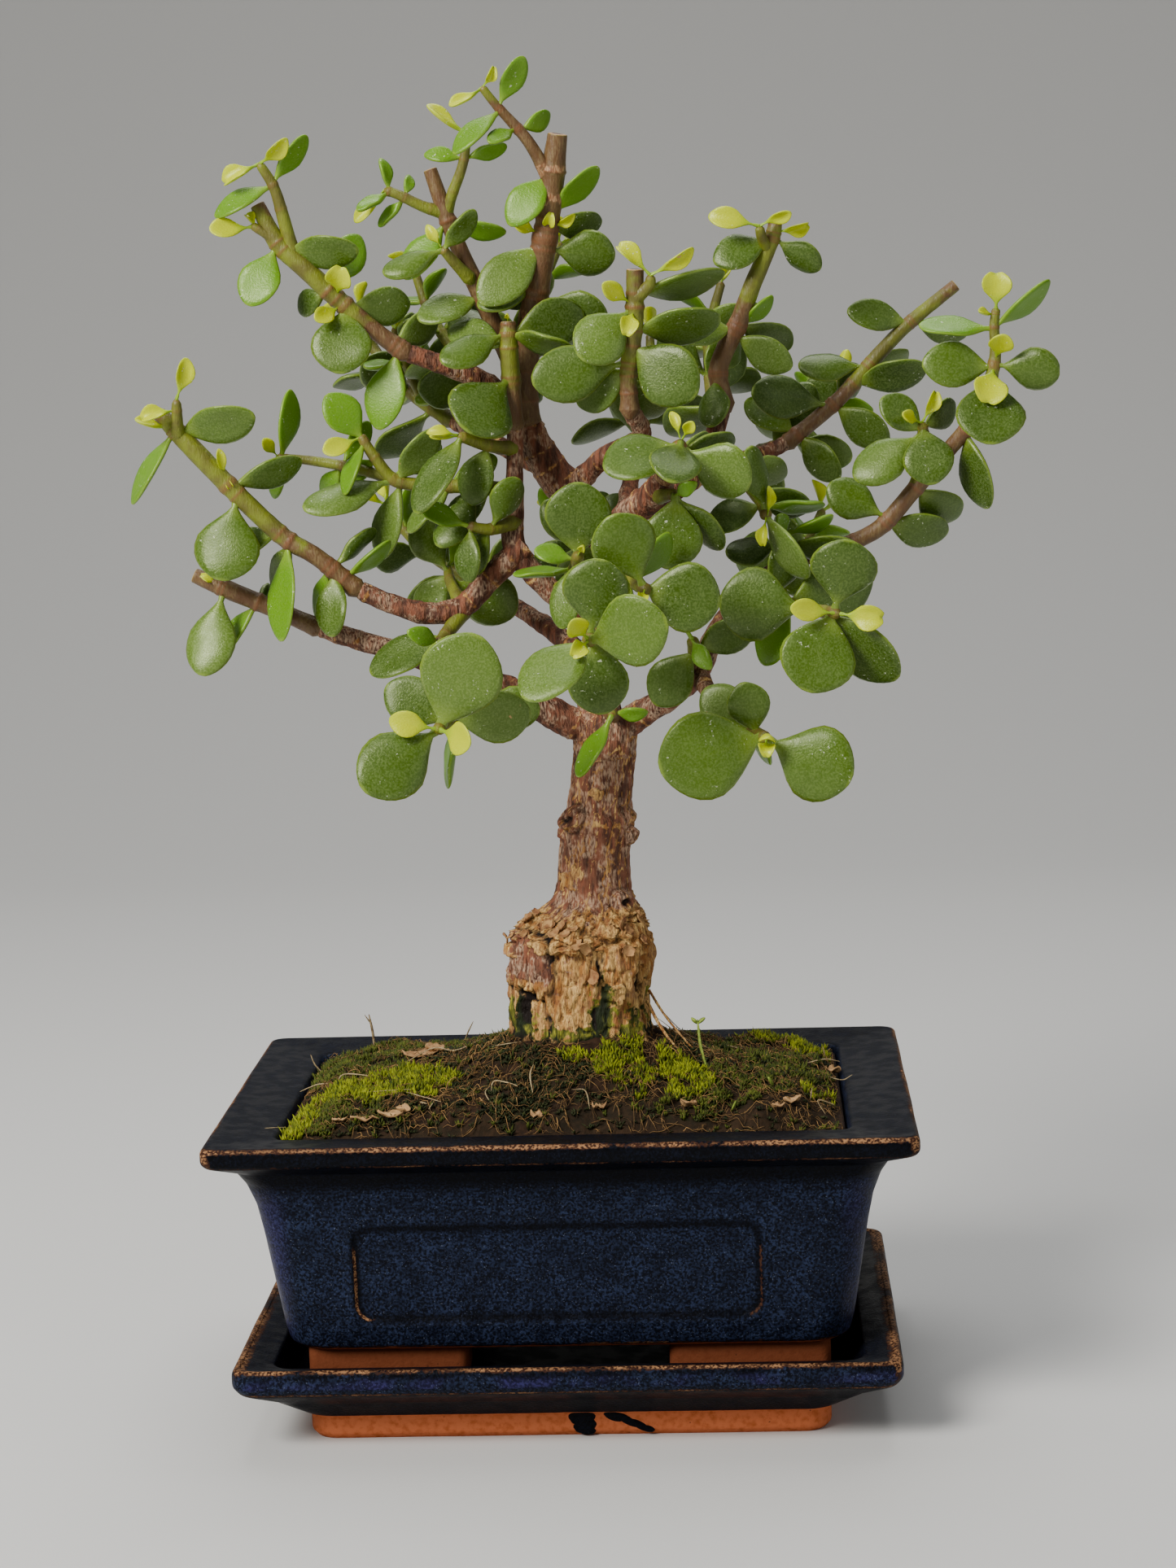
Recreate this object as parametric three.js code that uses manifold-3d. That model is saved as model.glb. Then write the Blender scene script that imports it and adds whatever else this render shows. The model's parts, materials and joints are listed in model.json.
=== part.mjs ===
// Dwarf jade bonsai in a glazed rectangular pot on its saucer.
// Millimetres, +Z up, origin at the middle of the saucer's foot, on the surface it stands on.
// +X is to the right of a viewer who faces the front, and -Y is the front.

import * as THREE from 'three';
import Module from 'manifold-3d';

const wasm = await Module();
wasm.setup();

// Driving dimensions of the saucer: half sizes of its rim and its foot, then its levels as
// [inset from the rim, height, corner radius], from the foot up
const SAUCER_RIM = { x: 71, y: 53.2 };
const SAUCER_FOOT = { x: 56, y: 41.8, z: 5.3, corner: 6 };
const SAUCER_FOOT_EDGE = { x: 57.3, y: 43.1, z: 5.7, corner: 6.5 };
const SAUCER_FLOOR_Z = 11;
const SAUCER_OUTSIDE = [[6.2, 9.8, 7], [1.2, 12.9, 4], [0, 14.4, 4], [0, 17.6, 4], [0.7, 18.6, 4]];
const SAUCER_BASIN = [[11.2, 11, 6], [8.6, 16, 5], [8, 17, 4.5], [1.6, 18.4, 4], [1.6, 20.6, 4]];

// Driving dimensions of the pot, with its levels as [inset from the rim, height, corner radius]
const POT_RIM = { x: 75, y: 56 };
const POT_BOTTOM_Z = 19.4;
const POT_OUTSIDE = [[16, 19.4, 9], [14.6, 20.4, 9.5], [13.7, 24, 9.5], [12.2, 34, 9], [10.4, 46, 9],
  [9.3, 52, 8.5],
  [7.6, 57, 8], [5.8, 60.6, 6], [0.8, 63, 3], [0, 64, 3], [0, 66.6, 3], [0.8, 67.4, 3]];
const POT_HOLLOW = [[21.5, 25.4, 6], [19, 28, 8], [16.1, 56, 6], [14.2, 65.4, 4], [13.5, 66.2, 3.5],
  [2, 67.3, 3],
  [2, 69.4, 3]];
const FOOT = { outer: [56, 38.8], length: 34.5, width: 12.3, gap: 0.3, sunk: 2 };
const PANEL = { half: 44, low: 29, high: 47, depth: 0.8, chamfer: 3 };
const DRAIN = { radius: 5, x: 26, length: 20, sides: 12 };

// Driving dimensions of the soil and the trunk
const SEAT_GAP = 0.3;
const SOIL = { half: [58.5, 40], square: 7, edge: 65.4, shoulder: 5.2, mound: 8.4, spread: 24 };
const SOIL_SIDE = [[21.8, 25.7, 6], [19.3, 28.3, 8], [16.4, 56, 6]];
const SOIL_TOP = { inset: 14.8, corner: 5, shares: [1, 0.92, 0.76, 0.46, 0.24] };
const TRUNK = { x: 4, sides: 12, flutes: 5, twist: 22, depth: 0.92 };
const TRUNK_FOOT_Z = 62;

// Driving sizes of shoots and leaves
const WOOD_SIDES = 6;
const ROOT_SIDES = 5;
const STEM_SIDES = 5;
const ROOT_SHARE = 0.7;
const OUTLINE = { skew: 1.35, blunt: 0.62 };
const LEAF_CREST = 0.55;

// Clearances and sampling for keeping a leaf off its neighbours
const LEAF_CLEAR = 0.45;
const EDGE_HALF = 0.12;
const SIDE_MARGIN = 0.5;
const END_MARGIN = 0.04;
const SAME_JOINT = 5;
const ROOT_PART = 0.31;
const OWN_STEM_CLEAR = 3.5;
const SEARCH_MARGIN = 3;
const BEADS_PER_POINT = 5;
const SHARE_STEP = 0.01;

// Opposite pairs on the shoots at the back: where the first and last stand, how far a leaf opens from its
// stem
const PAIR = { first: 0.14, last: 0.98, open: 66, youngOpen: 38, youngLength: 0.8 };
// Each kind's width as a share of its length, its thickness, and where along it the outline has its corners
const LEAF = {
  m: { width: 0.68, thick: 2.0, corners: [0.12, 0.42, 0.76, 0.96] },
  f: { width: 0.54, thick: 1.6, corners: [0.14, 0.52, 0.92] },
  y: { width: 0.56, thick: 1.2, corners: [0.3, 0.86] },
};

// Colours and finishes
const look = (color, roughness) => new THREE.MeshStandardMaterial({ color, roughness, metalness: 0 });
const GLAZE = look(0x1b2440, 0.35);
const EARTH = look(0x2f2a18, 0.95);
const BARK = look(0x6b4a34, 0.85);
const GREEN = look(0x4f8a2c, 0.4);

// Woody boughs: name, then route points as [x, y, z, radius]
const BOUGHS = [
  ['low_left', [[9, 0, 146, 4.6], [2, -1, 149, 3.9], [-8, -3, 155, 3.3], [-17, -4, 159, 2.8],
    [-31, -4, 164.5, 2.3], [-45, -5, 169, 2.1], [-52, -5, 171.5, 1.9]]],
  ['leader', [[10, 0, 140, 6.3], [9, 1, 150, 5], [9, 4, 162, 4.2], [12, 7, 174, 3.8],
    [12, 9, 186, 3.8], [5, 10, 196, 4.3], [-2, 9, 206, 3.9], [-6, 7, 215, 2.9]]],
  ['inner_left', [[11, 5, 169, 3.2], [5, 2, 173, 2.7], [-1, -1, 178, 2.5], [-8, -3, 187, 2.7],
    [-8, -3, 197, 2.1], [-7.5, -3, 208, 1.8], [-7.5, -3, 214, 1.7]]],
  ['left', [[-6, -3, 188, 2.8], [-13, -4, 182, 2.6], [-20, -5, 175, 2.6], [-28, -6, 174, 2.3],
    [-36, -6, 176.5, 2.1], [-43, -7, 180, 2]]],
  ['right', [[11, 0, 146, 4.8], [17, -1, 149.5, 3.6], [24, -4, 154, 3], [31, -8, 160.5, 2.7],
    [36, -8, 170, 2], [43, -7, 178, 1.8], [52, -6, 183, 1.7], [63, -6, 186, 1.7]]],
  ['low_right_twig', [[31, -8, 160, 2], [33.5, -16, 156, 1.8], [38, -26, 151.5, 1.5],
    [42, -33, 149.5, 1.3]]],
  ['knuckle', [[12, 8, 182, 3.2], [13, 0, 188, 3.2], [17, -9, 194, 3.4], [23, -16, 199, 3.3],
    [25, -19, 203, 2.5]]],
  ['knuckle_rear', [[18, -9, 195, 2.5], [27, -4, 199, 2.2], [34, 2, 207, 2.1], [38, 4, 217, 2]]],
  ['centre_twig', [[3, 10, 198, 2.5], [11, 4, 206, 2.2], [20, -8, 211, 2], [18, -15, 217, 1.8]]],
  ['upper_left', [[-4, 8, 212, 2.8], [-12, 4, 222, 2.2], [-22, 0, 227, 2], [-31, -2, 230.5, 1.9]]],
  ['rear_left', [[-1, 9, 204, 2.5], [-12, 18, 209, 2], [-24, 26, 215, 1.7]]],
  ['rear', [[12, 9, 184, 2.6], [15, 22, 193, 2.2], [17, 34, 204, 1.8]]],
  ['rear_right', [[27, -4, 199, 2.1], [36, 12, 203, 2], [46, 18, 205.5, 1.9], [52, 20, 208, 1.7]]],
  ['low_rear_left', [[9, 4, 160, 2.6], [-2, 14, 168, 2.1], [-14, 24, 175, 1.7]]],
  ['low_rear_right', [[22, -3, 153, 2.5], [31, 10, 161, 2], [40, 22, 168, 1.7]]],
];

// Leafy shoots, by hand: node, route points, then leaves as
// [kind, share along the stem, bearing clockwise from up, lean to the front, length, face turned, width
// share].
// Kind m is a full-grown leaf, f a fresh one and y a young yellow one.
const SHOOTS = [
  ['spray_front_left', [[-14, -4, 157.5, 1.7], [-16.5, -14, 155.5, 1.5], [-20, -30, 154, 1.4],
    [-22.8, -44, 152.8, 1.2]],
    [['m', 0.95, 24, 12, 21, 0, 0.84], ['m', 0.93, 234, 20, 20.5, 8, 0.72],
    ['m', 0.8, 300, -8, 14.5, 8, 0.72],
      ['m', 0.75, 88, -5, 16, 5, 0.72], ['m', 0.45, 97, -10, 14, 10, 0.75],
      ['f', 0.72, 182, 0, 14, 75, 0.62],
      ['y', 0.98, 284, 20, 9.5, 0, 0.7], ['y', 0.98, 103, 42, 11, 0, 0.8]]],
  ['spray_front_centre', [[9, 0, 166, 1.7], [9, -16, 168.5, 1.5], [9.5, -38, 170.5, 1.4],
    [9.6, -54, 171.5, 1.2]],
    [['m', 0.96, 230, 25, 18, 40, 0.75], ['m', 0.97, 76, 30, 18, 0, 0.84], ['m', 0.82, 8, 5, 16, 0, 0.88],
      ['m', 0.74, 172, 5, 15, 0, 0.86], ['m', 0.7, 214, -15, 10, 20, 0.6], ['y', 0.98, 325, 40, 8, 0, 0.8],
      ['y', 0.98, 250, 40, 6, 10, 0.7]]],
  ['spray_low_right', [[42, -33, 149.5, 1.3], [44, -38, 149.2, 1.3], [45.2, -42, 149, 1.2]],
    [['m', 0.75, 256, 12, 22, 0, 0.85], ['m', 0.8, 116, 14, 19.5, 0, 0.84],
    ['m', 0.3, 346, 12, 11, 0, 0.84],
      ['m', 0.1, 312, -15, 13, 5, 0.75], ['y', 0.98, 5, 65, 5, 0, 0.9], ['y', 0.98, 185, 60, 4.5, 0, 0.9],
      ['f', 0.5, 160, -50, 9, 60]]],
  ['spray_right_round', [[43, -8, 178, 1.5], [47, -15, 176, 1.4], [54, -25, 174.5, 1.3],
    [61, -35, 174, 1.2]],
    [['m', 0.95, 12, 15, 15.5, 0, 0.92], ['m', 0.93, 200, 18, 17, 0, 0.95],
    ['m', 0.86, 136, 4, 20, 40, 0.72],
      ['m', 0.72, 276, -5, 18.5, 0, 0.86], ['f', 0.55, 210, -10, 14, 35, 0.65],
      ['m', 0.5, 76, -20, 20, 10, 0.72],
      ['y', 0.98, 277, 15, 10, 8, 0.6], ['y', 0.98, 98, 15, 9.5, 5, 0.66], ['m', 0.35, 20, -5, 13, 30]]],
  ['spray_front_upper', [[13.5, -4, 189, 1.6], [16, -18, 183, 1.5], [19, -32, 181, 1.3],
    [21, -41, 180.5, 1.2]],
    [['m', 0.95, 338, 12, 16.5, 0, 0.84], ['m', 0.9, 102, 5, 15.5, 0, 0.96],
    ['m', 0.55, 215, 0, 13, 20, 0.7],
      ['f', 0.6, 40, 10, 12, 40], ['y', 0.97, 200, 60, 5, 0]]],
  ['spray_front_inner', [[0.5, -1, 177.5, 1.5], [3.5, -7, 180.5, 1.3], [5.5, -16, 184, 1.3],
    [6.5, -24, 187, 1.2]],
    [['m', 0.9, 3, 10, 15.5, 0, 0.92], ['f', 0.85, 280, 0, 8.5, 35, 0.62], ['m', 0.8, 194, 12, 14, 30, 0.6],
      ['f', 0.6, 262, 10, 12.5, 75, 0.5], ['y', 0.98, 30, 40, 4, 0]]],
  ['spray_low_centre_right', [[31.5, -8, 161.5, 1.5], [30.5, -13, 165, 1.4], [30, -18, 168, 1.2]],
    [['m', 0.5, 65, 12, 13.5, 20, 0.66], ['m', 0.55, 218, 0, 14, 15, 0.75], ['f', 0.97, 330, 0, 12, 30],
      ['f', 0.97, 150, 45, 8, 20]]],
  ['spray_fork', [[12, -4.5, 150.5, 1.4], [12.5, -8.5, 152, 1.1], [12, -12, 151, 1]],
    [['f', 0.95, 207, 10, 14.5, 58, 0.55], ['f', 0.7, 95, 20, 7, 30]]],
  ['spray_knuckle', [[25.5, -20, 203, 1.9], [27.5, -25, 206, 1.8], [29, -29, 210.5, 1.5]],
    [['m', 0.9, 254, 12, 16, 38, 0.78], ['m', 0.95, 196, 62, 14, 0, 0.8], ['m', 0.85, 120, 10, 16, 22, 0.8],
      ['m', 0.7, 80, -30, 13, 40, 0.7], ['y', 0.98, 345, 0, 5.5, 10, 0.5], ['y', 0.98, 22, 15, 5, 0, 0.7],
      ['m', 0.3, 60, -45, 13, 30]]],
  ['spray_knuckle_hanging', [[24, -19.5, 198.5, 1.3], [26, -22.5, 199, 1.2], [27.5, -25, 199, 1.1]],
    [['m', 0.95, 186, 14, 15, 0, 0.88], ['m', 0.8, 140, 0, 15, 45, 0.62], ['f', 0.95, 60, 50, 6, 0]]],
  ['spray_right_inner', [[34, 2, 207, 1.3], [40, -5, 203, 1.3], [45, -14, 197, 1.2],
    [46.5, -20, 193.5, 1.1]],
    [['m', 0.95, 150, 12, 15.5, 52, 0.6], ['m', 0.93, 348, 12, 14.5, 48, 0.62],
    ['f', 0.8, 86, -20, 13, 62, 0.5],
      ['m', 0.55, 128, 5, 13, 30, 0.62], ['m', 0.5, 300, 20, 12, 30], ['y', 0.98, 192, 25, 6, 20, 0.5],
      ['y', 0.98, 14, 20, 5.5, 30, 0.45], ['m', 0.3, 100, -30, 13, 30], ['m', 0.75, 250, -10, 12, 30]]],
  ['spray_right_lower_inner', [[50, -6, 182, 1.4], [50, -10, 186, 1.3], [51, -12, 190, 1.2]],
    [['m', 0.6, 95, -5, 15, 45, 0.62], ['m', 0.6, 265, 10, 12, 40], ['f', 0.95, 75, 20, 10, 60],
      ['f', 0.95, 330, 30, 7, 20]]],
  ['spray_upper_centre', [[18, -15, 217, 1.7], [18, -16, 225, 1.7], [19.5, -17, 235, 1.8],
    [20, -18, 246, 1.7]],
    [['m', 0.78, 228, 18, 15.5, 5, 0.76], ['m', 0.62, 84, -5, 17.5, 45, 0.66],
    ['m', 0.52, 130, 20, 17, 8, 0.8],
      ['m', 0.4, 261, 5, 20, 5, 0.62], ['m', 0.36, 236, -25, 14, 10, 0.66], ['m', 0.3, 150, -25, 14, 15],
      ['y', 0.78, 305, 25, 8.5, 0, 0.6], ['y', 0.77, 200, 45, 7, 0, 0.65],
      ['m', 0.86, 82, -15, 19, 62, 0.62],
      ['m', 0.15, 60, -30, 14, 30]]],
  ['spray_upper_centre', [[20.3, -18, 240.5, 1.2], [23, -19, 243, 1.1], [23.2, -20, 245, 0.9]],
    [['y', 0.98, 318, 5, 9, 30, 0.5], ['y', 0.98, 66, 5, 10, 35, 0.42]]],
  ['spray_top', [[-6, 7, 215, 2.9], [-5, 5, 228, 2.7], [-2, 2, 243, 2.6], [1, 0, 258, 2.4],
    [2.5, -1, 268, 2.4],
    [3.7, -2, 275.5, 2]],
    [['f', 0.8, 222, 15, 13.5, 18, 0.62], ['f', 0.6, 36, 5, 14, 45, 0.5], ['y', 0.57, 75, 20, 5, 30],
      ['y', 0.55, 290, 20, 6.5, 5, 0.6], ['y', 0.54, 20, 30, 5, 5, 0.6], ['m', 0.53, 228, 18, 18, 12, 0.58],
      ['m', 0.51, 97, -5, 14, 10, 0.74], ['m', 0.57, 84, -30, 12, 30, 0.6], ['m', 0.4, 250, 20, 14, 40],
      ['m', 0.38, 110, 5, 15, 30], ['m', 0.26, 60, -20, 14, 30]]],
  ['spray_top', [[2, -1, 266, 1.4], [-2, -3, 273.5, 1.2], [-5.5, -4, 278, 1.1], [-9, -5, 282, 0.9],
    [-12, -6, 286, 0.8]],
    [['f', 0.72, 27, 5, 11.5, 30, 0.5], ['f', 0.68, 232, 12, 13.5, 48, 0.5],
    ['f', 0.45, 236, 35, 8, 30, 0.55],
      ['f', 0.42, 66, -25, 8, 30, 0.6], ['y', 0.98, 234, 5, 7.5, 35, 0.5],
      ['y', 0.98, 55, 10, 5, 30, 0.5]]],
  ['spray_cut_stub', [[-6, 6, 222, 1.9], [-13, 3, 239, 1.8], [-17.5, 1, 250, 1.7], [-20.5, 0, 258, 1.7],
    [-24, 0, 269, 1.4]],
    [['f', 0.76, 216, 10, 15, 28, 0.55], ['f', 0.75, 106, 0, 11.5, 45, 0.5],
    ['m', 0.3, 252, 20, 14, 38, 0.62],
      ['m', 0.28, 75, 10, 12, 30], ['m', 0.14, 300, -20, 13, 30]]],
  ['spray_cut_stub', [[-21.5, 0, 260, 1.2], [-26, -1, 261.5, 1.1], [-30.5, -2, 263.8, 1],
    [-34, -2, 265.2, 0.9]],
    [['f', 0.9, 356, 10, 6.5, 50, 0.5], ['f', 0.88, 234, 20, 8, 45, 0.5],
    ['y', 0.98, 222, -10, 9, 20, 0.45],
      ['f', 0.6, 220, -20, 8, 45, 0.45], ['f', 0.6, 18, -20, 5, 30]]],
  ['spray_cut_stub', [[-21, 0, 259, 1.2], [-19.5, -1, 263.5, 1.1], [-16.8, -2, 270, 1],
    [-15.3, -3, 277, 0.8]],
    [['y', 0.97, 298, 0, 10, 60, 0.5], ['f', 0.72, 282, 5, 8, 30, 0.5], ['f', 0.72, 70, -10, 9, 40, 0.5]]],
  ['spray_cut_stub', [[-16.5, 0, 246, 1.2], [-19.5, -3, 249.5, 1.1], [-21.8, -5, 252.5, 0.9]],
    [['m', 0.9, 250, 10, 13.5, 38, 0.55], ['m', 0.92, 42, 10, 10.5, 38, 0.55],
    ['y', 0.97, 328, 20, 5, 0, 0.6]]],
  ['spray_centre_stub', [[-7.5, -3, 214, 1.7], [-7.8, -4, 224, 1.9], [-8, -5, 231, 1.9],
    [-8, -5, 236, 1.5]],
    [['m', 0.85, 248, 22, 15.5, 32, 0.58], ['m', 0.83, 103, 20, 14, 55, 0.6],
    ['m', 0.8, 75, -30, 16.5, 5, 0.66],
      ['m', 0.35, 222, 34, 18, 3, 0.86], ['m', 0.3, 195, -5, 14, 20, 0.7],
      ['m', 0.65, 290, -20, 14, 30, 0.6],
      ['y', 0.98, 0, 30, 2.5, 0]]],
  ['spray_upper_left', [[-31, -2, 230.5, 1.8], [-38, -3, 236, 1.8], [-44.5, -4, 242, 1.9],
    [-51, -5, 248.5, 2],
    [-57, -5, 254.5, 1.9], [-61, -5, 262.5, 1.5]],
    [['m', 0.75, 92, 20, 15.5, 30, 0.56], ['f', 0.8, 205, 12, 14, 12, 0.68],
    ['f', 0.47, 32, -25, 14, 20, 0.58],
      ['m', 0.36, 184, 22, 14.5, 0, 0.92], ['m', 0.35, 98, -15, 13.5, 12, 0.66],
      ['y', 0.37, 226, 30, 8, 5, 0.66],
      ['y', 0.41, 18, 45, 8, 0, 0.82], ['m', 0.46, 245, -30, 9, 20], ['f', 0.03, 197, 10, 17, 18, 0.56],
      ['m', 0.06, 40, -25, 13, 30, 0.6]]],
  ['spray_upper_left', [[-54, -5, 253, 1.3], [-55.5, -6, 260, 1.3], [-57, -7, 266, 1.1],
    [-60, -8, 271.5, 0.9]],
    [['f', 0.7, 248, 5, 13.5, 48, 0.5], ['f', 0.72, 34, -5, 12, 50, 0.5],
    ['y', 0.98, 248, 5, 8.5, 35, 0.55],
      ['y', 0.98, 62, 10, 8.5, 40, 0.55]]],
  ['spray_upper_left', [[-56, -5, 254, 1], [-59.5, -6, 256.5, 0.9], [-62.5, -6, 258.5, 0.8]],
    [['y', 0.9, 262, 10, 9, 20, 0.66], ['y', 0.75, 310, -10, 4, 30]]],
  ['spray_left', [[-43, -7, 180, 1.8], [-51, -8, 187, 1.8], [-58, -8, 191.5, 1.9], [-67.5, -9, 201, 1.9],
    [-76, -10, 210.5, 2], [-80, -10, 215, 1.9], [-83.5, -10, 218.8, 1.5]],
    [['f', 0.05, 58, 5, 12, 60, 0.5], ['m', 0.1, 50, -20, 12, 55, 0.5],
    ['m', 0.09, 182, 15, 13.5, 25, 0.62],
      ['f', 0.12, 190, -25, 13, 50, 0.5], ['f', 0.31, 187, 10, 21, 50, 0.5],
      ['m', 0.3, 205, -35, 14, 40, 0.5],
      ['m', 0.35, 255, -30, 14, 30, 0.5], ['m', 0.5, 192, 15, 18, 5, 0.82], ['y', 0.5, 330, 30, 3, 0],
      ['m', 0.53, 74, -12, 15.5, 35, 0.5], ['y', 0.54, 348, 5, 7, 20, 0.4],
      ['m', 0.82, 79, 20, 18, 30, 0.56],
      ['f', 0.84, 217, 0, 17.5, 62, 0.5], ['y', 0.86, 278, 20, 7.5, 40, 0.45]]],
  ['spray_left', [[-79.5, -11, 214.5, 1.2], [-79.2, -13, 218, 1.1], [-79, -14, 222, 0.9]],
    [['y', 0.7, 262, 20, 7.5, 30, 0.55], ['y', 0.97, 22, 10, 8.5, 30, 0.6]]],
  ['spray_low_left', [[-52, -5, 171.5, 1.7], [-64, -5, 177, 1.8], [-71.5, -6, 180.5, 1.9],
    [-78, -6, 183.5, 1.5]],
    [['m', 0.68, 194, 20, 19, 12, 0.6], ['y', 0.72, 310, 30, 4, 20], ['f', 0.35, 222, -10, 14, 55, 0.5],
      ['m', 0.36, 60, -40, 13, 40]]],
  ['spray_inner_low_left', [[-20, -5, 174, 1.6], [-23, -9, 170, 1.4], [-25, -13, 167.5, 1.2]],
    [['m', 0.6, 245, -5, 17.5, 42, 0.6], ['m', 0.95, 130, 35, 13, 20, 0.7], ['f', 0.9, 300, 45, 8, 20],
      ['y', 0.98, 200, 50, 5, 0]]],
  ['spray_inner_left', [[-8, -3, 200, 1.5], [-18, -2, 201, 1.4], [-27, -2, 201.5, 1.4], [-34, -3, 203, 1.3],
    [-38, -4, 208, 1.2], [-41, -4, 213, 0.9]],
    [['f', 0.95, 325, 8, 12, 22, 0.72], ['y', 0.98, 245, 12, 8.5, 15, 0.66],
    ['f', 0.93, 222, 25, 12, 55, 0.5],
      ['f', 0.8, 250, -20, 9, 30], ['m', 0.6, 254, 28, 20.5, 45, 0.5], ['m', 0.58, 40, 15, 14, 35, 0.6],
      ['m', 0.55, 200, -5, 17, 35, 0.5], ['f', 0.62, 55, -30, 13, 30, 0.5],
      ['m', 0.28, 224, 15, 13, 50, 0.5],
      ['f', 0.3, 60, -35, 13, 30], ['m', 0.14, 234, 18, 15.5, 28, 0.58],
      ['m', 0.1, 230, -15, 14, 25, 0.55]]],
  ['spray_inner_left', [[-33, -3, 202.5, 1.1], [-42, -2, 205.5, 1.1], [-52, -1, 207.5, 1],
    [-60, -1, 208.5, 0.8]],
    [['f', 0.95, 14, 0, 14.5, 58, 0.5], ['y', 0.97, 338, 20, 5.5, 10, 0.65],
    ['f', 0.9, 205, -5, 9, 30, 0.5],
      ['f', 0.45, 30, -25, 11, 30, 0.5], ['f', 0.45, 215, -30, 11, 30]]],
  ['spray_inner_node', [[-8, -3.5, 209, 1.4], [-13, -8, 210, 1.3], [-19, -13, 212.5, 1.1]],
    [['m', 0.93, 212, 18, 19, 38, 0.5], ['y', 0.98, 285, 20, 6, 30, 0.5],
      ['y', 0.98, 262, 20, 5.5, 30, 0.5], ['m', 0.5, 200, -10, 13, 20]]],
  ['spray_inner_hanging', [[-8.5, -5, 193, 1.3], [-13, -9, 192, 1.2], [-18, -11, 193, 1]],
    [['m', 0.9, 186, 12, 11.5, 30, 0.6], ['m', 0.5, 30, 5, 12, 30], ['f', 0.95, 290, 10, 11, 40, 0.55],
      ['m', 0.5, 215, -20, 12, 20]]],
  ['spray_left_bough', [[-21, -3.5, 177, 1.2], [-23, 2, 180, 1.1], [-24, 7, 183, 0.9]],
    [['m', 0.8, 330, 5, 13, 20], ['m', 0.8, 215, -10, 12, 20], ['f', 0.97, 30, 0, 12, 30],
      ['m', 0.6, 120, -10, 16, 10, 0.8]]],
  ['spray_right', [[63, -6, 186, 1.6], [71, -6, 190, 1.7], [78, -7, 197.5, 1.7], [85.5, -9, 206, 1.6],
    [92.5, -12, 215, 1.5],
    [95.5, -12, 225, 1.2], [95.5, -12, 232, 1], [96, -12, 236, 0.8]],
    [['m', 0.66, 185, 16, 15.5, 0, 0.96], ['m', 0.5, 168, 0, 16.5, 52, 0.6],
    ['y', 0.71, 14, 38, 8, 0, 0.85],
      ['y', 0.7, 196, 42, 10, 0, 0.84], ['m', 0.69, 276, 10, 14.5, 12, 0.7],
      ['m', 0.7, 98, 12, 13.5, 10, 0.7],
      ['f', 0.85, 270, 5, 15.5, 55, 0.5], ['f', 0.86, 56, 0, 14.5, 56, 0.5], ['y', 0.95, 268, 10, 3.5, 30],
      ['y', 0.97, 3, 10, 8, 0, 0.9], ['m', 0.3, 130, -35, 14, 20],
      ['m', 0.18, 300, 0, 14, 20], ['m', 0.16, 100, -20, 14, 30]]],
  ['spray_right', [[78.5, -7, 198, 1.3], [80.5, -9, 206, 1.2], [80, -11, 212.5, 1]],
    [['m', 0.92, 172, 24, 12.5, 0, 0.88], ['m', 0.8, 230, 12, 17, 28, 0.62],
    ['m', 0.82, 310, 5, 11, 18, 0.72],
      ['m', 0.9, 60, -30, 10, 30], ['y', 0.98, 262, 10, 6.5, 18, 0.55], ['y', 0.98, 28, 15, 7, 20, 0.5]]],
  ['spray_upper_right', [[38, 4, 217, 1.8], [37, 4, 225, 2], [41.5, 4, 234.5, 1.9], [44.5, 3, 242, 1.8],
    [49, 2, 252, 1.6], [50, 2, 256, 1.4]],
    [['m', 0.8, 252, 15, 12.5, 25, 0.68], ['m', 0.82, 125, 0, 11.5, 25, 0.62],
    ['y', 0.86, 84, 10, 7, 30, 0.5],
      ['m', 0.35, 123, 10, 13.5, 22, 0.62], ['f', 0.38, 48, 5, 9, 45, 0.5],
      ['m', 0.37, 270, 25, 16, 35, 0.62],
      ['m', 0.4, 118, -35, 15, 20, 0.6], ['m', 0.18, 190, 25, 12, 30], ['m', 0.16, 20, -40, 12, 40]]],
  ['spray_upper_right', [[48, 2, 250, 1.1], [46.8, -1, 253, 1], [46.5, -2, 255, 0.9]],
    [['y', 0.98, 285, 10, 10.5, 12, 0.55], ['y', 0.98, 62, 10, 7, 25, 0.55]]],
  ['spray_right_cut', [[52, 20, 208, 1.6], [61, 20, 215, 1.6], [66, 20, 219.7, 1.6], [74, 20, 228.4, 1.5],
    [80, 20, 234, 1.4], [89.5, 20, 241.3, 1.3]],
    [['m', 0.78, 283, 12, 13.5, 18, 0.55], ['m', 0.8, 110, -15, 12.5, 38, 0.55],
    ['m', 0.5, 273, 5, 14.5, 38, 0.58],
      ['m', 0.42, 78, 15, 16, 35, 0.58], ['m', 0.24, 128, 5, 14, 18, 0.62],
      ['m', 0.22, 283, 18, 18, 12, 0.56],
      ['m', 0.05, 140, 15, 13, 22, 0.62], ['m', 0.04, 300, -10, 13, 30], ['m', 0.25, 40, -40, 12, 30],
      ['m', 0.52, 90, -50, 12, 30]]],
];

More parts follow.
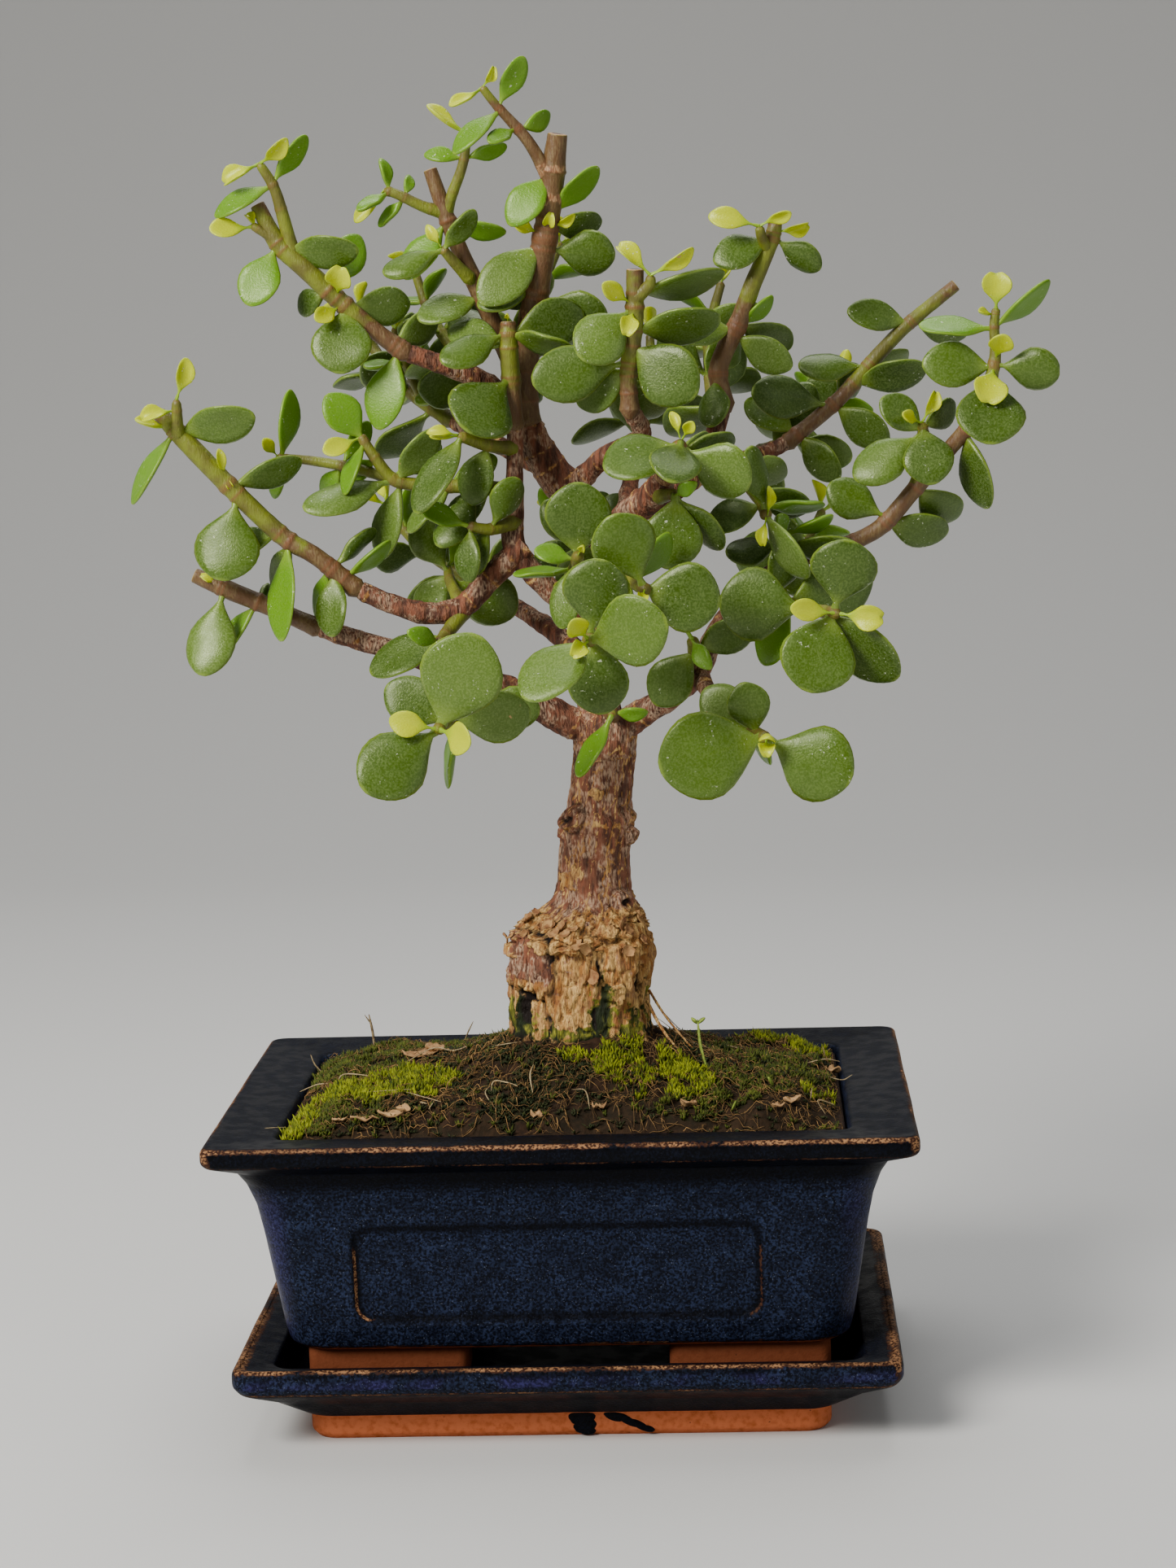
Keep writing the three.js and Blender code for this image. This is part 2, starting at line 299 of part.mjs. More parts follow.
// Shoots at the back, whose leaf pairs follow the rule of opposite pairs, each turned a quarter from the
// last:
// node, route points, number of pairs, turn of the first pair, length of the first and the last leaves.
const PAIRED_SHOOTS = [
  ['spray_rear_left', [[-24, 26, 215, 1.6], [-33, 33, 221, 1.4], [-41, 38, 230, 1.2],
    [-46, 40, 240, 0.9]], 5, 20, 17, 9],
  ['spray_rear_left', [[-30, 31, 219, 1.1], [-33, 24, 227, 1], [-35, 18, 236, 0.8]], 3, 60, 14, 8],
  ['spray_rear', [[17, 34, 204, 1.7], [19, 43, 212, 1.5], [21, 50, 222, 1.3],
    [21, 54, 233, 0.9]], 5, 0, 17, 9],
  ['spray_rear', [[18.5, 42, 211, 1.2], [11, 46, 219, 1], [5, 48, 228, 0.8]], 3, 40, 14, 8],
  ['spray_rear_right', [[46, 20, 206, 1.4], [52, 32, 208, 1.3], [59, 42, 213, 1.1],
    [64, 48, 221, 0.9]], 5, 30, 16, 9],
  ['spray_low_rear_left', [[-14, 24, 175, 1.6], [-24, 32, 180, 1.4], [-34, 38, 187, 1.2],
    [-41, 41, 196, 0.9]], 5, 70, 17, 9],
  ['spray_low_rear_right', [[40, 22, 168, 1.6], [48, 30, 174, 1.4], [55, 36, 182, 1.2],
    [60, 39, 192, 0.9]], 5, 10, 17, 9],
  ['spray_low_rear', [[14, 16, 189, 1.4], [8, 27, 186, 1.3], [3, 37, 188, 1.1],
    [0, 44, 194, 0.9]], 5, 45, 16, 9],
  ['spray_top_rear', [[-5, 9, 222, 1.5], [-5, 20, 231, 1.4], [-3, 28, 242, 1.2],
    [2, 32, 254, 0.9]], 5, 15, 16, 8],
  ['spray_top_rear_left', [[-9, 8.5, 219, 1.4], [-19, 18, 227, 1.3], [-27, 24, 238, 1.1],
    [-31, 27, 249, 0.9]], 5, 80, 16, 8],
  ['spray_top_rear_right', [[36, 6, 213, 1.4], [35, 18, 222, 1.3], [35, 27, 233, 1.1],
    [38, 32, 244, 0.9]], 5, 35, 16, 8],
];

// Turns tried, in this order, on a leaf that would cross another piece: [bearing, lean], in degrees
const TURNS = [[0, 0], [0, 8], [0, -8], [8, 0], [-8, 0], [8, 8], [-8, 8], [8, -8], [-8, -8], [0, 16],
  [0, -16], [16, 0],
  [-16, 0], [16, 16], [-16, 16], [16, -16], [-16, -16], [0, 26], [0, -26], [26, 0], [-26, 0], [26, 26],
    [-26, 26],
  [26, -26], [-26, -26], [0, 40], [0, -40], [40, 0], [-40, 0]];
const SHRINKS = [1, 0.85, 0.7];

// Vectors and curves

const vector = (p) => new THREE.Vector3(p[0], p[1], p[2]);
const radians = THREE.MathUtils.degToRad;

class Route {
  constructor(points) {
    this.curve = new THREE.CatmullRomCurve3(points.map(vector), false, 'catmullrom', 0.5);
    this.radii = points.map((p) => p[3]);
    this.spans = points.length - 1;
  }

  at(share) {
    return this.curve.getPoint(share);
  }

  radius(share) {
    const place = share * this.spans;
    const i = Math.min(Math.floor(place), this.spans - 1);
    return this.radii[i] + (this.radii[i + 1] - this.radii[i]) * (place - i);
  }

  direction(share) {
    const a = this.at(Math.max(0, share - SHARE_STEP));
    const b = this.at(Math.min(1, share + SHARE_STEP));
    return b.sub(a).normalize();
  }
}

// Solids from rings of points

function solid(points, faces) {
  const vertProperties = new Float32Array(points.flatMap((p) => [p.x, p.y, p.z]));
  const mesh = new wasm.Mesh({ numProp: 3, vertProperties, triVerts: new Uint32Array(faces) });
  return new wasm.Manifold(mesh);
}

function loft(rings) {
  const sides = rings[0].length;
  const points = rings.flat();
  const faces = [];
  for (let r = 0; r + 1 < rings.length; r += 1) {
    for (let i = 0; i < sides; i += 1) {
      const a = r * sides + i;
      const b = r * sides + (i + 1) % sides;
      faces.push(a, b, b + sides, a, b + sides, a + sides);
    }
  }
  const last = (rings.length - 1) * sides;
  for (let i = 1; i + 1 < sides; i += 1) {
    faces.push(0, i + 1, i);
    faces.push(last, last + i, last + i + 1);
  }
  return solid(points, faces);
}

function frames(route, steps) {
  const list = [];
  let side = null;
  for (let k = 0; k <= steps; k += 1) {
    const along = route.direction(k / steps);
    if (side === null) {
      side = new THREE.Vector3(0, 0, 1);
      if (Math.abs(along.z) > 0.8) side = new THREE.Vector3(1, 0, 0);
    }
    side = side.clone().addScaledVector(along, -side.dot(along)).normalize();
    list.push({ share: k / steps, along, side, up: new THREE.Vector3().crossVectors(along, side) });
  }
  return list;
}

function limb(route, sides, steps, grow = 0) {
  const list = frames(route, steps);
  const rings = list.map((f, k) => {
    const centre = route.at(f.share);
    if (k === 0) centre.addScaledVector(f.along, -grow);
    if (k === steps) centre.addScaledVector(f.along, grow);
    const radius = route.radius(f.share) + grow;
    return Array.from({ length: sides }, (_, i) => {
      const turn = (i / sides) * 2 * Math.PI;
      return centre.clone()
        .addScaledVector(f.side, radius * Math.cos(turn))
        .addScaledVector(f.up, radius * Math.sin(turn));
    });
  });
  return loft(rings);
}

// Leaves

function leafFrame(bearing, lean, face) {
  const b = radians(bearing);
  const l = radians(lean);
  const f = radians(face);
  const along = new THREE.Vector3(Math.sin(b) * Math.cos(l), -Math.sin(l), Math.cos(b) * Math.cos(l));
  const front = new THREE.Vector3(0, -1, 0);
  front.addScaledVector(along, -front.dot(along)).normalize();
  const turned = new THREE.Vector3().crossVectors(along, front);
  const normal = front.multiplyScalar(Math.cos(f)).addScaledVector(turned, Math.sin(f));
  return { along, normal, across: new THREE.Vector3().crossVectors(normal, along) };
}

function leafWidth(share) {
  if (share <= 0 || share >= 1) return 0;
  return Math.sin(Math.PI * share ** OUTLINE.skew) ** OUTLINE.blunt;
}

function makeLeaf(plan, turn, shrink) {
  const frame = leafFrame(plan.bearing + turn[0], plan.lean + turn[1], plan.face);
  const length = plan.length * shrink;
  return {
    ...plan,
    ...frame,
    length,
    width: plan.width * length,
    start: plan.base.clone().addScaledVector(frame.along, plan.radius * ROOT_SHARE),
    root: plan.radius * ROOT_SHARE,
  };
}

function leafPoint(leaf, x, w, z) {
  return leaf.start.clone()
    .addScaledVector(leaf.along, x)
    .addScaledVector(leaf.across, w)
    .addScaledVector(leaf.normal, z);
}

function halfThickness(leaf, share, side) {
  const edge = Math.max(Math.abs(side), Math.abs(share * 2 - 1));
  return 0.5 * leaf.thick * (1 - edge * edge) + EDGE_HALF;
}

// Sample points of a leaf's middle surface as [share of length, share of half width], in rows across it
const SAMPLE_SIDES = [-1, -0.5, 0, 0.5, 1];
const SAMPLE_SHARES = [0.15, 0.3, 0.45, 0.6, 0.75, 0.88, 1];
const SAMPLES = SAMPLE_SHARES.flatMap((share) => SAMPLE_SIDES.map((side) => [share, side]));

function sampleLeaf(leaf) {
  return SAMPLES.map(([share, side]) => ({
    share,
    point: leafPoint(leaf, share * leaf.length, side * leafWidth(share) * leaf.width / 2, 0),
    half: halfThickness(leaf, share, side),
  }));
}

function touchesBlade(leaf, point, reach) {
  const from = point.clone().sub(leaf.start);
  const share = from.dot(leaf.along) / leaf.length;
  if (share < END_MARGIN || share > 1 + END_MARGIN) return false;
  const inner = Math.min(share, 1 - END_MARGIN / 2);
  const side = from.dot(leaf.across) / (leafWidth(inner) * leaf.width / 2 + SIDE_MARGIN);
  if (Math.abs(side) > 1) return false;
  return Math.abs(from.dot(leaf.normal)) < halfThickness(leaf, inner, side) + reach + LEAF_CLEAR;
}

function crossesBlade(leaf, samples) {
  const columns = SAMPLE_SIDES.length;
  for (let k = 0; k + columns < samples.length; k += 1) {
    const a = samples[k];
    const b = samples[k + columns];
    const za = a.point.clone().sub(leaf.start).dot(leaf.normal);
    const zb = b.point.clone().sub(leaf.start).dot(leaf.normal);
    if (za * zb < 0) {
      const cut = a.point.clone().lerp(b.point, za / (za - zb));
      if (touchesBlade(leaf, cut, 0)) return true;
    }
  }
  return false;
}

function leavesClash(a, b) {
  const reach = a.length + b.length;
  if (a.start.distanceToSquared(b.start) > reach * reach) return false;
  const from = a.start.distanceTo(b.start) < SAME_JOINT ? ROOT_PART : 0;
  const pa = a.samples.filter((s) => s.share > from);
  const pb = b.samples.filter((s) => s.share > from);
  return pa.some((s) => touchesBlade(b, s.point, s.half))
    || pb.some((s) => touchesBlade(a, s.point, s.half))
    || crossesBlade(b, pa) || crossesBlade(a, pb);
}

function leafMeetsStem(leaf, bead) {
  if (bead.node === leaf.node) {
    const near = bead.radius + OWN_STEM_CLEAR;
    if (leaf.start.distanceToSquared(bead.point) < near * near) return false;
  }
  const far = leaf.length + bead.radius + SEARCH_MARGIN;
  if (leaf.start.distanceToSquared(bead.point) > far * far) return false;
  if (touchesBlade(leaf, bead.point, bead.radius)) return true;
  return leaf.samples.some((s) => s.point.distanceTo(bead.point) < s.half + bead.radius + LEAF_CLEAR);
}

// The bearing, lean and face of a leaf of a pair, from the stem's own direction
function pairedWay(along, turn, open) {
  const up = new THREE.Vector3(0, 0, 1);
  up.addScaledVector(along, -up.dot(along)).normalize();
  const side = new THREE.Vector3().crossVectors(along, up);
  const out = along.clone().multiplyScalar(Math.cos(open))
    .addScaledVector(up, Math.sin(open) * Math.cos(turn))
    .addScaledVector(side, Math.sin(open) * Math.sin(turn));
  const normal = along.clone().addScaledVector(out, -along.dot(out)).normalize();
  const bearing = THREE.MathUtils.radToDeg(Math.atan2(out.x, out.z));
  const lean = THREE.MathUtils.radToDeg(Math.asin(-out.y));
  const flat = leafFrame(bearing, lean, 0).normal;
  const turned = new THREE.Vector3().crossVectors(out, flat);
  const face = THREE.MathUtils.radToDeg(Math.atan2(normal.dot(turned), normal.dot(flat)));
  return { bearing, lean, face };
}

function handPlans([node, points, leaves]) {
  const route = new Route(points);
  return leaves.map(([kind, share, bearing, lean, length, face, width]) => ({
    node, kind, bearing, lean, length, face, base: route.at(share), radius: route.radius(share),
    width: width ?? LEAF[kind].width, thick: LEAF[kind].thick,
  }));
}

function pairPlans([node, points, pairs, firstTurn, longest, shortest]) {
  const route = new Route(points);
  const plans = [];
  for (let i = 0; i < pairs; i += 1) {
    const place = i / (pairs - 1);
    const share = PAIR.first + (PAIR.last - PAIR.first) * place;
    const kind = ['y', 'f'][pairs - 1 - i] ?? 'm';
    const young = kind === 'y';
    const open = radians(young ? PAIR.youngOpen : PAIR.open);
    const length = (longest + (shortest - longest) * place) * (young ? PAIR.youngLength : 1);
    for (const half of [0, 180]) {
      const way = pairedWay(route.direction(share), radians(firstTurn + 90 * i + half), open);
      plans.push({
        node, kind, ...way, length, base: route.at(share), radius: route.radius(share),
        width: LEAF[kind].width, thick: LEAF[kind].thick,
      });
    }
  }
  return plans;
}

function stemBeads(node, points) {
  const route = new Route(points);
  const steps = points.length * BEADS_PER_POINT;
  return Array.from({ length: steps + 1 }, (_, k) => ({
    node, point: route.at(k / steps), radius: route.radius(k / steps),
  }));
}

function placeLeaves() {
  const beads = [
    ...BOUGHS.flatMap(([, points]) => stemBeads('trunk_and_boughs', points)),
    ...[...SHOOTS, ...PAIRED_SHOOTS].flatMap(([node, points]) => stemBeads(node, points)),
  ];
  const plans = [...SHOOTS.flatMap(handPlans), ...PAIRED_SHOOTS.flatMap(pairPlans)];
  const placed = [];
  for (const plan of plans) {
    const choice = firstClear(plan, beads, placed);
    if (choice !== null) placed.push(choice);
  }
  return placed;
}

function firstClear(plan, beads, placed) {
  for (const shrink of SHRINKS) {
    for (const turn of TURNS) {
      const leaf = makeLeaf(plan, turn, shrink);
      leaf.samples = sampleLeaf(leaf);
      const clear = !placed.some((other) => leavesClash(leaf, other))
        && !beads.some((bead) => leafMeetsStem(leaf, bead));
      if (clear) return leaf;
    }
  }
  return null;
}

function leafSolid(leaf) {
  const corners = LEAF[leaf.kind].corners;
  const half = leaf.width / 2;
  const edge = (share, side) => leafPoint(leaf, share * leaf.length, side * half * leafWidth(share), 0);
  const points = [
    leafPoint(leaf, -leaf.root, 0, 0),
    ...corners.map((share) => edge(share, 1)),
    ...[...corners].reverse().map((share) => edge(share, -1)),
  ];
  const sides = points.length;
  points.push(leafPoint(leaf, LEAF_CREST * leaf.length, 0, leaf.thick / 2));
  points.push(leafPoint(leaf, LEAF_CREST * leaf.length, 0, -leaf.thick / 2));
  const faces = [];
  for (let i = 0; i < sides; i += 1) {
    const next = (i + 1) % sides;
    faces.push(i, next, sides + 1, next, i, sides);
  }
  return solid(points, faces);
}

// Clay: saucer and pot, from rounded rectangles

const CORNERS = [[1, 1, 0], [-1, 1, 90], [-1, -1, 180], [1, -1, 270]];
const CLAY_ARC = 3;
const SOIL_ARC = 2;

function roundedRing({ x, y, z, corner }, arcSteps) {
  return CORNERS.flatMap(([sx, sy, from]) => Array.from({ length: arcSteps + 1 }, (_, k) => {
    const turn = radians(from + (90 * k) / arcSteps);
    const middleX = sx * (x - corner);
    const middleY = sy * (y - corner);
    return new THREE.Vector3(middleX + corner * Math.cos(turn), middleY + corner * Math.sin(turn), z);
  }));
}

function levelRing(rim, [by, z, corner], arcSteps) {
  return roundedRing({ x: rim.x - by, y: rim.y - by, z, corner }, arcSteps);
}

function makeSaucer() {
  const outside = loft([
    roundedRing({ ...SAUCER_FOOT, z: 0 }, CLAY_ARC),
    roundedRing(SAUCER_FOOT, CLAY_ARC),
    roundedRing(SAUCER_FOOT_EDGE, CLAY_ARC),
    ...SAUCER_OUTSIDE.map((level) => levelRing(SAUCER_RIM, level, CLAY_ARC)),
  ]);
  return outside.subtract(loft(SAUCER_BASIN.map((level) => levelRing(SAUCER_RIM, level, CLAY_ARC))));
}

function block([x0, x1], [y0, y1], [z0, z1]) {
  const level = (z) => [[x0, y0], [x1, y0], [x1, y1], [x0, y1]].map(([x, y]) => new THREE.Vector3(x, y, z));
  return loft([level(z0), level(z1)]);
}

function potFeet() {
  const [outX, outY] = FOOT.outer;
  const heights = [SAUCER_FLOOR_Z + FOOT.gap, POT_BOTTOM_Z + FOOT.sunk];
  const span = (side, outer, size) => [side * outer, side * (outer - size)].sort((a, b) => a - b);
  return CORNERS.map(([sx, sy]) => block(span(sx, outX, FOOT.length), span(sy, outY, FOOT.width), heights));
}

// How far the pot's wall stands in from the rim at a height
function wallInset(z) {
  const k = POT_OUTSIDE.findIndex((level) => level[1] > z);
  const [lowInset, lowZ] = POT_OUTSIDE[k - 1];
  const [highInset, highZ] = POT_OUTSIDE[k];
  return lowInset + ((highInset - lowInset) * (z - lowZ)) / (highZ - lowZ);
}

function panelCut(front) {
  const level = (z, half) => {
    const wall = POT_RIM.y - wallInset(z);
    const deep = front * (wall - PANEL.depth);
    const out = front * (wall + FOOT.width);
    const ring = [[-half, deep], [half, deep], [half, out], [-half, out]];
    const ordered = front > 0 ? ring : ring.reverse();
    return ordered.map(([x, y]) => new THREE.Vector3(x, y, z));
  };
  return loft([
    level(PANEL.low, PANEL.half - PANEL.chamfer),
    level(PANEL.low + PANEL.chamfer, PANEL.half),
    level(PANEL.high, PANEL.half),
  ]);
}

function drainHole(x) {
  const cylinder = new THREE.CylinderGeometry(DRAIN.radius, DRAIN.radius, DRAIN.length, DRAIN.sides);
  cylinder.rotateX(Math.PI / 2);
  cylinder.translate(x, 0, POT_BOTTOM_Z);
  return fromGeometry(cylinder);
}

function fromGeometry(geometry) {
  const position = geometry.getAttribute('position');
  const seen = new Map();
  const points = [];
  const number = [];
  for (let i = 0; i < position.count; i += 1) {
    const p = new THREE.Vector3().fromBufferAttribute(position, i);
    const key = [p.x, p.y, p.z].map((v) => v.toFixed(4)).join(' ');
    if (!seen.has(key)) {
      seen.set(key, points.length);
      points.push(p);
    }
    number.push(seen.get(key));
  }
  const faces = [];
  const index = geometry.getIndex();
  for (let i = 0; i < index.count; i += 3) {
    const [a, b, c] = [0, 1, 2].map((k) => number[index.getX(i + k)]);
    if (a !== b && b !== c && c !== a) faces.push(a, b, c);
  }
  return solid(points, faces);
}

function makePot() {
  let pot = loft(POT_OUTSIDE.map((level) => levelRing(POT_RIM, level, CLAY_ARC)));
  for (const foot of potFeet()) pot = pot.add(foot);
  pot = pot.subtract(loft(POT_HOLLOW.map((level) => levelRing(POT_RIM, level, CLAY_ARC))));
  for (const front of [-1, 1]) pot = pot.subtract(panelCut(front));
  for (const x of [-DRAIN.x, DRAIN.x]) pot = pot.subtract(drainHole(x));
  return pot;
}

// Wood: the trunk with its flutes and knobs, its roots and its boughs

// Trunk levels: height, middle x, radius and the depth of the flutes
const TRUNK_LEVELS = [[62, 4, 16.5, 0.12], [70, 4, 16.8, 0.12], [79, 4, 16.3, 0.1], [88, 4, 16.2, 0.08],
  [95, 4.2, 16, 0.06],
  [100.5, 4.6, 14.6, 0.07], [104, 5.2, 12.2, 0.08], [107.5, 6, 9.9, 0.06], [112, 6.5, 8.7, 0.04],
    [119, 7.2, 8.1, 0.03],
  [124.5, 7.8, 8.4, 0.04], [127, 8.4, 8.6, 0.05], [129.5, 8.8, 7.4, 0.03], [137, 9.6, 6.9, 0.03],
  [144, 10.3, 6.9, 0.04], [149, 10.5, 7.2, 0.05], [152.5, 10, 5.4, 0.04]];
// Knobs as [x, y, z, radius], and roots as [bearing, how far out they reach]
const KNOBS = [[0.8, -4.5, 127.4, 3], [16.2, -3, 122.5, 2.7], [12.5, -9.5, 107.5, 3], [-7.5, -8, 102, 2.6],
  [16.5, 6, 98, 3], [-2, 6, 126, 2.4]];
const ROOTS = [[-150, 26], [-100, 22], [-60, 24], [-15, 25], [45, 24], [100, 25], [155, 26]];

function trunkRing([z, x, radius, flute], grow) {
  return Array.from({ length: TRUNK.sides }, (_, i) => {
    const turn = (i / TRUNK.sides) * 2 * Math.PI;
    const reach = radius * (1 + flute * Math.cos(TRUNK.flutes * turn + z / TRUNK.twist)) + grow;
    return new THREE.Vector3(x + reach * Math.cos(turn), reach * TRUNK.depth * Math.sin(turn), z);
  });
}

function trunkSolid(grow = 0) {
  return loft(TRUNK_LEVELS.map((level, k) => {
    const [z, ...rest] = level;
    return trunkRing([k === 0 ? z - grow : z, ...rest], grow);
  }));
}

function knobSolid([x, y, z, radius], grow = 0) {
  const ball = new THREE.IcosahedronGeometry(radius + grow, 0);
  ball.translate(x, y, z);
  const count = ball.getAttribute('position').count;
  ball.setIndex(Array.from({ length: count }, (_, i) => i));
  return fromGeometry(ball);
}

function rootRoute([bearing, reach]) {
  const c = Math.cos(radians(bearing));
  const s = Math.sin(radians(bearing));
  const at = (r, z, radius) => [TRUNK.x + r * c, r * s, z, radius];
  return [at(9, 88, 5), at(15, 79, 4.2), at(reach - 3, 71, 3.2), at(reach + 2, TRUNK_FOOT_Z + 2, 2)];
}

function woodParts(grow = 0) {
  return [
    trunkSolid(grow),
    ...KNOBS.map((knob) => knobSolid(knob, grow)),
    ...ROOTS.map((root) => limb(new Route(rootRoute(root)), ROOT_SIDES, 3, grow)),
    ...BOUGHS.map(([, points]) => limb(new Route(points), WOOD_SIDES, points.length, grow)),
  ];
}

// Soil: a block that fills the pot, with a mounded top

function soilTop(x, y) {
  const [across, deep] = [Math.abs(x / SOIL.half[0]), Math.abs(y / SOIL.half[1])];
  const edge = Math.min(1, across ** SOIL.square + deep ** SOIL.square);
  const away = ((x - TRUNK.x) ** 2 + y ** 2) / SOIL.spread ** 2;
  return SOIL.edge + SOIL.shoulder * (1 - edge) + SOIL.mound * Math.exp(-away);
}

function soilBlock() {
  const rings = SOIL_SIDE.map((level) => levelRing(POT_RIM, level, SOIL_ARC));
  for (const shrink of SOIL_TOP.shares) {
    const ring = levelRing(POT_RIM, [SOIL_TOP.inset, 0, SOIL_TOP.corner], SOIL_ARC);
    const inner = ring.map((p) => p.multiplyScalar(shrink));
    rings.push(inner.map(({ x, y }) => new THREE.Vector3(x, y, soilTop(x, y))));
  }
  return loft(rings);
}

// Assembly

const unionOf = (parts) => wasm.Manifold.union(parts);

function largest(body) {
  return body.decompose().reduce((best, next) => (next.volume() > best.volume() ? next : best));
}

function toMesh(name, body, material) {
  const { vertProperties, triVerts } = body.getMesh();
  const geometry = new THREE.BufferGeometry();
  geometry.setAttribute('position', new THREE.BufferAttribute(Float32Array.from(vertProperties), 3));
  geometry.setIndex(new THREE.BufferAttribute(Uint32Array.from(triVerts), 1));
  geometry.computeVertexNormals();
  const mesh = new THREE.Mesh(geometry, material);
  mesh.name = name;
  return mesh;
}

const grownWood = unionOf(woodParts(SEAT_GAP));
const wood = largest(unionOf(woodParts()));
const soil = largest(soilBlock().subtract(grownWood));

const group = new THREE.Group();
group.add(toMesh('saucer', makeSaucer(), GLAZE));
group.add(toMesh('pot', makePot(), GLAZE));
group.add(toMesh('soil', soil, EARTH));
group.add(toMesh('trunk_and_boughs', wood, BARK));

const leaves = placeLeaves();
const stems = [...SHOOTS, ...PAIRED_SHOOTS].map(([node, points]) => ({ node, points }));
const names = [...new Set(stems.map((stem) => stem.node))];
let standing = grownWood;
for (const name of names) {
  const routes = stems.filter((stem) => stem.node === name).map(({ points }) => ({
    route: new Route(points),
    steps: points.length - 1,
  }));
  const ownStems = routes.map(({ route, steps }) => limb(route, STEM_SIDES, steps));
  const ownLeaves = leaves.filter((leaf) => leaf.node === name).map(leafSolid);
  const spray = unionOf([...ownStems, ...ownLeaves]).subtract(standing);
  group.add(toMesh(name, largest(spray), GREEN));
  const grown = routes.map(({ route, steps }) => limb(route, STEM_SIDES, steps, SEAT_GAP));
  standing = standing.add(unionOf(grown));
}

export default group;
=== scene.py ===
"""Dwarf jade bonsai in a glazed rectangular pot on its saucer, dressed for Blender.

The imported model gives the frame. Every piece here stands for one or more of its nodes, in the same
place and in metres, and adds what the plain solids leave out: rounded fleshy leaves, ringed stems,
flaking bark, moss, rootlets and the speckled glaze. The tables of boughs and shoots are kept in
millimetres, as they were measured, and MM turns them into metres.
"""
import json
import logging
import math
from dataclasses import dataclass
from enum import Enum
from functools import reduce
from typing import Callable, ClassVar, Iterable, Sequence

import bpy
import numpy as np
from mathutils import Matrix, Vector

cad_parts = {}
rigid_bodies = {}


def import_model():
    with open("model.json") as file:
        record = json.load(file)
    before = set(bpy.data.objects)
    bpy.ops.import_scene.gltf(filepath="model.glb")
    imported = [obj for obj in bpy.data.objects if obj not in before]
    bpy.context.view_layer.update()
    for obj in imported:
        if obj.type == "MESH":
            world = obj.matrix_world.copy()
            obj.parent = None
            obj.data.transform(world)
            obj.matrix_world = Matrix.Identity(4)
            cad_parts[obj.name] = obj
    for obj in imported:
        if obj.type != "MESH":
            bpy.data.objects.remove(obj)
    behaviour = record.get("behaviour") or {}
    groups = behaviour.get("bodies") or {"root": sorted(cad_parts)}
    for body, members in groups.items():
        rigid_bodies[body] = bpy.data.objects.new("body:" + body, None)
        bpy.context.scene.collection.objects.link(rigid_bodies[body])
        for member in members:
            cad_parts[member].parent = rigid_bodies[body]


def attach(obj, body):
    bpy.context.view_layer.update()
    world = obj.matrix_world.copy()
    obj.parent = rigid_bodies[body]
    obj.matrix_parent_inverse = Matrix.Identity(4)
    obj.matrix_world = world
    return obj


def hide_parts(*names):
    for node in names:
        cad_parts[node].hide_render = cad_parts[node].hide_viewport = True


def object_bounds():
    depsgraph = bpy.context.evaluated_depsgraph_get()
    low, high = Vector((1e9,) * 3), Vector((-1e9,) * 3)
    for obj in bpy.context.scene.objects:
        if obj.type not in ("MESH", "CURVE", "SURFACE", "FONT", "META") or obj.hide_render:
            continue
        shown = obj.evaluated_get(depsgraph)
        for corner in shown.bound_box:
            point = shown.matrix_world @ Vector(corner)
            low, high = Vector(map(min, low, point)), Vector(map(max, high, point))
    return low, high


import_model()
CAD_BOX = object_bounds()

LOG = logging.getLogger("dwarf_jade")
MM = 0.001

Array = np.ndarray
Colour = tuple[float, float, float, float]
Knot = Sequence[float]
Marks = dict[str, Array]
Material = bpy.types.Material
Object = bpy.types.Object
Socket = bpy.types.NodeSocket
Line = tuple[Array, Array, Marks]

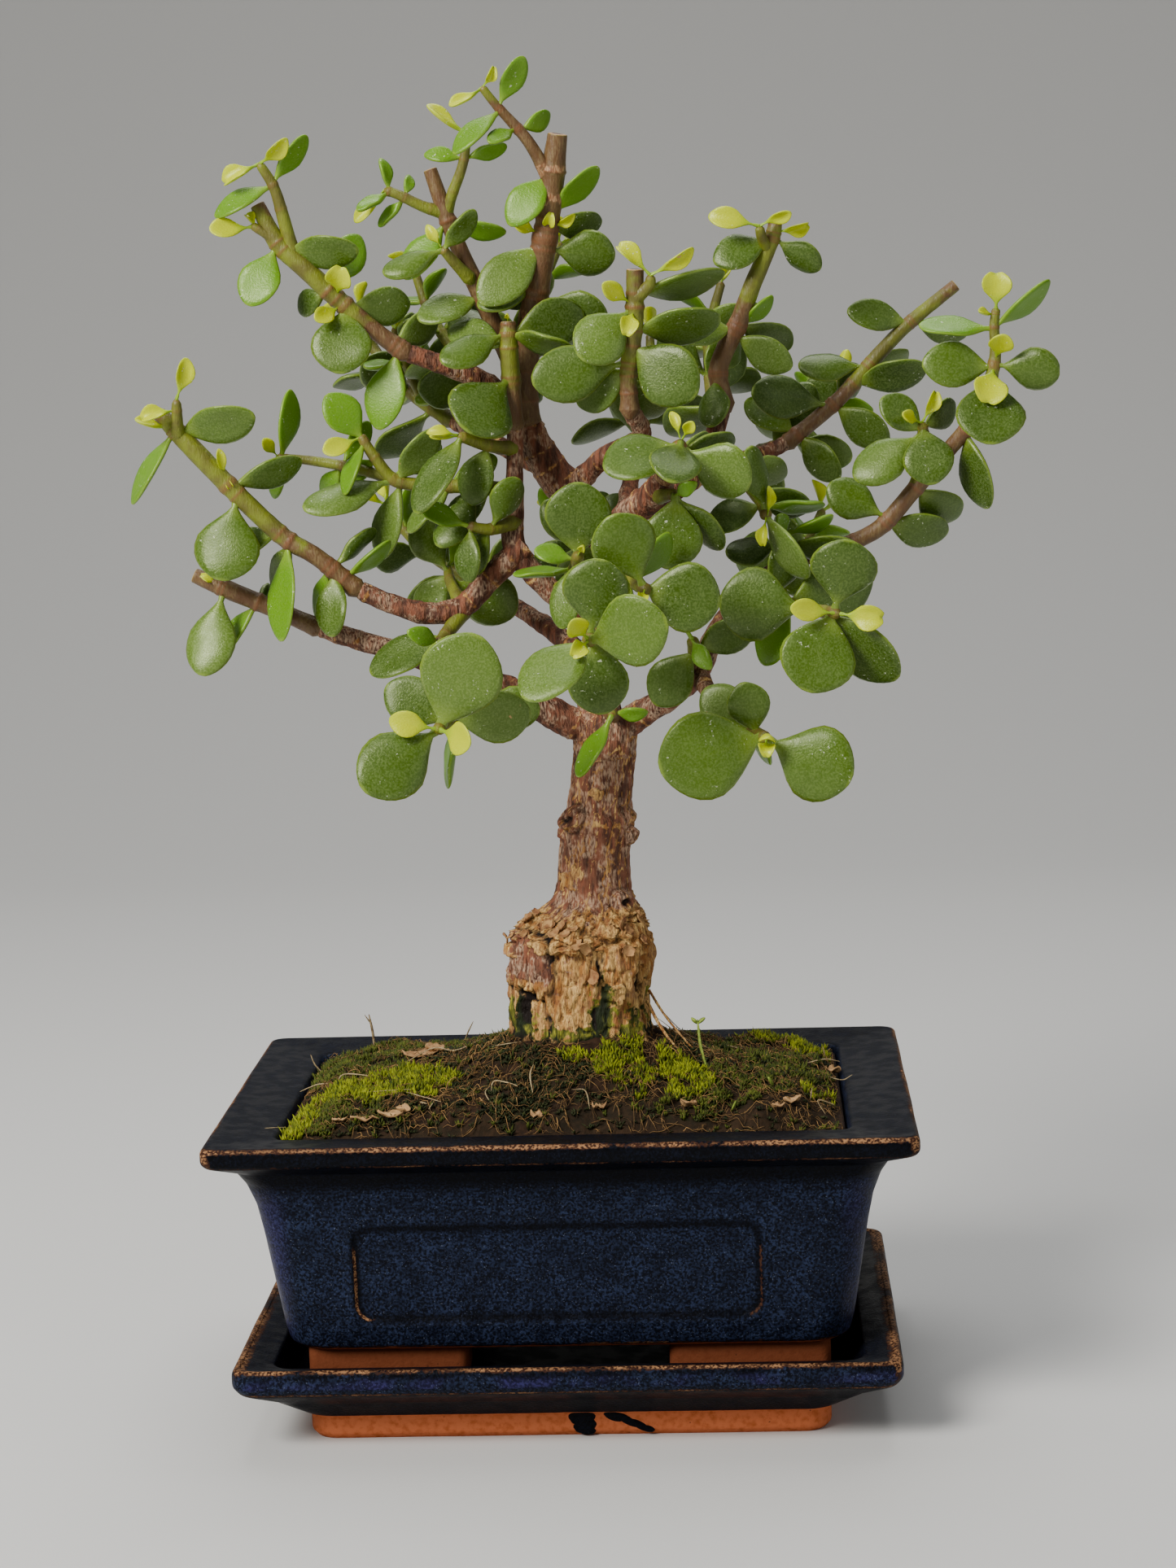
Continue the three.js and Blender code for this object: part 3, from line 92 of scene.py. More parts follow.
# The tables read name: points | leaves; with a comma between two points or leaves.
# Boughs of old wood: points of the route as x, y, z and radius
BOUGH_ROWS = """
low_left: 9 0 146 4.6, 2 -1 149 3.9, -8 -3 155 3.3, -17 -4 159 2.8, -31 -4 164.5 2.3, -45 -5 169 2.1, -52 -5 171.5
 1.9;
leader: 10 0 140 6.3, 9 1 150 5, 9 4 162 4.2, 12 7 174 3.8, 12 9 186 3.8, 5 10 196 4.3, -2 9 206 3.9, -6 7 215 2.9;
inner_left: 11 5 169 3.2, 5 2 173 2.7, -1 -1 178 2.5, -8 -3 187 2.7, -8 -3 197 2.1, -7.5 -3 208 1.8, -7.5 -3 214 1.7;
left: -6 -3 188 2.8, -13 -4 182 2.6, -20 -5 175 2.6, -28 -6 174 2.3, -36 -6 176.5 2.1, -43 -7 180 2;
right: 11 0 146 4.8, 17 -1 149.5 3.6, 24 -4 154 3, 31 -8 160.5 2.7, 36 -8 170 2, 43 -7 178 1.8, 52 -6 183 1.7, 63 -6
 186 1.7;
low_right_twig: 31 -8 160 2, 33.5 -16 156 1.8, 38 -26 151.5 1.5, 42 -33 149.5 1.3;
knuckle: 12 8 182 3.2, 13 0 188 3.2, 17 -9 194 3.4, 23 -16 199 3.3, 25 -19 203 2.5;
knuckle_rear: 18 -9 195 2.5, 27 -4 199 2.2, 34 2 207 2.1, 38 4 217 2;
centre_twig: 3 10 198 2.5, 11 4 206 2.2, 20 -8 211 2, 18 -15 217 1.8;
upper_left: -4 8 212 2.8, -12 4 222 2.2, -22 0 227 2, -31 -2 230.5 1.9;
rear_left: -1 9 204 2.5, -12 18 209 2, -24 26 215 1.7;
rear: 12 9 184 2.6, 15 22 193 2.2, 17 34 204 1.8;
rear_right: 27 -4 199 2.1, 36 12 203 2, 46 18 205.5 1.9, 52 20 208 1.7;
low_rear_left: 9 4 160 2.6, -2 14 168 2.1, -14 24 175 1.7;
low_rear_right: 22 -3 153 2.5, 31 10 161 2, 40 22 168 1.7
"""
# Leafy shoots: points, then leaves as kind, share along the stem, bearing clockwise from up, lean to the front,
# length, turn of the face and, where it is not the usual one for the kind, width as a share of the length
SHOOT_ROWS = """
spray_front_left: -14 -4 157.5 1.7, -16.5 -14 155.5 1.5, -20 -30 154 1.4, -22.8 -44 152.8 1.2 | m .95 24 12 21 0 .84,
 m .93 234 20 20.5 8 .72, m .8 300 -8 14.5 8 .72, m .75 88 -5 16 5 .72, m .45 97 -10 14 10 .75, f .72 182 0 14 75 .62,
 y .98 284 20 9.5 0 .7, y .98 103 42 11 0 .8;
spray_front_centre: 9 0 166 1.7, 9 -16 168.5 1.5, 9.5 -38 170.5 1.4, 9.6 -54 171.5 1.2 | m .96 230 25 18 40 .75, m .97
 76 30 18 0 .84, m .82 8 5 16 0 .88, m .74 172 5 15 0 .86, m .7 214 -15 10 20 .6, y .98 325 40 8 0 .8, y .98 250 40 6
 10 .7;
spray_low_right: 42 -33 149.5 1.3, 44 -38 149.2 1.3, 45.2 -42 149 1.2 | m .75 256 12 22 0 .85, m .8 116 14 19.5 0 .84,
 m .3 346 12 11 0 .84, m .1 312 -15 13 5 .75, y .98 5 65 5 0 .9, y .98 185 60 4.5 0 .9, f .5 160 -50 9 60;
spray_right_round: 43 -8 178 1.5, 47 -15 176 1.4, 54 -25 174.5 1.3, 61 -35 174 1.2 | m .95 12 15 15.5 0 .92, m .93 200
 18 17 0 .95, m .86 136 4 20 40 .72, m .72 276 -5 18.5 0 .86, f .55 210 -10 14 35 .65, m .5 76 -20 20 10 .72, y .98
 277 15 10 8 .6, y .98 98 15 9.5 5 .66, m .35 20 -5 13 30;
spray_front_upper: 13.5 -4 189 1.6, 16 -18 183 1.5, 19 -32 181 1.3, 21 -41 180.5 1.2 | m .95 338 12 16.5 0 .84, m .9
 102 5 15.5 0 .96, m .55 215 0 13 20 .7, f .6 40 10 12 40, y .97 200 60 5 0;
spray_front_inner: .5 -1 177.5 1.5, 3.5 -7 180.5 1.3, 5.5 -16 184 1.3, 6.5 -24 187 1.2 | m .9 3 10 15.5 0 .92, f .85
 280 0 8.5 35 .62, m .8 194 12 14 30 .6, f .6 262 10 12.5 75 .5, y .98 30 40 4 0;
spray_low_centre_right: 31.5 -8 161.5 1.5, 30.5 -13 165 1.4, 30 -18 168 1.2 | m .5 65 12 13.5 20 .66, m .55 218 0 14
 15 .75, f .97 330 0 12 30, f .97 150 45 8 20;
spray_fork: 12 -4.5 150.5 1.4, 12.5 -8.5 152 1.1, 12 -12 151 1 | f .95 207 10 14.5 58 .55, f .7 95 20 7 30;
spray_knuckle: 25.5 -20 203 1.9, 27.5 -25 206 1.8, 29 -29 210.5 1.5 | m .9 254 12 16 38 .78, m .95 196 62 14 0 .8, m
 .85 120 10 16 22 .8, m .7 80 -30 13 40 .7, y .98 345 0 5.5 10 .5, y .98 22 15 5 0 .7, m .3 60 -45 13 30;
spray_knuckle_hanging: 24 -19.5 198.5 1.3, 26 -22.5 199 1.2, 27.5 -25 199 1.1 | m .95 186 14 15 0 .88, m .8 140 0 15
 45 .62, f .95 60 50 6 0;
spray_right_inner: 34 2 207 1.3, 40 -5 203 1.3, 45 -14 197 1.2, 46.5 -20 193.5 1.1 | m .95 150 12 15.5 52 .6, m .93
 348 12 14.5 48 .62, f .8 86 -20 13 62 .5, m .55 128 5 13 30 .62, m .5 300 20 12 30, y .98 192 25 6 20 .5, y .98 14 20
 5.5 30 .45, m .3 100 -30 13 30, m .75 250 -10 12 30;
spray_right_lower_inner: 50 -6 182 1.4, 50 -10 186 1.3, 51 -12 190 1.2 | m .6 95 -5 15 45 .62, m .6 265 10 12 40, f
 .95 75 20 10 60, f .95 330 30 7 20;
spray_upper_centre: 18 -15 217 1.7, 18 -16 225 1.7, 19.5 -17 235 1.8, 20 -18 246 1.7 | m .78 228 18 15.5 5 .76, m .62
 84 -5 17.5 45 .66, m .52 130 20 17 8 .8, m .4 261 5 20 5 .62, m .36 236 -25 14 10 .66, m .3 150 -25 14 15, y .78 305
 25 8.5 0 .6, y .77 200 45 7 0 .65, m .86 82 -15 19 62 .62, m .15 60 -30 14 30;
spray_upper_centre: 20.3 -18 240.5 1.2, 23 -19 243 1.1, 23.2 -20 245 .9 | y .98 318 5 9 30 .5, y .98 66 5 10 35 .42;
spray_top: -6 7 215 2.9, -5 5 228 2.7, -2 2 243 2.6, 1 0 258 2.4, 2.5 -1 268 2.4, 3.7 -2 275.5 2 | f .8 222 15 13.5 18
 .62, f .6 36 5 14 45 .5, y .57 75 20 5 30, y .55 290 20 6.5 5 .6, y .54 20 30 5 5 .6, m .53 228 18 18 12 .58, m .51
 97 -5 14 10 .74, m .57 84 -30 12 30 .6, m .4 250 20 14 40, m .38 110 5 15 30, m .26 60 -20 14 30;
spray_top: 2 -1 266 1.4, -2 -3 273.5 1.2, -5.5 -4 278 1.1, -9 -5 282 .9, -12 -6 286 .8 | f .72 27 5 11.5 30 .5, f .68
 232 12 13.5 48 .5, f .45 236 35 8 30 .55, f .42 66 -25 8 30 .6, y .98 234 5 7.5 35 .5, y .98 55 10 5 30 .5;
spray_cut_stub: -6 6 222 1.9, -13 3 239 1.8, -17.5 1 250 1.7, -20.5 0 258 1.7, -24 0 269 1.4 | f .76 216 10 15 28 .55,
 f .75 106 0 11.5 45 .5, m .3 252 20 14 38 .62, m .28 75 10 12 30, m .14 300 -20 13 30;
spray_cut_stub: -21.5 0 260 1.2, -26 -1 261.5 1.1, -30.5 -2 263.8 1, -34 -2 265.2 .9 | f .9 356 10 6.5 50 .5, f .88
 234 20 8 45 .5, y .98 222 -10 9 20 .45, f .6 220 -20 8 45 .45, f .6 18 -20 5 30;
spray_cut_stub: -21 0 259 1.2, -19.5 -1 263.5 1.1, -16.8 -2 270 1, -15.3 -3 277 .8 | y .97 298 0 10 60 .5, f .72 282 5
 8 30 .5, f .72 70 -10 9 40 .5;
spray_cut_stub: -16.5 0 246 1.2, -19.5 -3 249.5 1.1, -21.8 -5 252.5 .9 | m .9 250 10 13.5 38 .55, m .92 42 10 10.5 38
 .55, y .97 328 20 5 0 .6;
spray_centre_stub: -7.5 -3 214 1.7, -7.8 -4 224 1.9, -8 -5 231 1.9, -8 -5 236 1.5 | m .85 248 22 15.5 32 .58, m .83
 103 20 14 55 .6, m .8 75 -30 16.5 5 .66, m .35 222 34 18 3 .86, m .3 195 -5 14 20 .7, m .65 290 -20 14 30 .6, y .98 0
 30 2.5 0;
spray_upper_left: -31 -2 230.5 1.8, -38 -3 236 1.8, -44.5 -4 242 1.9, -51 -5 248.5 2, -57 -5 254.5 1.9, -61 -5 262.5
 1.5 | m .75 92 20 15.5 30 .56, f .8 205 12 14 12 .68, f .47 32 -25 14 20 .58, m .36 184 22 14.5 0 .92, m .35 98 -15
 13.5 12 .66, y .37 226 30 8 5 .66, y .41 18 45 8 0 .82, m .46 245 -30 9 20, f .03 197 10 17 18 .56, m .06 40 -25 13
 30 .6;
spray_upper_left: -54 -5 253 1.3, -55.5 -6 260 1.3, -57 -7 266 1.1, -60 -8 271.5 .9 | f .7 248 5 13.5 48 .5, f .72 34
 -5 12 50 .5, y .98 248 5 8.5 35 .55, y .98 62 10 8.5 40 .55;
spray_upper_left: -56 -5 254 1, -59.5 -6 256.5 .9, -62.5 -6 258.5 .8 | y .9 262 10 9 20 .66, y .75 310 -10 4 30;
spray_left: -43 -7 180 1.8, -51 -8 187 1.8, -58 -8 191.5 1.9, -67.5 -9 201 1.9, -76 -10 210.5 2, -80 -10 215 1.9,
 -83.5 -10 218.8 1.5 | f .05 58 5 12 60 .5, m .1 50 -20 12 55 .5, m .09 182 15 13.5 25 .62, f .12 190 -25 13 50 .5, f
 .31 187 10 21 50 .5, m .3 205 -35 14 40 .5, m .35 255 -30 14 30 .5, m .5 192 15 18 5 .82, y .5 330 30 3 0, m .53 74
 -12 15.5 35 .5, y .54 348 5 7 20 .4, m .82 79 20 18 30 .56, f .84 217 0 17.5 62 .5, y .86 278 20 7.5 40 .45;
spray_left: -79.5 -11 214.5 1.2, -79.2 -13 218 1.1, -79 -14 222 .9 | y .7 262 20 7.5 30 .55, y .97 22 10 8.5 30 .6;
spray_low_left: -52 -5 171.5 1.7, -64 -5 177 1.8, -71.5 -6 180.5 1.9, -78 -6 183.5 1.5 | m .68 194 20 19 12 .6, y .72
 310 30 4 20, f .35 222 -10 14 55 .5, m .36 60 -40 13 40;
spray_inner_low_left: -20 -5 174 1.6, -23 -9 170 1.4, -25 -13 167.5 1.2 | m .6 245 -5 17.5 42 .6, m .95 130 35 13 20
 .7, f .9 300 45 8 20, y .98 200 50 5 0;
spray_inner_left: -8 -3 200 1.5, -18 -2 201 1.4, -27 -2 201.5 1.4, -34 -3 203 1.3, -38 -4 208 1.2, -41 -4 213 .9 | f
 .95 325 8 12 22 .72, y .98 245 12 8.5 15 .66, f .93 222 25 12 55 .5, f .8 250 -20 9 30, m .6 254 28 20.5 45 .5, m .58
 40 15 14 35 .6, m .55 200 -5 17 35 .5, f .62 55 -30 13 30 .5, m .28 224 15 13 50 .5, f .3 60 -35 13 30, m .14 234 18
 15.5 28 .58, m .1 230 -15 14 25 .55;
spray_inner_left: -33 -3 202.5 1.1, -42 -2 205.5 1.1, -52 -1 207.5 1, -60 -1 208.5 .8 | f .95 14 0 14.5 58 .5, y .97
 338 20 5.5 10 .65, f .9 205 -5 9 30 .5, f .45 30 -25 11 30 .5, f .45 215 -30 11 30;
spray_inner_node: -8 -3.5 209 1.4, -13 -8 210 1.3, -19 -13 212.5 1.1 | m .93 212 18 19 38 .5, y .98 285 20 6 30 .5, y
 .98 262 20 5.5 30 .5, m .5 200 -10 13 20;
spray_inner_hanging: -8.5 -5 193 1.3, -13 -9 192 1.2, -18 -11 193 1 | m .9 186 12 11.5 30 .6, m .5 30 5 12 30, f .95
 290 10 11 40 .55, m .5 215 -20 12 20;
spray_left_bough: -21 -3.5 177 1.2, -23 2 180 1.1, -24 7 183 .9 | m .8 330 5 13 20, m .8 215 -10 12 20, f .97 30 0 12
 30, m .6 120 -10 16 10 .8;
spray_right: 63 -6 186 1.6, 71 -6 190 1.7, 78 -7 197.5 1.7, 85.5 -9 206 1.6, 92.5 -12 215 1.5, 95.5 -12 225 1.2, 95.5
 -12 232 1, 96 -12 236 .8 | m .66 185 16 15.5 0 .96, m .5 168 0 16.5 52 .6, y .71 14 38 8 0 .85, y .7 196 42 10 0 .84,
 m .69 276 10 14.5 12 .7, m .7 98 12 13.5 10 .7, f .85 270 5 15.5 55 .5, f .86 56 0 14.5 56 .5, y .95 268 10 3.5 30, y
 .97 3 10 8 0 .9, m .3 130 -35 14 20, m .18 300 0 14 20, m .16 100 -20 14 30;
spray_right: 78.5 -7 198 1.3, 80.5 -9 206 1.2, 80 -11 212.5 1 | m .92 172 24 12.5 0 .88, m .8 230 12 17 28 .62, m .82
 310 5 11 18 .72, m .9 60 -30 10 30, y .98 262 10 6.5 18 .55, y .98 28 15 7 20 .5;
spray_upper_right: 38 4 217 1.8, 37 4 225 2, 41.5 4 234.5 1.9, 44.5 3 242 1.8, 49 2 252 1.6, 50 2 256 1.4 | m .8 252
 15 12.5 25 .68, m .82 125 0 11.5 25 .62, y .86 84 10 7 30 .5, m .35 123 10 13.5 22 .62, f .38 48 5 9 45 .5, m .37 270
 25 16 35 .62, m .4 118 -35 15 20 .6, m .18 190 25 12 30, m .16 20 -40 12 40;
spray_upper_right: 48 2 250 1.1, 46.8 -1 253 1, 46.5 -2 255 .9 | y .98 285 10 10.5 12 .55, y .98 62 10 7 25 .55;
spray_right_cut: 52 20 208 1.6, 61 20 215 1.6, 66 20 219.7 1.6, 74 20 228.4 1.5, 80 20 234 1.4, 89.5 20 241.3 1.3 | m
 .78 283 12 13.5 18 .55, m .8 110 -15 12.5 38 .55, m .5 273 5 14.5 38 .58, m .42 78 15 16 35 .58, m .24 128 5 14 18
 .62, m .22 283 18 18 12 .56, m .05 140 15 13 22 .62, m .04 300 -10 13 30, m .25 40 -40 12 30, m .52 90 -50 12 30
"""
# Shoots at the back, in opposite pairs of leaves, each pair turned a quarter from the last: points, then the number
# of pairs, the turn of the first pair and the length of the first and of the last leaves
PAIRED_ROWS = """
spray_rear_left: -24 26 215 1.6, -33 33 221 1.4, -41 38 230 1.2, -46 40 240 .9 | 5 20 17 9;
spray_rear_left: -30 31 219 1.1, -33 24 227 1, -35 18 236 .8 | 3 60 14 8;
spray_rear: 17 34 204 1.7, 19 43 212 1.5, 21 50 222 1.3, 21 54 233 .9 | 5 0 17 9;
spray_rear: 18.5 42 211 1.2, 11 46 219 1, 5 48 228 .8 | 3 40 14 8;
spray_rear_right: 46 20 206 1.4, 52 32 208 1.3, 59 42 213 1.1, 64 48 221 .9 | 5 30 16 9;
spray_low_rear_left: -14 24 175 1.6, -24 32 180 1.4, -34 38 187 1.2, -41 41 196 .9 | 5 70 17 9;
spray_low_rear_right: 40 22 168 1.6, 48 30 174 1.4, 55 36 182 1.2, 60 39 192 .9 | 5 10 17 9;
spray_low_rear: 14 16 189 1.4, 8 27 186 1.3, 3 37 188 1.1, 0 44 194 .9 | 5 45 16 9;
spray_top_rear: -5 9 222 1.5, -5 20 231 1.4, -3 28 242 1.2, 2 32 254 .9 | 5 15 16 8;
spray_top_rear_left: -9 8.5 219 1.4, -19 18 227 1.3, -27 24 238 1.1, -31 27 249 .9 | 5 80 16 8;
spray_top_rear_right: 36 6 213 1.4, 35 18 222 1.3, 35 27 233 1.1, 38 32 244 .9 | 5 35 16 8
"""
# Nodes whose first shoot had its tip cut back
CUT_TIPS = {
    "spray_left", "spray_low_left", "spray_upper_left", "spray_cut_stub", "spray_top", "spray_centre_stub",
    "spray_upper_centre", "spray_upper_right", "spray_right_cut",
}

# Turns tried, in this order, on a leaf that would cross another piece: bearing and lean, in degrees
QUARTERS = ((1, 1), (-1, 1), (1, -1), (-1, -1))
TURNS = [(0, 0), (0, 8), (0, -8), (8, 0), (-8, 0), *((8 * a, 8 * b) for a, b in QUARTERS)]
for wide in (16, 26):
    TURNS += [(0, wide), (0, -wide), (wide, 0), (-wide, 0), *((wide * a, wide * b) for a, b in QUARTERS)]
TURNS += [(0, 40), (0, -40), (40, 0), (-40, 0)]
SHRINKS = (1, 0.85, 0.7)


def read_table(text: str) -> list[tuple[str, list[list], list[list]]]:
    """Reads a table of the plant.

    Args:
        text: Rows in the form given above the tables.

    Returns:
        Each row's name, points and leaves, with numbers for all but the kinds of leaf.
    """
    rows = []
    for row in text.split(";"):
        name, rest = row.split(":")
        parts = [[[cell if cell in "mfy" else float(cell) for cell in item.split()] for item in part.split(",")]
                 for part in rest.split("|")]
        rows.append((name.strip(), parts[0], parts[-1]))
    return rows


# Numbers: noise and steps


def smooth_step(value: Array, low: float, high: float) -> Array:
    """Rises smoothly from 0 at low to 1 at high, which may lie below low."""
    t = np.clip((value - low) / (high - low), 0, 1)
    return t * t * (3 - 2 * t)


def hump(value: Array, middle: float, wide: float) -> Array:
    """A smooth hump of height 1 at the middle, that has sunk to about a third at wide from it."""
    return np.exp(-(((value - middle) / wide) ** 2))


def unit(vector: Array) -> Array:
    """The same direction, one long."""
    return vector / np.linalg.norm(vector)


def lattice(cells: Array, seed: int) -> Array:
    """Gives each cell of a grid its own fixed number from 0 to 1.

    Args:
        cells: Whole-numbered places, one row each.
        seed: Which set of numbers.

    Returns:
        One number for each row.
    """
    mixed = cells[..., 0] * 374761393 + cells[..., 1] * 668265263 + cells[..., 2] * 974634777 + seed * 69069
    mixed = (mixed ^ (mixed >> 13)) * 1274126177 & 0xFFFFFFFF
    return ((mixed ^ (mixed >> 16)) & 0xFFFF) / 65535.0


def soft_noise(points: Array, size: float | Sequence[float], seed: int = 0, octaves: int = 1) -> Array:
    """Smooth noise about 0.

    Args:
        points: Places, one row each.
        size: Length of a bump, or one for each axis, in the units of the points.
        seed: Which noise.
        octaves: How many finer layers are added, each half as strong.

    Returns:
        One number for each row, from -1 to 1.
    """
    total, share = np.zeros(points.shape[:-1]), 1.0
    scaled = points / np.asarray(size, float)
    for layer in range(octaves):
        place = scaled * 2**layer + 13.7 * layer
        cell = np.floor(place).astype(np.int64)
        part = place - cell
        part = part * part * (3 - 2 * part)
        value = np.zeros(points.shape[:-1])
        for corner in np.ndindex(2, 2, 2):
            weight = np.prod(np.where(np.array(corner) == 1, part, 1 - part), axis=-1)
            value += weight * lattice(cell + np.array(corner), seed + layer)
        total += share * (value * 2 - 1)
        share *= 0.5
    return total


def cell_noise(points: Array, size: Sequence[float], seed: int) -> tuple[Array, Array]:
    """Breaks space into irregular cells, as flakes of bark are.

    Args:
        points: Places, one row each.
        size: Size of a cell along each axis.
        seed: Which cells.

    Returns:
        The distance to the nearest cell border, as a share of a cell, and each cell's own number from 0 to 1.
    """
    place = points / np.array(size)
    cell = np.floor(place).astype(np.int64)
    best, second, own = (np.full(points.shape[:-1], start) for start in (9.0, 9.0, 0.0))
    for offset in np.ndindex(3, 3, 3):
        near = cell + np.array(offset) - 1
        jitter = np.stack([lattice(near, seed + k) for k in range(3)], -1)
        away = np.linalg.norm(near + jitter - place, axis=-1)
        closer = away < best
        second = np.where(closer, best, np.minimum(second, away))
        own = np.where(closer, lattice(near, seed + 3), own)
        best = np.where(closer, away, best)
    return second - best, own


# Meshes


def grid_faces(index: Array) -> list[tuple[int, ...]]:
    """Four-sided faces of a sheet of points whose vertex numbers are given by column and row."""
    return list(map(tuple, np.stack([index[:-1, :-1], index[1:, :-1], index[1:, 1:], index[:-1, 1:]], -1).reshape(-1, 4)))


def border_of(index: Array) -> Array:
    """Vertex numbers once round the border of such a sheet, in the direction of its faces."""
    return np.concatenate([index[:-1, 0], index[-1, :-1], index[:0:-1, -1], index[0, :0:-1]])


def slab_faces(columns: int, rows: int, first: int = 0) -> list[tuple[int, ...]]:
    """Faces of a thin slab between two sheets of points.

    Args:
        columns: Points along a sheet.
        rows: Points across a sheet.
        first: Number of the lower sheet's first point. The upper sheet follows the lower.

    Returns:
        The faces of both sheets and of the rim.
    """
    low = first + np.arange(columns * rows).reshape(columns, rows)
    high = low + columns * rows
    under, over = border_of(low), border_of(high)
    rim = zip(under, np.roll(under, -1), np.roll(over, -1), over)
    return [*grid_faces(high), *(face[::-1] for face in grid_faces(low)), *rim]


def slab_grid() -> tuple[Array, Array]:
    """Places from -1 to 1 along and across a thin slab, by column and row."""
    return np.meshgrid(np.linspace(-1, 1, 9), np.linspace(-1, 1, 7), indexing="ij")


def ring_faces(rings: int, columns: int) -> list[tuple[int, ...]]:
    """Faces that join closed rings of points, with both ends closed by a fan to a middle point.

    Args:
        rings: How many rings, from the first end to the last.
        columns: Points in a ring. The two middle points follow the last ring.

    Returns:
        Faces turned outwards for rings that run anticlockwise seen from the last end.
    """
    faces = []
    for r in range(rings - 1):
        for i in range(columns):
            a, b = r * columns + i, r * columns + (i + 1) % columns
            faces.append((a, b, b + columns, a + columns))
    end, last = rings * columns + 1, (rings - 1) * columns
    for i in range(columns):
        j = (i + 1) % columns
        faces += [(end - 1, j, i), (end, last + i, last + j)]
    return faces


def stack_rings(flats: Iterable[Array], heights: Iterable[float]) -> tuple[Array, list[tuple[int, ...]]]:
    """Points and faces of a closed body whose sections lie flat at rising heights about the middle."""
    rings = [np.column_stack([flat, np.full(len(flat), z)]) for flat, z in zip(flats, heights)]
    middles = [[*ring[:, :2].mean(0).round(6), ring[0, 2]] for ring in (rings[0], rings[-1])]
    return np.concatenate([*rings, middles]), ring_faces(len(rings), len(rings[0]))


def link(made: Object) -> Object:
    """Puts an object into the scene."""
    bpy.context.scene.collection.objects.link(made)
    return made


def make_object(
    name: str, points: Array, faces: Sequence[Sequence[int]] = (), materials: Sequence[Material] = (),
    marks: Marks | None = None, edges: Sequence[tuple[int, int]] = (),
) -> Object:
    """Makes an object at the origin from points in metres.

    Args:
        name: The object's name.
        points: One row for each vertex.
        faces: Vertex numbers of each face.
        materials: Its finishes.
        marks: Named numbers or vectors kept on the vertices, for materials and node trees.
        edges: Loose edges, for a line.

    Returns:
        The new object, linked to the scene.
    """
    mesh = bpy.data.meshes.new(name)
    mesh.from_pydata([tuple(p) for p in points], list(edges), [tuple(f) for f in faces])
    for key, values in (marks or {}).items():
        values = np.asarray(values)
        kind, slot = ("FLOAT_VECTOR", "vector") if values.ndim == 2 else (("INT" if values.dtype == int else "FLOAT"), "value")
        mesh.attributes.new(key, kind, "POINT").data.foreach_set(slot, values.ravel())
    for material in materials:
        mesh.materials.append(material)
    if len(faces):
        mesh.shade_smooth()
    return link(bpy.data.objects.new(name, mesh))


def baked_mesh(source: Object) -> bpy.types.Mesh:
    """An object's mesh with its modifiers worked in."""
    graph = bpy.context.evaluated_depsgraph_get()
    return bpy.data.meshes.new_from_object(source.evaluated_get(graph), preserve_all_data_layers=True, depsgraph=graph)


def join_pieces(pieces: Sequence[Object]) -> Object:
    """Joins objects into the first of them, which is given back."""
    with bpy.context.temp_override(active_object=pieces[0], selected_editable_objects=list(pieces)):
        bpy.ops.object.join()
    return pieces[0]


def make_collection(name: str, members: Iterable[Object]) -> bpy.types.Collection:
    """Moves objects out of the scene into a collection of their own."""
    kept = bpy.data.collections.new(name)
    for member in members:
        bpy.context.scene.collection.objects.unlink(member)
        kept.objects.link(member)
    return kept


def drop_collection(kept: bpy.types.Collection) -> None:
    """Takes away a collection and its objects once nothing grows from them."""
    for member in list(kept.objects):
        bpy.data.objects.remove(member)
    bpy.data.collections.remove(kept)


class Slot(str, Enum):
    """The record's material slots."""

    GLAZE = "glaze"
    SOIL = "moss_and_soil"
    BARK = "bark"
    LEAF = "leaf"


def finish_piece(piece: Object, slot: Slot, *nodes: str) -> None:
    """Puts a finished piece on the one body and says what it stands for.

    Args:
        piece: The finished object.
        slot: The record's material slot.
        *nodes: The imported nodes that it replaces.
    """
    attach(piece, "root")
    if nodes:
        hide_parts(*nodes)
    LOG.info("%s: %d faces, slot %s, for %d nodes", piece.name, len(piece.data.polygons), slot.value, len(nodes))


# Node trees


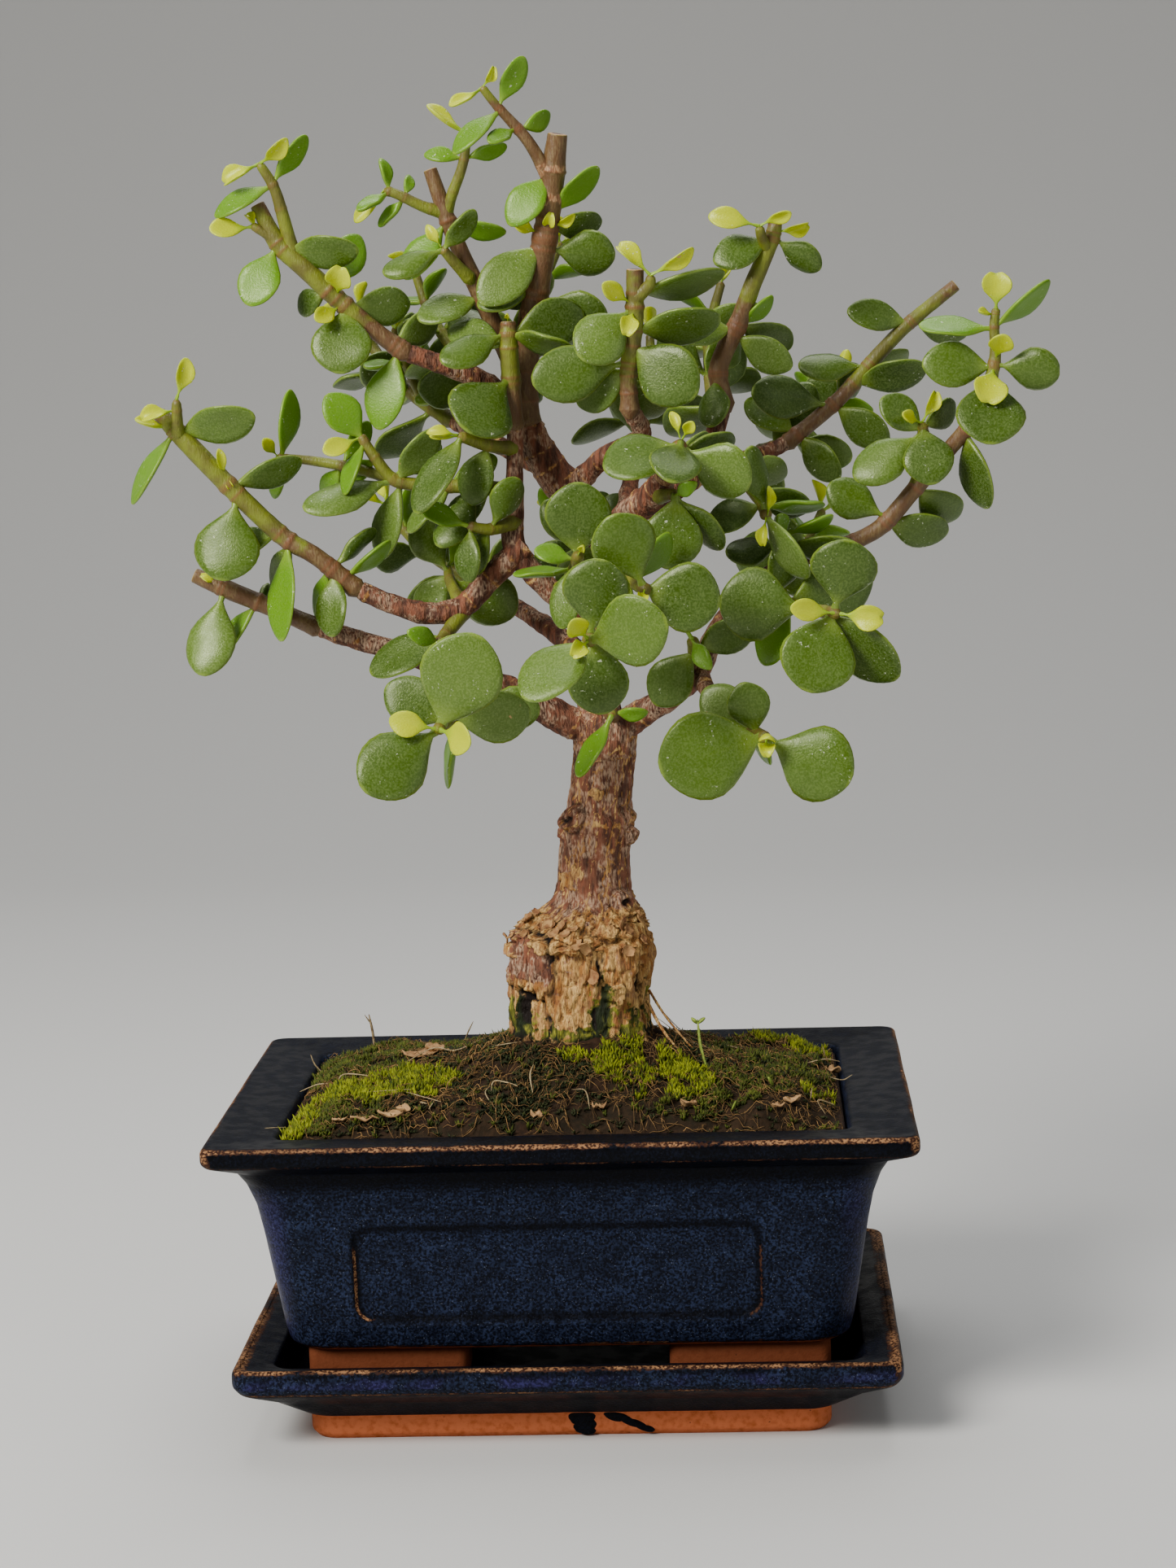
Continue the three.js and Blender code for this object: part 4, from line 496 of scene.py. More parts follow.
class Sheet:
    """A node tree with short calls that add nodes and feed their inputs. Colours, values and sockets may be mixed."""

    def __init__(self, tree: bpy.types.NodeTree, place: Socket | None = None) -> None:
        """Takes over the tree, with the place that its noise is read at."""
        self.tree, self.place = tree, place

    def node(self, kind: str, feeds: dict[str | int, object] | None = None, **settings: object) -> bpy.types.Node:
        """Adds a node.

        Args:
            kind: Blender's name of the node type.
            feeds: Values or sockets for its inputs, by name or number.
            **settings: Values of the node's own properties.

        Returns:
            The node.
        """
        made = self.tree.nodes.new(kind)
        for key, value in settings.items():
            setattr(made, key, value)
        for key, value in (feeds or {}).items():
            self.feed(made.inputs[key], value)
        return made

    def feed(self, target: Socket, value: object) -> None:
        """Links a socket, or a node's first output, to an input, or sets the input's own value.

        Args:
            target: The input.
            value: The socket, node or plain value.
        """
        if isinstance(value, bpy.types.Node):
            value = value.outputs[0]
        if isinstance(value, Socket):
            self.tree.links.new(value, target)
        else:
            target.default_value = value

    def math(self, operation: str, a: object, b: object = 0.0) -> Socket:
        """The result of a Math node."""
        return self.node("ShaderNodeMath", {0: a, 1: b}, operation=operation).outputs[0]

    def times(self, *values: object) -> Socket:
        """The values multiplied."""
        return reduce(lambda a, b: self.math("MULTIPLY", a, b), values)

    def plus(self, a: object, b: object) -> Socket:
        """The sum of two values."""
        return self.math("ADD", a, b)

    def most(self, a: object, b: object) -> Socket:
        """The greater of two values."""
        return self.math("MAXIMUM", a, b)

    def size(self, a: object) -> Socket:
        """The value without its sign."""
        return self.math("ABSOLUTE", a)

    def span(self, value: object, low: float, high: float, out_low: float = 0.0, out_high: float = 1.0) -> Socket:
        """Maps a value smoothly, from out_low at low to out_high at high and no further."""
        feeds = {"Value": value, "From Min": low, "From Max": high, "To Min": out_low, "To Max": out_high}
        return self.node("ShaderNodeMapRange", feeds, interpolation_type="SMOOTHSTEP").outputs[0]

    def mix(self, mask: object, a: object, b: object) -> Socket:
        """The first colour where the mask is 0 and the second where it is 1."""
        return self.node("ShaderNodeMix", {0: mask, 6: a, 7: b}, data_type="RGBA").outputs[2]

    def noise(self, size: object, detail: float = 2.0, stretch: Sequence[float] = ()) -> Socket:
        """Adds smooth noise in space.

        Args:
            size: Length of a bump, in metres.
            detail: How much finer noise is added.
            stretch: Scale of the place along each axis, below 1 for streaks along that axis.

        Returns:
            Noise from 0 to 1.
        """
        where = self.node("ShaderNodeMapping", {"Vector": self.place, "Scale": stretch}) if stretch else self.place
        scale = self.math("DIVIDE", 1.0, size)
        return self.node("ShaderNodeTexNoise", {"Vector": where, "Scale": scale, "Detail": detail}).outputs[0]

    def mark(self, name: str) -> Socket:
        """A named number kept on the piece."""
        return self.node("ShaderNodeAttribute", attribute_name=name).outputs["Fac"]

    def bump(self, height: object, distance: float, strength: float = 1.0) -> Socket:
        """The normal bent by a height, where a height of 1 stands for the distance, in metres."""
        return self.node("ShaderNodeBump", {"Height": height, "Distance": distance, "Strength": strength}).outputs[0]


def shader_group(name: str, inputs: str, fill: Callable[[Sheet, object], dict[str, Socket]]) -> bpy.types.NodeTree:
    """Builds a shader node group.

    Args:
        name: The group's name.
        inputs: Names of its inputs: Place, in metres, and numbers.
        fill: Adds its nodes to a sheet, from its input sockets, and gives its outputs by name.

    Returns:
        The group, which gives numbers from 0 to 1.
    """
    tree = bpy.data.node_groups.new(name, "ShaderNodeTree")
    for key in inputs.split():
        kind = "NodeSocketVector" if key == "Place" else "NodeSocketFloat"
        tree.interface.new_socket(key, in_out="INPUT", socket_type=kind)
    sheet = Sheet(tree)
    enter = sheet.node("NodeGroupInput").outputs
    sheet.place = enter["Place"]
    outputs = fill(sheet, enter)
    for key in outputs:
        tree.interface.new_socket(key, in_out="OUTPUT", socket_type="NodeSocketFloat")
    sheet.node("NodeGroupOutput", outputs)
    return tree


def speckle(s: Sheet, enter: object) -> dict[str, Socket]:
    """Fine two-sized speckle, used by glaze, leaves and clay."""
    fleck, patch = s.noise(enter["Size"], 3.0), s.noise(s.math("DIVIDE", enter["Size"], 0.13), 3.0)
    return {"Fleck": s.span(fleck, 0.38, 0.68), "Patch": s.span(patch, 0.32, 0.68)}


def wood_grain(s: Sheet, enter: object) -> dict[str, Socket]:
    """Streaks that run up the wood, used by bark, roots and stems."""
    streak, fine = s.noise(1.3 * MM, 5.0, (1, 1, 0.16)), s.noise(0.4 * MM, 3.0, (1, 1, 0.3))
    blotch = s.span(s.noise(4.5 * MM, 4.0), 0.36, 0.64)
    return {"Streak": s.span(streak, 0.36, 0.64), "Fine": s.span(fine, 0.34, 0.66), "Blotch": blotch}


def ragged_edge(s: Sheet, enter: object) -> dict[str, Socket]:
    """Roughens the edge of a mark, used wherever one colour ends on another."""
    shift = s.times(s.plus(s.noise(enter["Size"], 4.0), -0.5), 1.5)
    return {"Mask": s.span(s.plus(enter["Mark"], shift), 0.38, 0.62)}


# Finishes


def paint(red: int, green: int, blue: int) -> Colour:
    """A colour as a painter's chart gives it, from 0 to 255, turned into the linear values that materials take."""
    linear = [((v / 255 + 0.055) / 1.055) ** 2.4 if v > 10 else v / 255 / 12.92 for v in (red, green, blue)]
    return linear[0], linear[1], linear[2], 1.0


@dataclass(frozen=True)
class Finish:
    """What every finish has: a name, the effects that it shares with others and its constant values."""

    name: str
    effects: dict[str, bpy.types.NodeTree]

    CONSTANT: ClassVar[dict[str, object]] = {}

    def effect(self, s: Sheet, kind: str, **feeds: object) -> list[Socket]:
        """Places a shared effect and gives what comes out of it."""
        return list(s.node("ShaderNodeGroup", {"Place": s.place, **feeds}, node_tree=self.effects[kind]).outputs)

    def ragged(self, s: Sheet, mark: object, size: float) -> Socket:
        """A mask from 0 to 1 of a mark, with its edge roughened in lumps of a size in metres."""
        return self.effect(s, "ragged_edge", Mark=mark, Size=size)[0]

    def dress(self, s: Sheet) -> dict[str, object]:
        """What the shader's inputs take, by name."""
        raise NotImplementedError

    def build(self) -> Material:
        """Builds the material.

        Returns:
            The finished material.
        """
        material = bpy.data.materials.new(self.name)
        material.use_nodes = True
        sheet = Sheet(material.node_tree)
        sheet.place = sheet.node("ShaderNodeTexCoord").outputs["Object"]
        shader = material.node_tree.nodes["Principled BSDF"]
        for key, value in {**self.CONSTANT, **self.dress(sheet)}.items():
            sheet.feed(shader.inputs[key], value)
        return material


@dataclass(frozen=True)
class GlazedClay(Finish):
    """Navy glaze with a blue speckle, brown where it runs thin on an edge, and bare clay below a line, with painted
    shade in its dark bands, in the panel's groove and on the clay under the pot.
    """

    bare_below: float = 0.0
    panel: Sequence[float] = ()
    deep: Colour = paint(10, 12, 20)
    blue: Colour = paint(37, 46, 71)
    fleck: Colour = paint(108, 118, 142)
    black: Colour = paint(5, 5, 7)
    thin: Colour = paint(158, 116, 80)
    worn: Colour = paint(54, 32, 23)
    clay: Colour = paint(184, 102, 64)
    clay_dark: Colour = paint(156, 80, 43)
    clay_shade: Colour = paint(84, 45, 28)
    violet: Colour = paint(50, 44, 92)

    CONSTANT = {"Specular IOR Level": 0.2, "IOR": 1.22, "Coat Roughness": 0.3, "Coat IOR": 1.2}

    def dress(self, s: Sheet) -> dict[str, object]:
        """Lays speckle, dark bands that are partly painted shade, and worn edges on the glaze, and bare clay below it.
        """
        fleck, patch = self.effect(s, "speckle", Size=0.55 * MM)
        body = s.mix(s.times(fleck, s.span(patch, 0, 1, 0.5, 1.0)), self.deep, self.blue)
        # Violet patches in the glaze; the same mark paints shade on bare clay.
        body = s.mix(s.times(s.mark("bloom"), s.span(fleck, 0, 1, 0.35, 1.0), 0.8), body, self.violet)
        body = s.mix(s.times(s.span(s.noise(0.38 * MM, 1.0), 0.68, 0.76), 0.4), body, self.fleck)
        # The dark mark turns the glaze black: dark glaze and drips, and painted shade under the saucer's rim and the
        # pot's flange.
        dark = s.most(s.times(self.ragged(s, s.mark("dark"), 2.2 * MM), 0.6), s.times(s.mark("dark"), 0.9))
        body = s.mix(dark, body, self.black)
        worn_edge = s.mark("edge")
        if self.panel:
            # Painted shade: the groove round the panel is painted black; the brown line is glaze run thin.
            groove, line = self.panel_border(s)
            body, worn_edge = s.mix(groove, body, self.black), s.most(worn_edge, line)
        edge = self.ragged(s, worn_edge, 0.8 * MM)
        dots = s.times(s.span(s.noise(0.42 * MM, 2.0, (0.7, 0.7, 1)), 0.42, 0.6), s.span(worn_edge, 0.45, 0.95))
        body = s.mix(s.times(edge, 0.92), body, s.mix(dots, self.worn, self.thin))
        height = s.node("ShaderNodeSeparateXYZ", {0: s.place}).outputs[2]
        height = s.plus(height, s.times(s.plus(s.noise(5 * MM, 3.0), -0.5), 0.9 * MM))
        bare = s.span(height, self.bare_below + 0.12 * MM, self.bare_below - 0.12 * MM)
        bare = s.times(bare, s.span(s.mark("drip"), 0.6, 0.4))
        clay = s.mix(s.span(s.noise(1.4 * MM, 4.0), 0.25, 0.6), self.clay_dark, self.clay)
        clay = s.mix(s.times(s.span(s.noise(1.1 * MM, 1.0), 0.26, 0.2), 0.8), clay, self.worn)
        # Painted shade: where the mark is set on bare clay, as on the feet under the pot, the clay turns to the shade
        # colour.
        clay = s.mix(s.mark("bloom"), clay, self.clay_shade)
        gloss = s.plus(s.span(patch, 0, 1, 0.34, 0.5), s.times(edge, 0.2))
        rough = s.plus(s.times(fleck, 0.5), s.noise(2.4 * MM, 3.0))
        return {
            "Base Color": s.mix(bare, body, clay), "Roughness": s.most(gloss, s.times(bare, 0.85)),
            "Coat Weight": s.times(s.math("SUBTRACT", 1.0, bare), 0.08), "Normal": s.bump(rough, 0.07 * MM, 0.8),
        }

    def panel_border(self, s: Sheet) -> tuple[Socket, Socket]:
        """Masks of the painted shade in the groove and of the thin brown line along the border of the pressed panel."""
        middle, half, low, high, corner = (value * MM for value in self.panel)
        x, y, z = s.node("ShaderNodeSeparateXYZ", {0: s.place}).outputs
        aside = s.plus(x, -middle)
        across = s.plus(s.size(aside), corner - half)
        tall = s.plus(s.size(s.plus(z, -(low + high) / 2)), corner - (high - low) / 2)
        away = s.math("SQRT", s.plus(*(s.math("POWER", s.most(side, 0.0), 2.0) for side in (across, tall))))
        away = s.plus(s.plus(away, s.math("MINIMUM", s.most(across, tall), 0.0)), -corner)
        face = s.span(s.size(y), 40 * MM, 40.4 * MM)
        upright = s.span(s.size(aside), half - 4.5 * MM, half - 2 * MM)
        # Painted shade along the groove, a little inside the border.
        groove = s.span(s.size(s.plus(away, 0.3 * MM)), 1.5 * MM, 0.2 * MM)
        line = s.times(s.span(s.size(away), 0.6 * MM, 0.1 * MM), upright, s.span(z, high - 3 * MM, high - 6 * MM))
        return s.times(groove, face, 0.8), s.times(line, face, s.span(aside, -half, half, 0.85, 0.55))


@dataclass(frozen=True)
class Bark(Finish):
    """Bark that runs from tan peeled fibre to reddish skin, with green algae, darkened in clefts and hollows partly by
    painted shade.
    """

    skin: Colour = paint(134, 78, 54)
    skin_dark: Colour = paint(70, 37, 26)
    grey: Colour = paint(202, 170, 140)
    tan: Colour = paint(158, 106, 52)
    straw: Colour = paint(222, 180, 112)
    deep: Colour = paint(22, 13, 9)
    algae: Colour = paint(158, 156, 50)
    algae_dark: Colour = paint(28, 38, 14)

    CONSTANT = {"Specular IOR Level": 0.25}

    def dress(self, s: Sheet) -> dict[str, object]:
        """Lays peeled fibre and algae over the skin, and darkens it, partly as the bark's own dark and partly as
        painted shade.
        """
        streak, fine, blotch = self.effect(s, "wood_grain")
        skin = s.mix(streak, self.skin_dark, self.skin)
        skin = s.mix(s.times(fine, s.span(blotch, 0.3, 0.8, 0.1, 0.75)), skin, self.grey)
        peeled = s.mix(streak, self.tan, self.straw)
        peeled = s.mix(s.span(fine, 0.45, 0.0, 0.0, 0.6), peeled, self.skin_dark)
        peeled = s.mix(s.times(s.span(blotch, 0.6, 1.0), 0.4), peeled, self.skin)
        bark = s.mix(self.ragged(s, s.mark("peel"), 1.6 * MM), skin, peeled)
        damp = s.times(blotch, s.span(fine, 0, 1, 0.35, 0.95), s.span(s.mark("cleft"), 0.3, 0.05))
        green = s.mix(damp, self.algae_dark, self.algae)
        bark = s.mix(self.ragged(s, s.mark("algae"), 1.2 * MM), bark, green)
        # The dark-and-shade mark turns the bark to the deep colour: the bark's own dark, and painted shade in its
        # hollows.
        return {
            "Base Color": s.mix(s.span(s.mark("cleft"), 0.1, 0.8), bark, self.deep),
            "Roughness": s.span(fine, 0, 1, 0.62, 0.85),
            "Normal": s.bump(s.plus(streak, s.times(fine, 0.6)), 0.22 * MM),
        }


@dataclass(frozen=True)
class StemSkin(Finish):
    """Smooth skin of a young stem: olive green that turns brown with age, with brown rings and tan scabs."""

    green: Colour = paint(114, 122, 28)
    olive: Colour = paint(94, 90, 30)
    red: Colour = paint(94, 60, 38)
    brown: Colour = paint(118, 94, 62)
    ring: Colour = paint(120, 74, 42)
    tan: Colour = paint(176, 138, 98)
    cut: Colour = paint(48, 30, 22)

    CONSTANT = {"Specular IOR Level": 0.4}

    def dress(self, s: Sheet) -> dict[str, object]:
        """Lays age, rings, scabs and the cut end over the green skin."""
        streak, fine, blotch = self.effect(s, "wood_grain")
        old = s.mix(s.times(streak, fine), self.red, self.brown)
        age = self.ragged(s, s.mark("age"), 5 * MM)
        skin = s.mix(s.times(age, 0.9), s.mix(blotch, self.olive, self.green), old)
        skin = s.mix(s.times(s.mark("joint"), 0.8), skin, self.ring)
        scab = self.ragged(s, s.mark("scab"), 1.5 * MM)
        skin = s.mix(s.times(scab, 0.9), skin, s.mix(fine, self.ring, self.tan))
        skin = s.mix(s.span(s.mark("cut"), 0.1, 0.4), skin, self.tan)
        return {
            "Base Color": s.mix(s.span(s.mark("cut"), 0.6, 0.9), skin, self.cut),
            "Roughness": s.span(fine, 0, 1, 0.42, 0.6), "Normal": s.bump(fine, 0.06 * MM, 0.8),
        }


@dataclass(frozen=True)
class LeafSkin(Finish):
    """Thick glossy leaf skin: deep green when grown, brighter when fresh and yellow when young."""

    dark: Colour = paint(38, 61, 5)
    mid: Colour = paint(75, 104, 8)
    fresh: Colour = paint(92, 140, 0)
    young: Colour = paint(184, 194, 0)
    young_foot: Colour = paint(120, 158, 0)
    rim: Colour = paint(146, 170, 52)
    # A pale colour for the fine speckle and for the painted sheen.
    bloom: Colour = paint(140, 160, 98)
    powder: Colour = paint(206, 212, 186)
    scar: Colour = paint(186, 146, 96)

    CONSTANT = {
        "Specular IOR Level": 0.45, "Specular Tint": (0.9, 1.0, 0.6, 1.0), "Subsurface Weight": 0.08,
        "Subsurface Scale": 1.6 * MM, "Subsurface Radius": (0.6, 1.0, 0.15), "Coat Roughness": 0.3,
    }

    def dress(self, s: Sheet) -> dict[str, object]:
        """Lays age, the pale rim and foot, a paler speckle, a painted sheen on some grown leaves, powder and scars over
        the green.
        """
        tone, age, share, side = (s.mark(f"leaf_{name}") for name in ("tone", "age", "share", "side"))
        fleck, patch = self.effect(s, "speckle", Size=0.42 * MM)
        shade = s.plus(s.times(tone, 0.65), s.times(s.noise(9 * MM), 0.4))
        skin = s.mix(s.times(s.span(age, 0.1, 0.5), 0.85), s.mix(shade, self.dark, self.mid), self.fresh)
        yellow = s.mix(s.span(share, 0.5, 0.0), self.young, self.young_foot)
        skin = s.mix(s.span(age, 0.55, 0.9), skin, yellow)
        rim = s.most(s.span(s.size(side), 0.9, 1.0), s.span(share, 0.95, 0.99))
        vein = s.times(s.span(s.size(side), 0.1, 0.0), s.span(share, 0.8, 0.1))
        grown = s.span(age, 0.7, 0.4)
        # Painted sheen: a pale sheen painted on the grown leaves of the highest tone.
        painted_sheen = s.times(s.span(tone, 0.7, 0.95), s.span(fleck, 0, 1, 0.5, 1), grown)
        dust = s.times(s.span(s.noise(0.7 * MM, 3.0), 0.66, 0.7), s.span(s.noise(7 * MM), 0.5, 0.62))
        scarred = s.times(s.span(s.noise(3.4 * MM, 3.0), 0.72, 0.76), s.span(tone, 0.8, 0.9))
        for mask, strength, colour in (
            (s.span(share, 0.3, 0.02), 0.4, self.rim), (rim, 0.45, self.rim), (vein, 0.05, self.rim),
            (s.times(fleck, grown), 0.2, self.bloom), (painted_sheen, 0.18, self.bloom), (dust, 0.7, self.powder),
            (scarred, 1.0, self.scar),
        ):
            skin = s.mix(s.times(mask, strength), skin, colour)
        relief = s.plus(s.times(fleck, 0.35), s.noise(2.6 * MM, 3.0))
        return {
            "Base Color": skin, "Roughness": s.span(patch, 0, 1, 0.32, 0.42),
            "Coat Weight": s.span(fleck, 0, 1, 0.16, 0.04), "Normal": s.bump(relief, 0.09 * MM, 0.7),
        }


@dataclass(frozen=True)
class Ground(Finish):
    """A dull finish between two colours by a piece's own tone, for soil, moss, fibres, scraps and threads."""

    low: Colour
    high: Colour
    tint: Colour
    roughness: float = 0.9
    grain: float = 1.1 * MM

    CONSTANT = {"Specular IOR Level": 0.2}

    def dress(self, s: Sheet) -> dict[str, object]:
        """Runs from the low to the high colour and takes on the tint where the piece asks for it."""
        patch = s.span(s.noise(self.grain, 4.0), 0.3, 0.7)
        tone = s.plus(s.times(patch, 0.45), s.times(s.mark("tone"), 0.55))
        body = s.mix(s.times(s.mark("tint"), 0.8), s.mix(tone, self.low, self.high), self.tint)
        return {"Base Color": body, "Roughness": self.roughness, "Normal": s.bump(patch, 0.15 * MM, 0.8)}


# Growth: routes, leaves and the rule that keeps leaves clear of each other


class Route:
    """A smooth curve through knots of x, y, z and radius, which runs evenly between them. In millimetres."""

    TENSION = 0.5
    NUDGE = 0.01

    def __init__(self, knots: Sequence[Knot]) -> None:
        """Takes the knots."""
        self.knots, self.radii = np.array(knots, float)[:, :3], np.array(knots, float)[:, 3]
        self.spans = len(knots) - 1

    def place(self, share: float) -> tuple[int, float]:
        """Finds the span and the place in it for a share of the route."""
        span = min(int(share * self.spans), self.spans - 1)
        return span, share * self.spans - span

    def at(self, share: float) -> Array:
        """The point at a share of the route, from 0 at the first knot to 1 at the last."""
        span, t = self.place(share)
        p = self.knots
        before = p[span - 1] if span > 0 else 2 * p[0] - p[1]
        after = p[span + 2] if span + 2 <= self.spans else 2 * p[-1] - p[-2]
        start, end = p[span], p[span + 1]
        leave, arrive = self.TENSION * (end - before), self.TENSION * (after - start)
        square = -3 * start + 3 * end - 2 * leave - arrive
        cube = 2 * start - 2 * end + leave + arrive
        return start + leave * t + square * t * t + cube * t * t * t

    def radius(self, share: float) -> float:
        """The radius at a share of the route."""
        span, t = self.place(share)
        return float(self.radii[span] + (self.radii[span + 1] - self.radii[span]) * t)

    def direction(self, share: float) -> Array:
        """The direction of growth at a share of the route."""
        return unit(self.at(min(1.0, share + self.NUDGE)) - self.at(max(0.0, share - self.NUDGE)))

    def length(self) -> float:
        """The route's length."""
        points = np.array([self.at(s) for s in np.linspace(0, 1, 8 * self.spans + 1)])
        return float(np.linalg.norm(np.diff(points, axis=0), axis=1).sum())

    def walk(self, count: int) -> tuple[Array, Array, Array]:
        """Shares of the route at even steps, with the points and the radii there."""
        shares = np.linspace(0, 1, count)
        return shares, np.array([self.at(s) for s in shares]), np.array([self.radius(s) for s in shares])


class LeafKind(Enum):
    """Ages of a leaf: its letter, usual width as a share of the length, thickness in millimetres, and age from 0 to 1."""

    GROWN = ("m", 0.68, 2.0, 0.0)
    FRESH = ("f", 0.54, 1.6, 0.5)
    YOUNG = ("y", 0.56, 1.2, 1.0)

    def __init__(self, letter: str, width: float, thick: float, age: float) -> None:
        """Names the numbers."""
        self.letter, self.width, self.thick, self.age = letter, width, thick, age


def leaf_frame(bearing: float, lean: float, face: float) -> tuple[Array, Array, Array]:
    """The directions of a leaf.

    Args:
        bearing: Degrees clockwise from up, seen from the front.
        lean: Degrees towards the front.
        face: Degrees that the face is turned about the leaf's own length.

    Returns:
        Its length, its face's normal and its width.
    """
    b, l, f = math.radians(bearing), math.radians(lean), math.radians(face)
    along = np.array([math.sin(b) * math.cos(l), -math.sin(l), math.cos(b) * math.cos(l)])
    front = np.array([0.0, -1.0, 0.0])
    front = unit(front - along * (front @ along))
    normal = front * math.cos(f) + np.cross(along, front) * math.sin(f)
    return along, normal, np.cross(normal, along)


@dataclass
class Plan:
    """A leaf as it is meant to grow, before it is kept clear of the others. In millimetres and degrees."""

    node: str
    kind: LeafKind
    share: float
    bearing: float
    lean: float
    length: float
    face: float
    width: float
    base: Array
    radius: float


class Leaf:
    """A leaf in its place, with sample points of its blade."""

    ROOT = 0.7

    def __init__(self, plan: Plan, turn: tuple[float, float], shrink: float) -> None:
        """Works out the leaf's frame and its samples.

        Args:
            plan: The leaf as planned.
            turn: Degrees added to its bearing and its lean.
            shrink: Share of its planned length.
        """
        self.plan = plan
        self.along, self.normal, self.across = leaf_frame(plan.bearing + turn[0], plan.lean + turn[1], plan.face)
        self.length = plan.length * shrink
        self.width, self.thick = plan.width * self.length, plan.kind.thick
        self.start = plan.base + self.along * plan.radius * self.ROOT
        share, side = Spacing.SHARES, Spacing.SIDES
        aside = side * Spacing.outline(share) * self.width / 2
        self.samples = self.start + (share * self.length)[:, None] * self.along + aside[:, None] * self.across
        self.halves = Spacing.half_thickness(self.thick, share, side)


class Spacing:
    """The rule that keeps a leaf clear of stems and of the leaves placed before it."""

    SKEW, BLUNT = 1.35, 0.62
    CLEAR, EDGE_HALF, SIDE_MARGIN, END_MARGIN = 0.45, 0.12, 0.5, 0.04
    SAME_JOINT, ROOT_PART, OWN_STEM, SEARCH = 5.0, 0.31, 3.5, 3.0
    ACROSS = (-1, -0.5, 0, 0.5, 1)
    ALONG = (0.15, 0.3, 0.45, 0.6, 0.75, 0.88, 1)
    SHARES = np.repeat(np.array(ALONG), len(ACROSS))
    SIDES = np.tile(np.array(ACROSS, float), len(ALONG))

    def __init__(self, stems: Iterable[tuple[str, Route]], beads_per_knot: int) -> None:
        """Strings every stem as beads.

        Args:
            stems: Node and route of each stem.
            beads_per_knot: Beads for each knot of a route.
        """
        walks = [(node, *route.walk((route.spans + 1) * beads_per_knot + 1)) for node, route in stems]
        self.nodes = np.concatenate([[node] * len(shares) for node, shares, _, _ in walks])
        self.beads, self.radii = (np.concatenate([walk[k] for walk in walks]) for k in (2, 3))
        self.placed: list[Leaf] = []

    @classmethod
    def outline(cls, share: Array) -> Array:
        """The leaf's width at shares of its length, as a share of its greatest width."""
        return np.sin(np.pi * np.clip(share, 0, 1) ** cls.SKEW).clip(0) ** cls.BLUNT

    @classmethod
    def half_thickness(cls, thick: object, share: Array, side: Array) -> Array:
        """Half the blade's thickness at a place on it."""
        edge = np.maximum(np.abs(side), np.abs(share * 2 - 1))
        return 0.5 * thick * (1 - edge * edge) + cls.EDGE_HALF

    @classmethod
    def touches(cls, leaf: dict[str, Array], points: Array, reach: Array) -> Array:
        """Tells which points lie in or too near a blade.

        Args:
            leaf: Frames and sizes of one leaf, or of several along the first axis.
            points: Places to be tested, along the last axis but one.
            reach: Radius round each point.

        Returns:
            True where a point touches.
        """
        away = points - leaf["start"]
        share = (away * leaf["along"]).sum(-1) / leaf["length"]
        inner = np.clip(share, 0, 1 - cls.END_MARGIN / 2)
        side = (away * leaf["across"]).sum(-1) / (cls.outline(inner) * leaf["width"] / 2 + cls.SIDE_MARGIN)
        half = cls.half_thickness(leaf["thick"], inner, side)
        flat = np.abs((away * leaf["normal"]).sum(-1)) < half + reach + cls.CLEAR
        return (share >= cls.END_MARGIN) & (share <= 1 + cls.END_MARGIN) & (np.abs(side) <= 1) & flat

    @staticmethod
    def facts(leaves: list[Leaf]) -> dict[str, Array]:
        """Stacks the frames and sizes of leaves, each ready to be set against rows of points."""
        keys = ("start", "along", "normal", "across", "length", "width", "thick")
        return {key: np.array([getattr(leaf, key) for leaf in leaves])[:, None] for key in keys}

    def crosses(self, leaf: dict[str, Array], points: Array, rows_from: Array) -> Array:
        """Tells which rows of samples pass right through a blade.

        Args:
            leaf: Frames and sizes, as touches takes them.
            points: Samples of the other leaf.
            rows_from: First row of samples that counts.

        Returns:
            True for each pair of leaves that cross.
        """
        columns = len(self.ACROSS)
        depth = ((points - leaf["start"]) * leaf["normal"]).sum(-1)
        near, far = depth[..., :-columns], depth[..., columns:]
        through = near * far < 0
        part = (near / np.where(through, near - far, 1.0))[..., None]
        cut = points[..., :-columns, :] + (points[..., columns:, :] - points[..., :-columns, :]) * part
        counts = np.arange(near.shape[-1]) // columns >= rows_from[..., None]
        return (through & counts & self.touches(leaf, cut, np.zeros(near.shape))).any(-1)

    def meets_leaves(self, leaf: Leaf) -> bool:
        """Tells whether a leaf crosses one placed before it."""
        near = [x for x in self.placed if np.linalg.norm(x.start - leaf.start) <= x.length + leaf.length]
        if not near:
            return False
        own, others = self.facts([leaf]), self.facts(near)
        joint = np.array([np.linalg.norm(x.start - leaf.start) < self.SAME_JOINT for x in near])
        rows_from = np.where(joint, sum(share <= self.ROOT_PART for share in self.ALONG), 0)
        counts = self.SHARES[None] > np.where(joint, self.ROOT_PART, 0.0)[:, None]
        points, halves = np.array([x.samples for x in near]), np.array([x.halves for x in near])
        mine = np.broadcast_to(leaf.samples, points.shape)
        return bool(
            (counts & self.touches(others, mine, leaf.halves)).any() or (counts & self.touches(own, points, halves)).any()
            or self.crosses(others, mine, rows_from).any() or self.crosses(own, points, rows_from).any()
        )

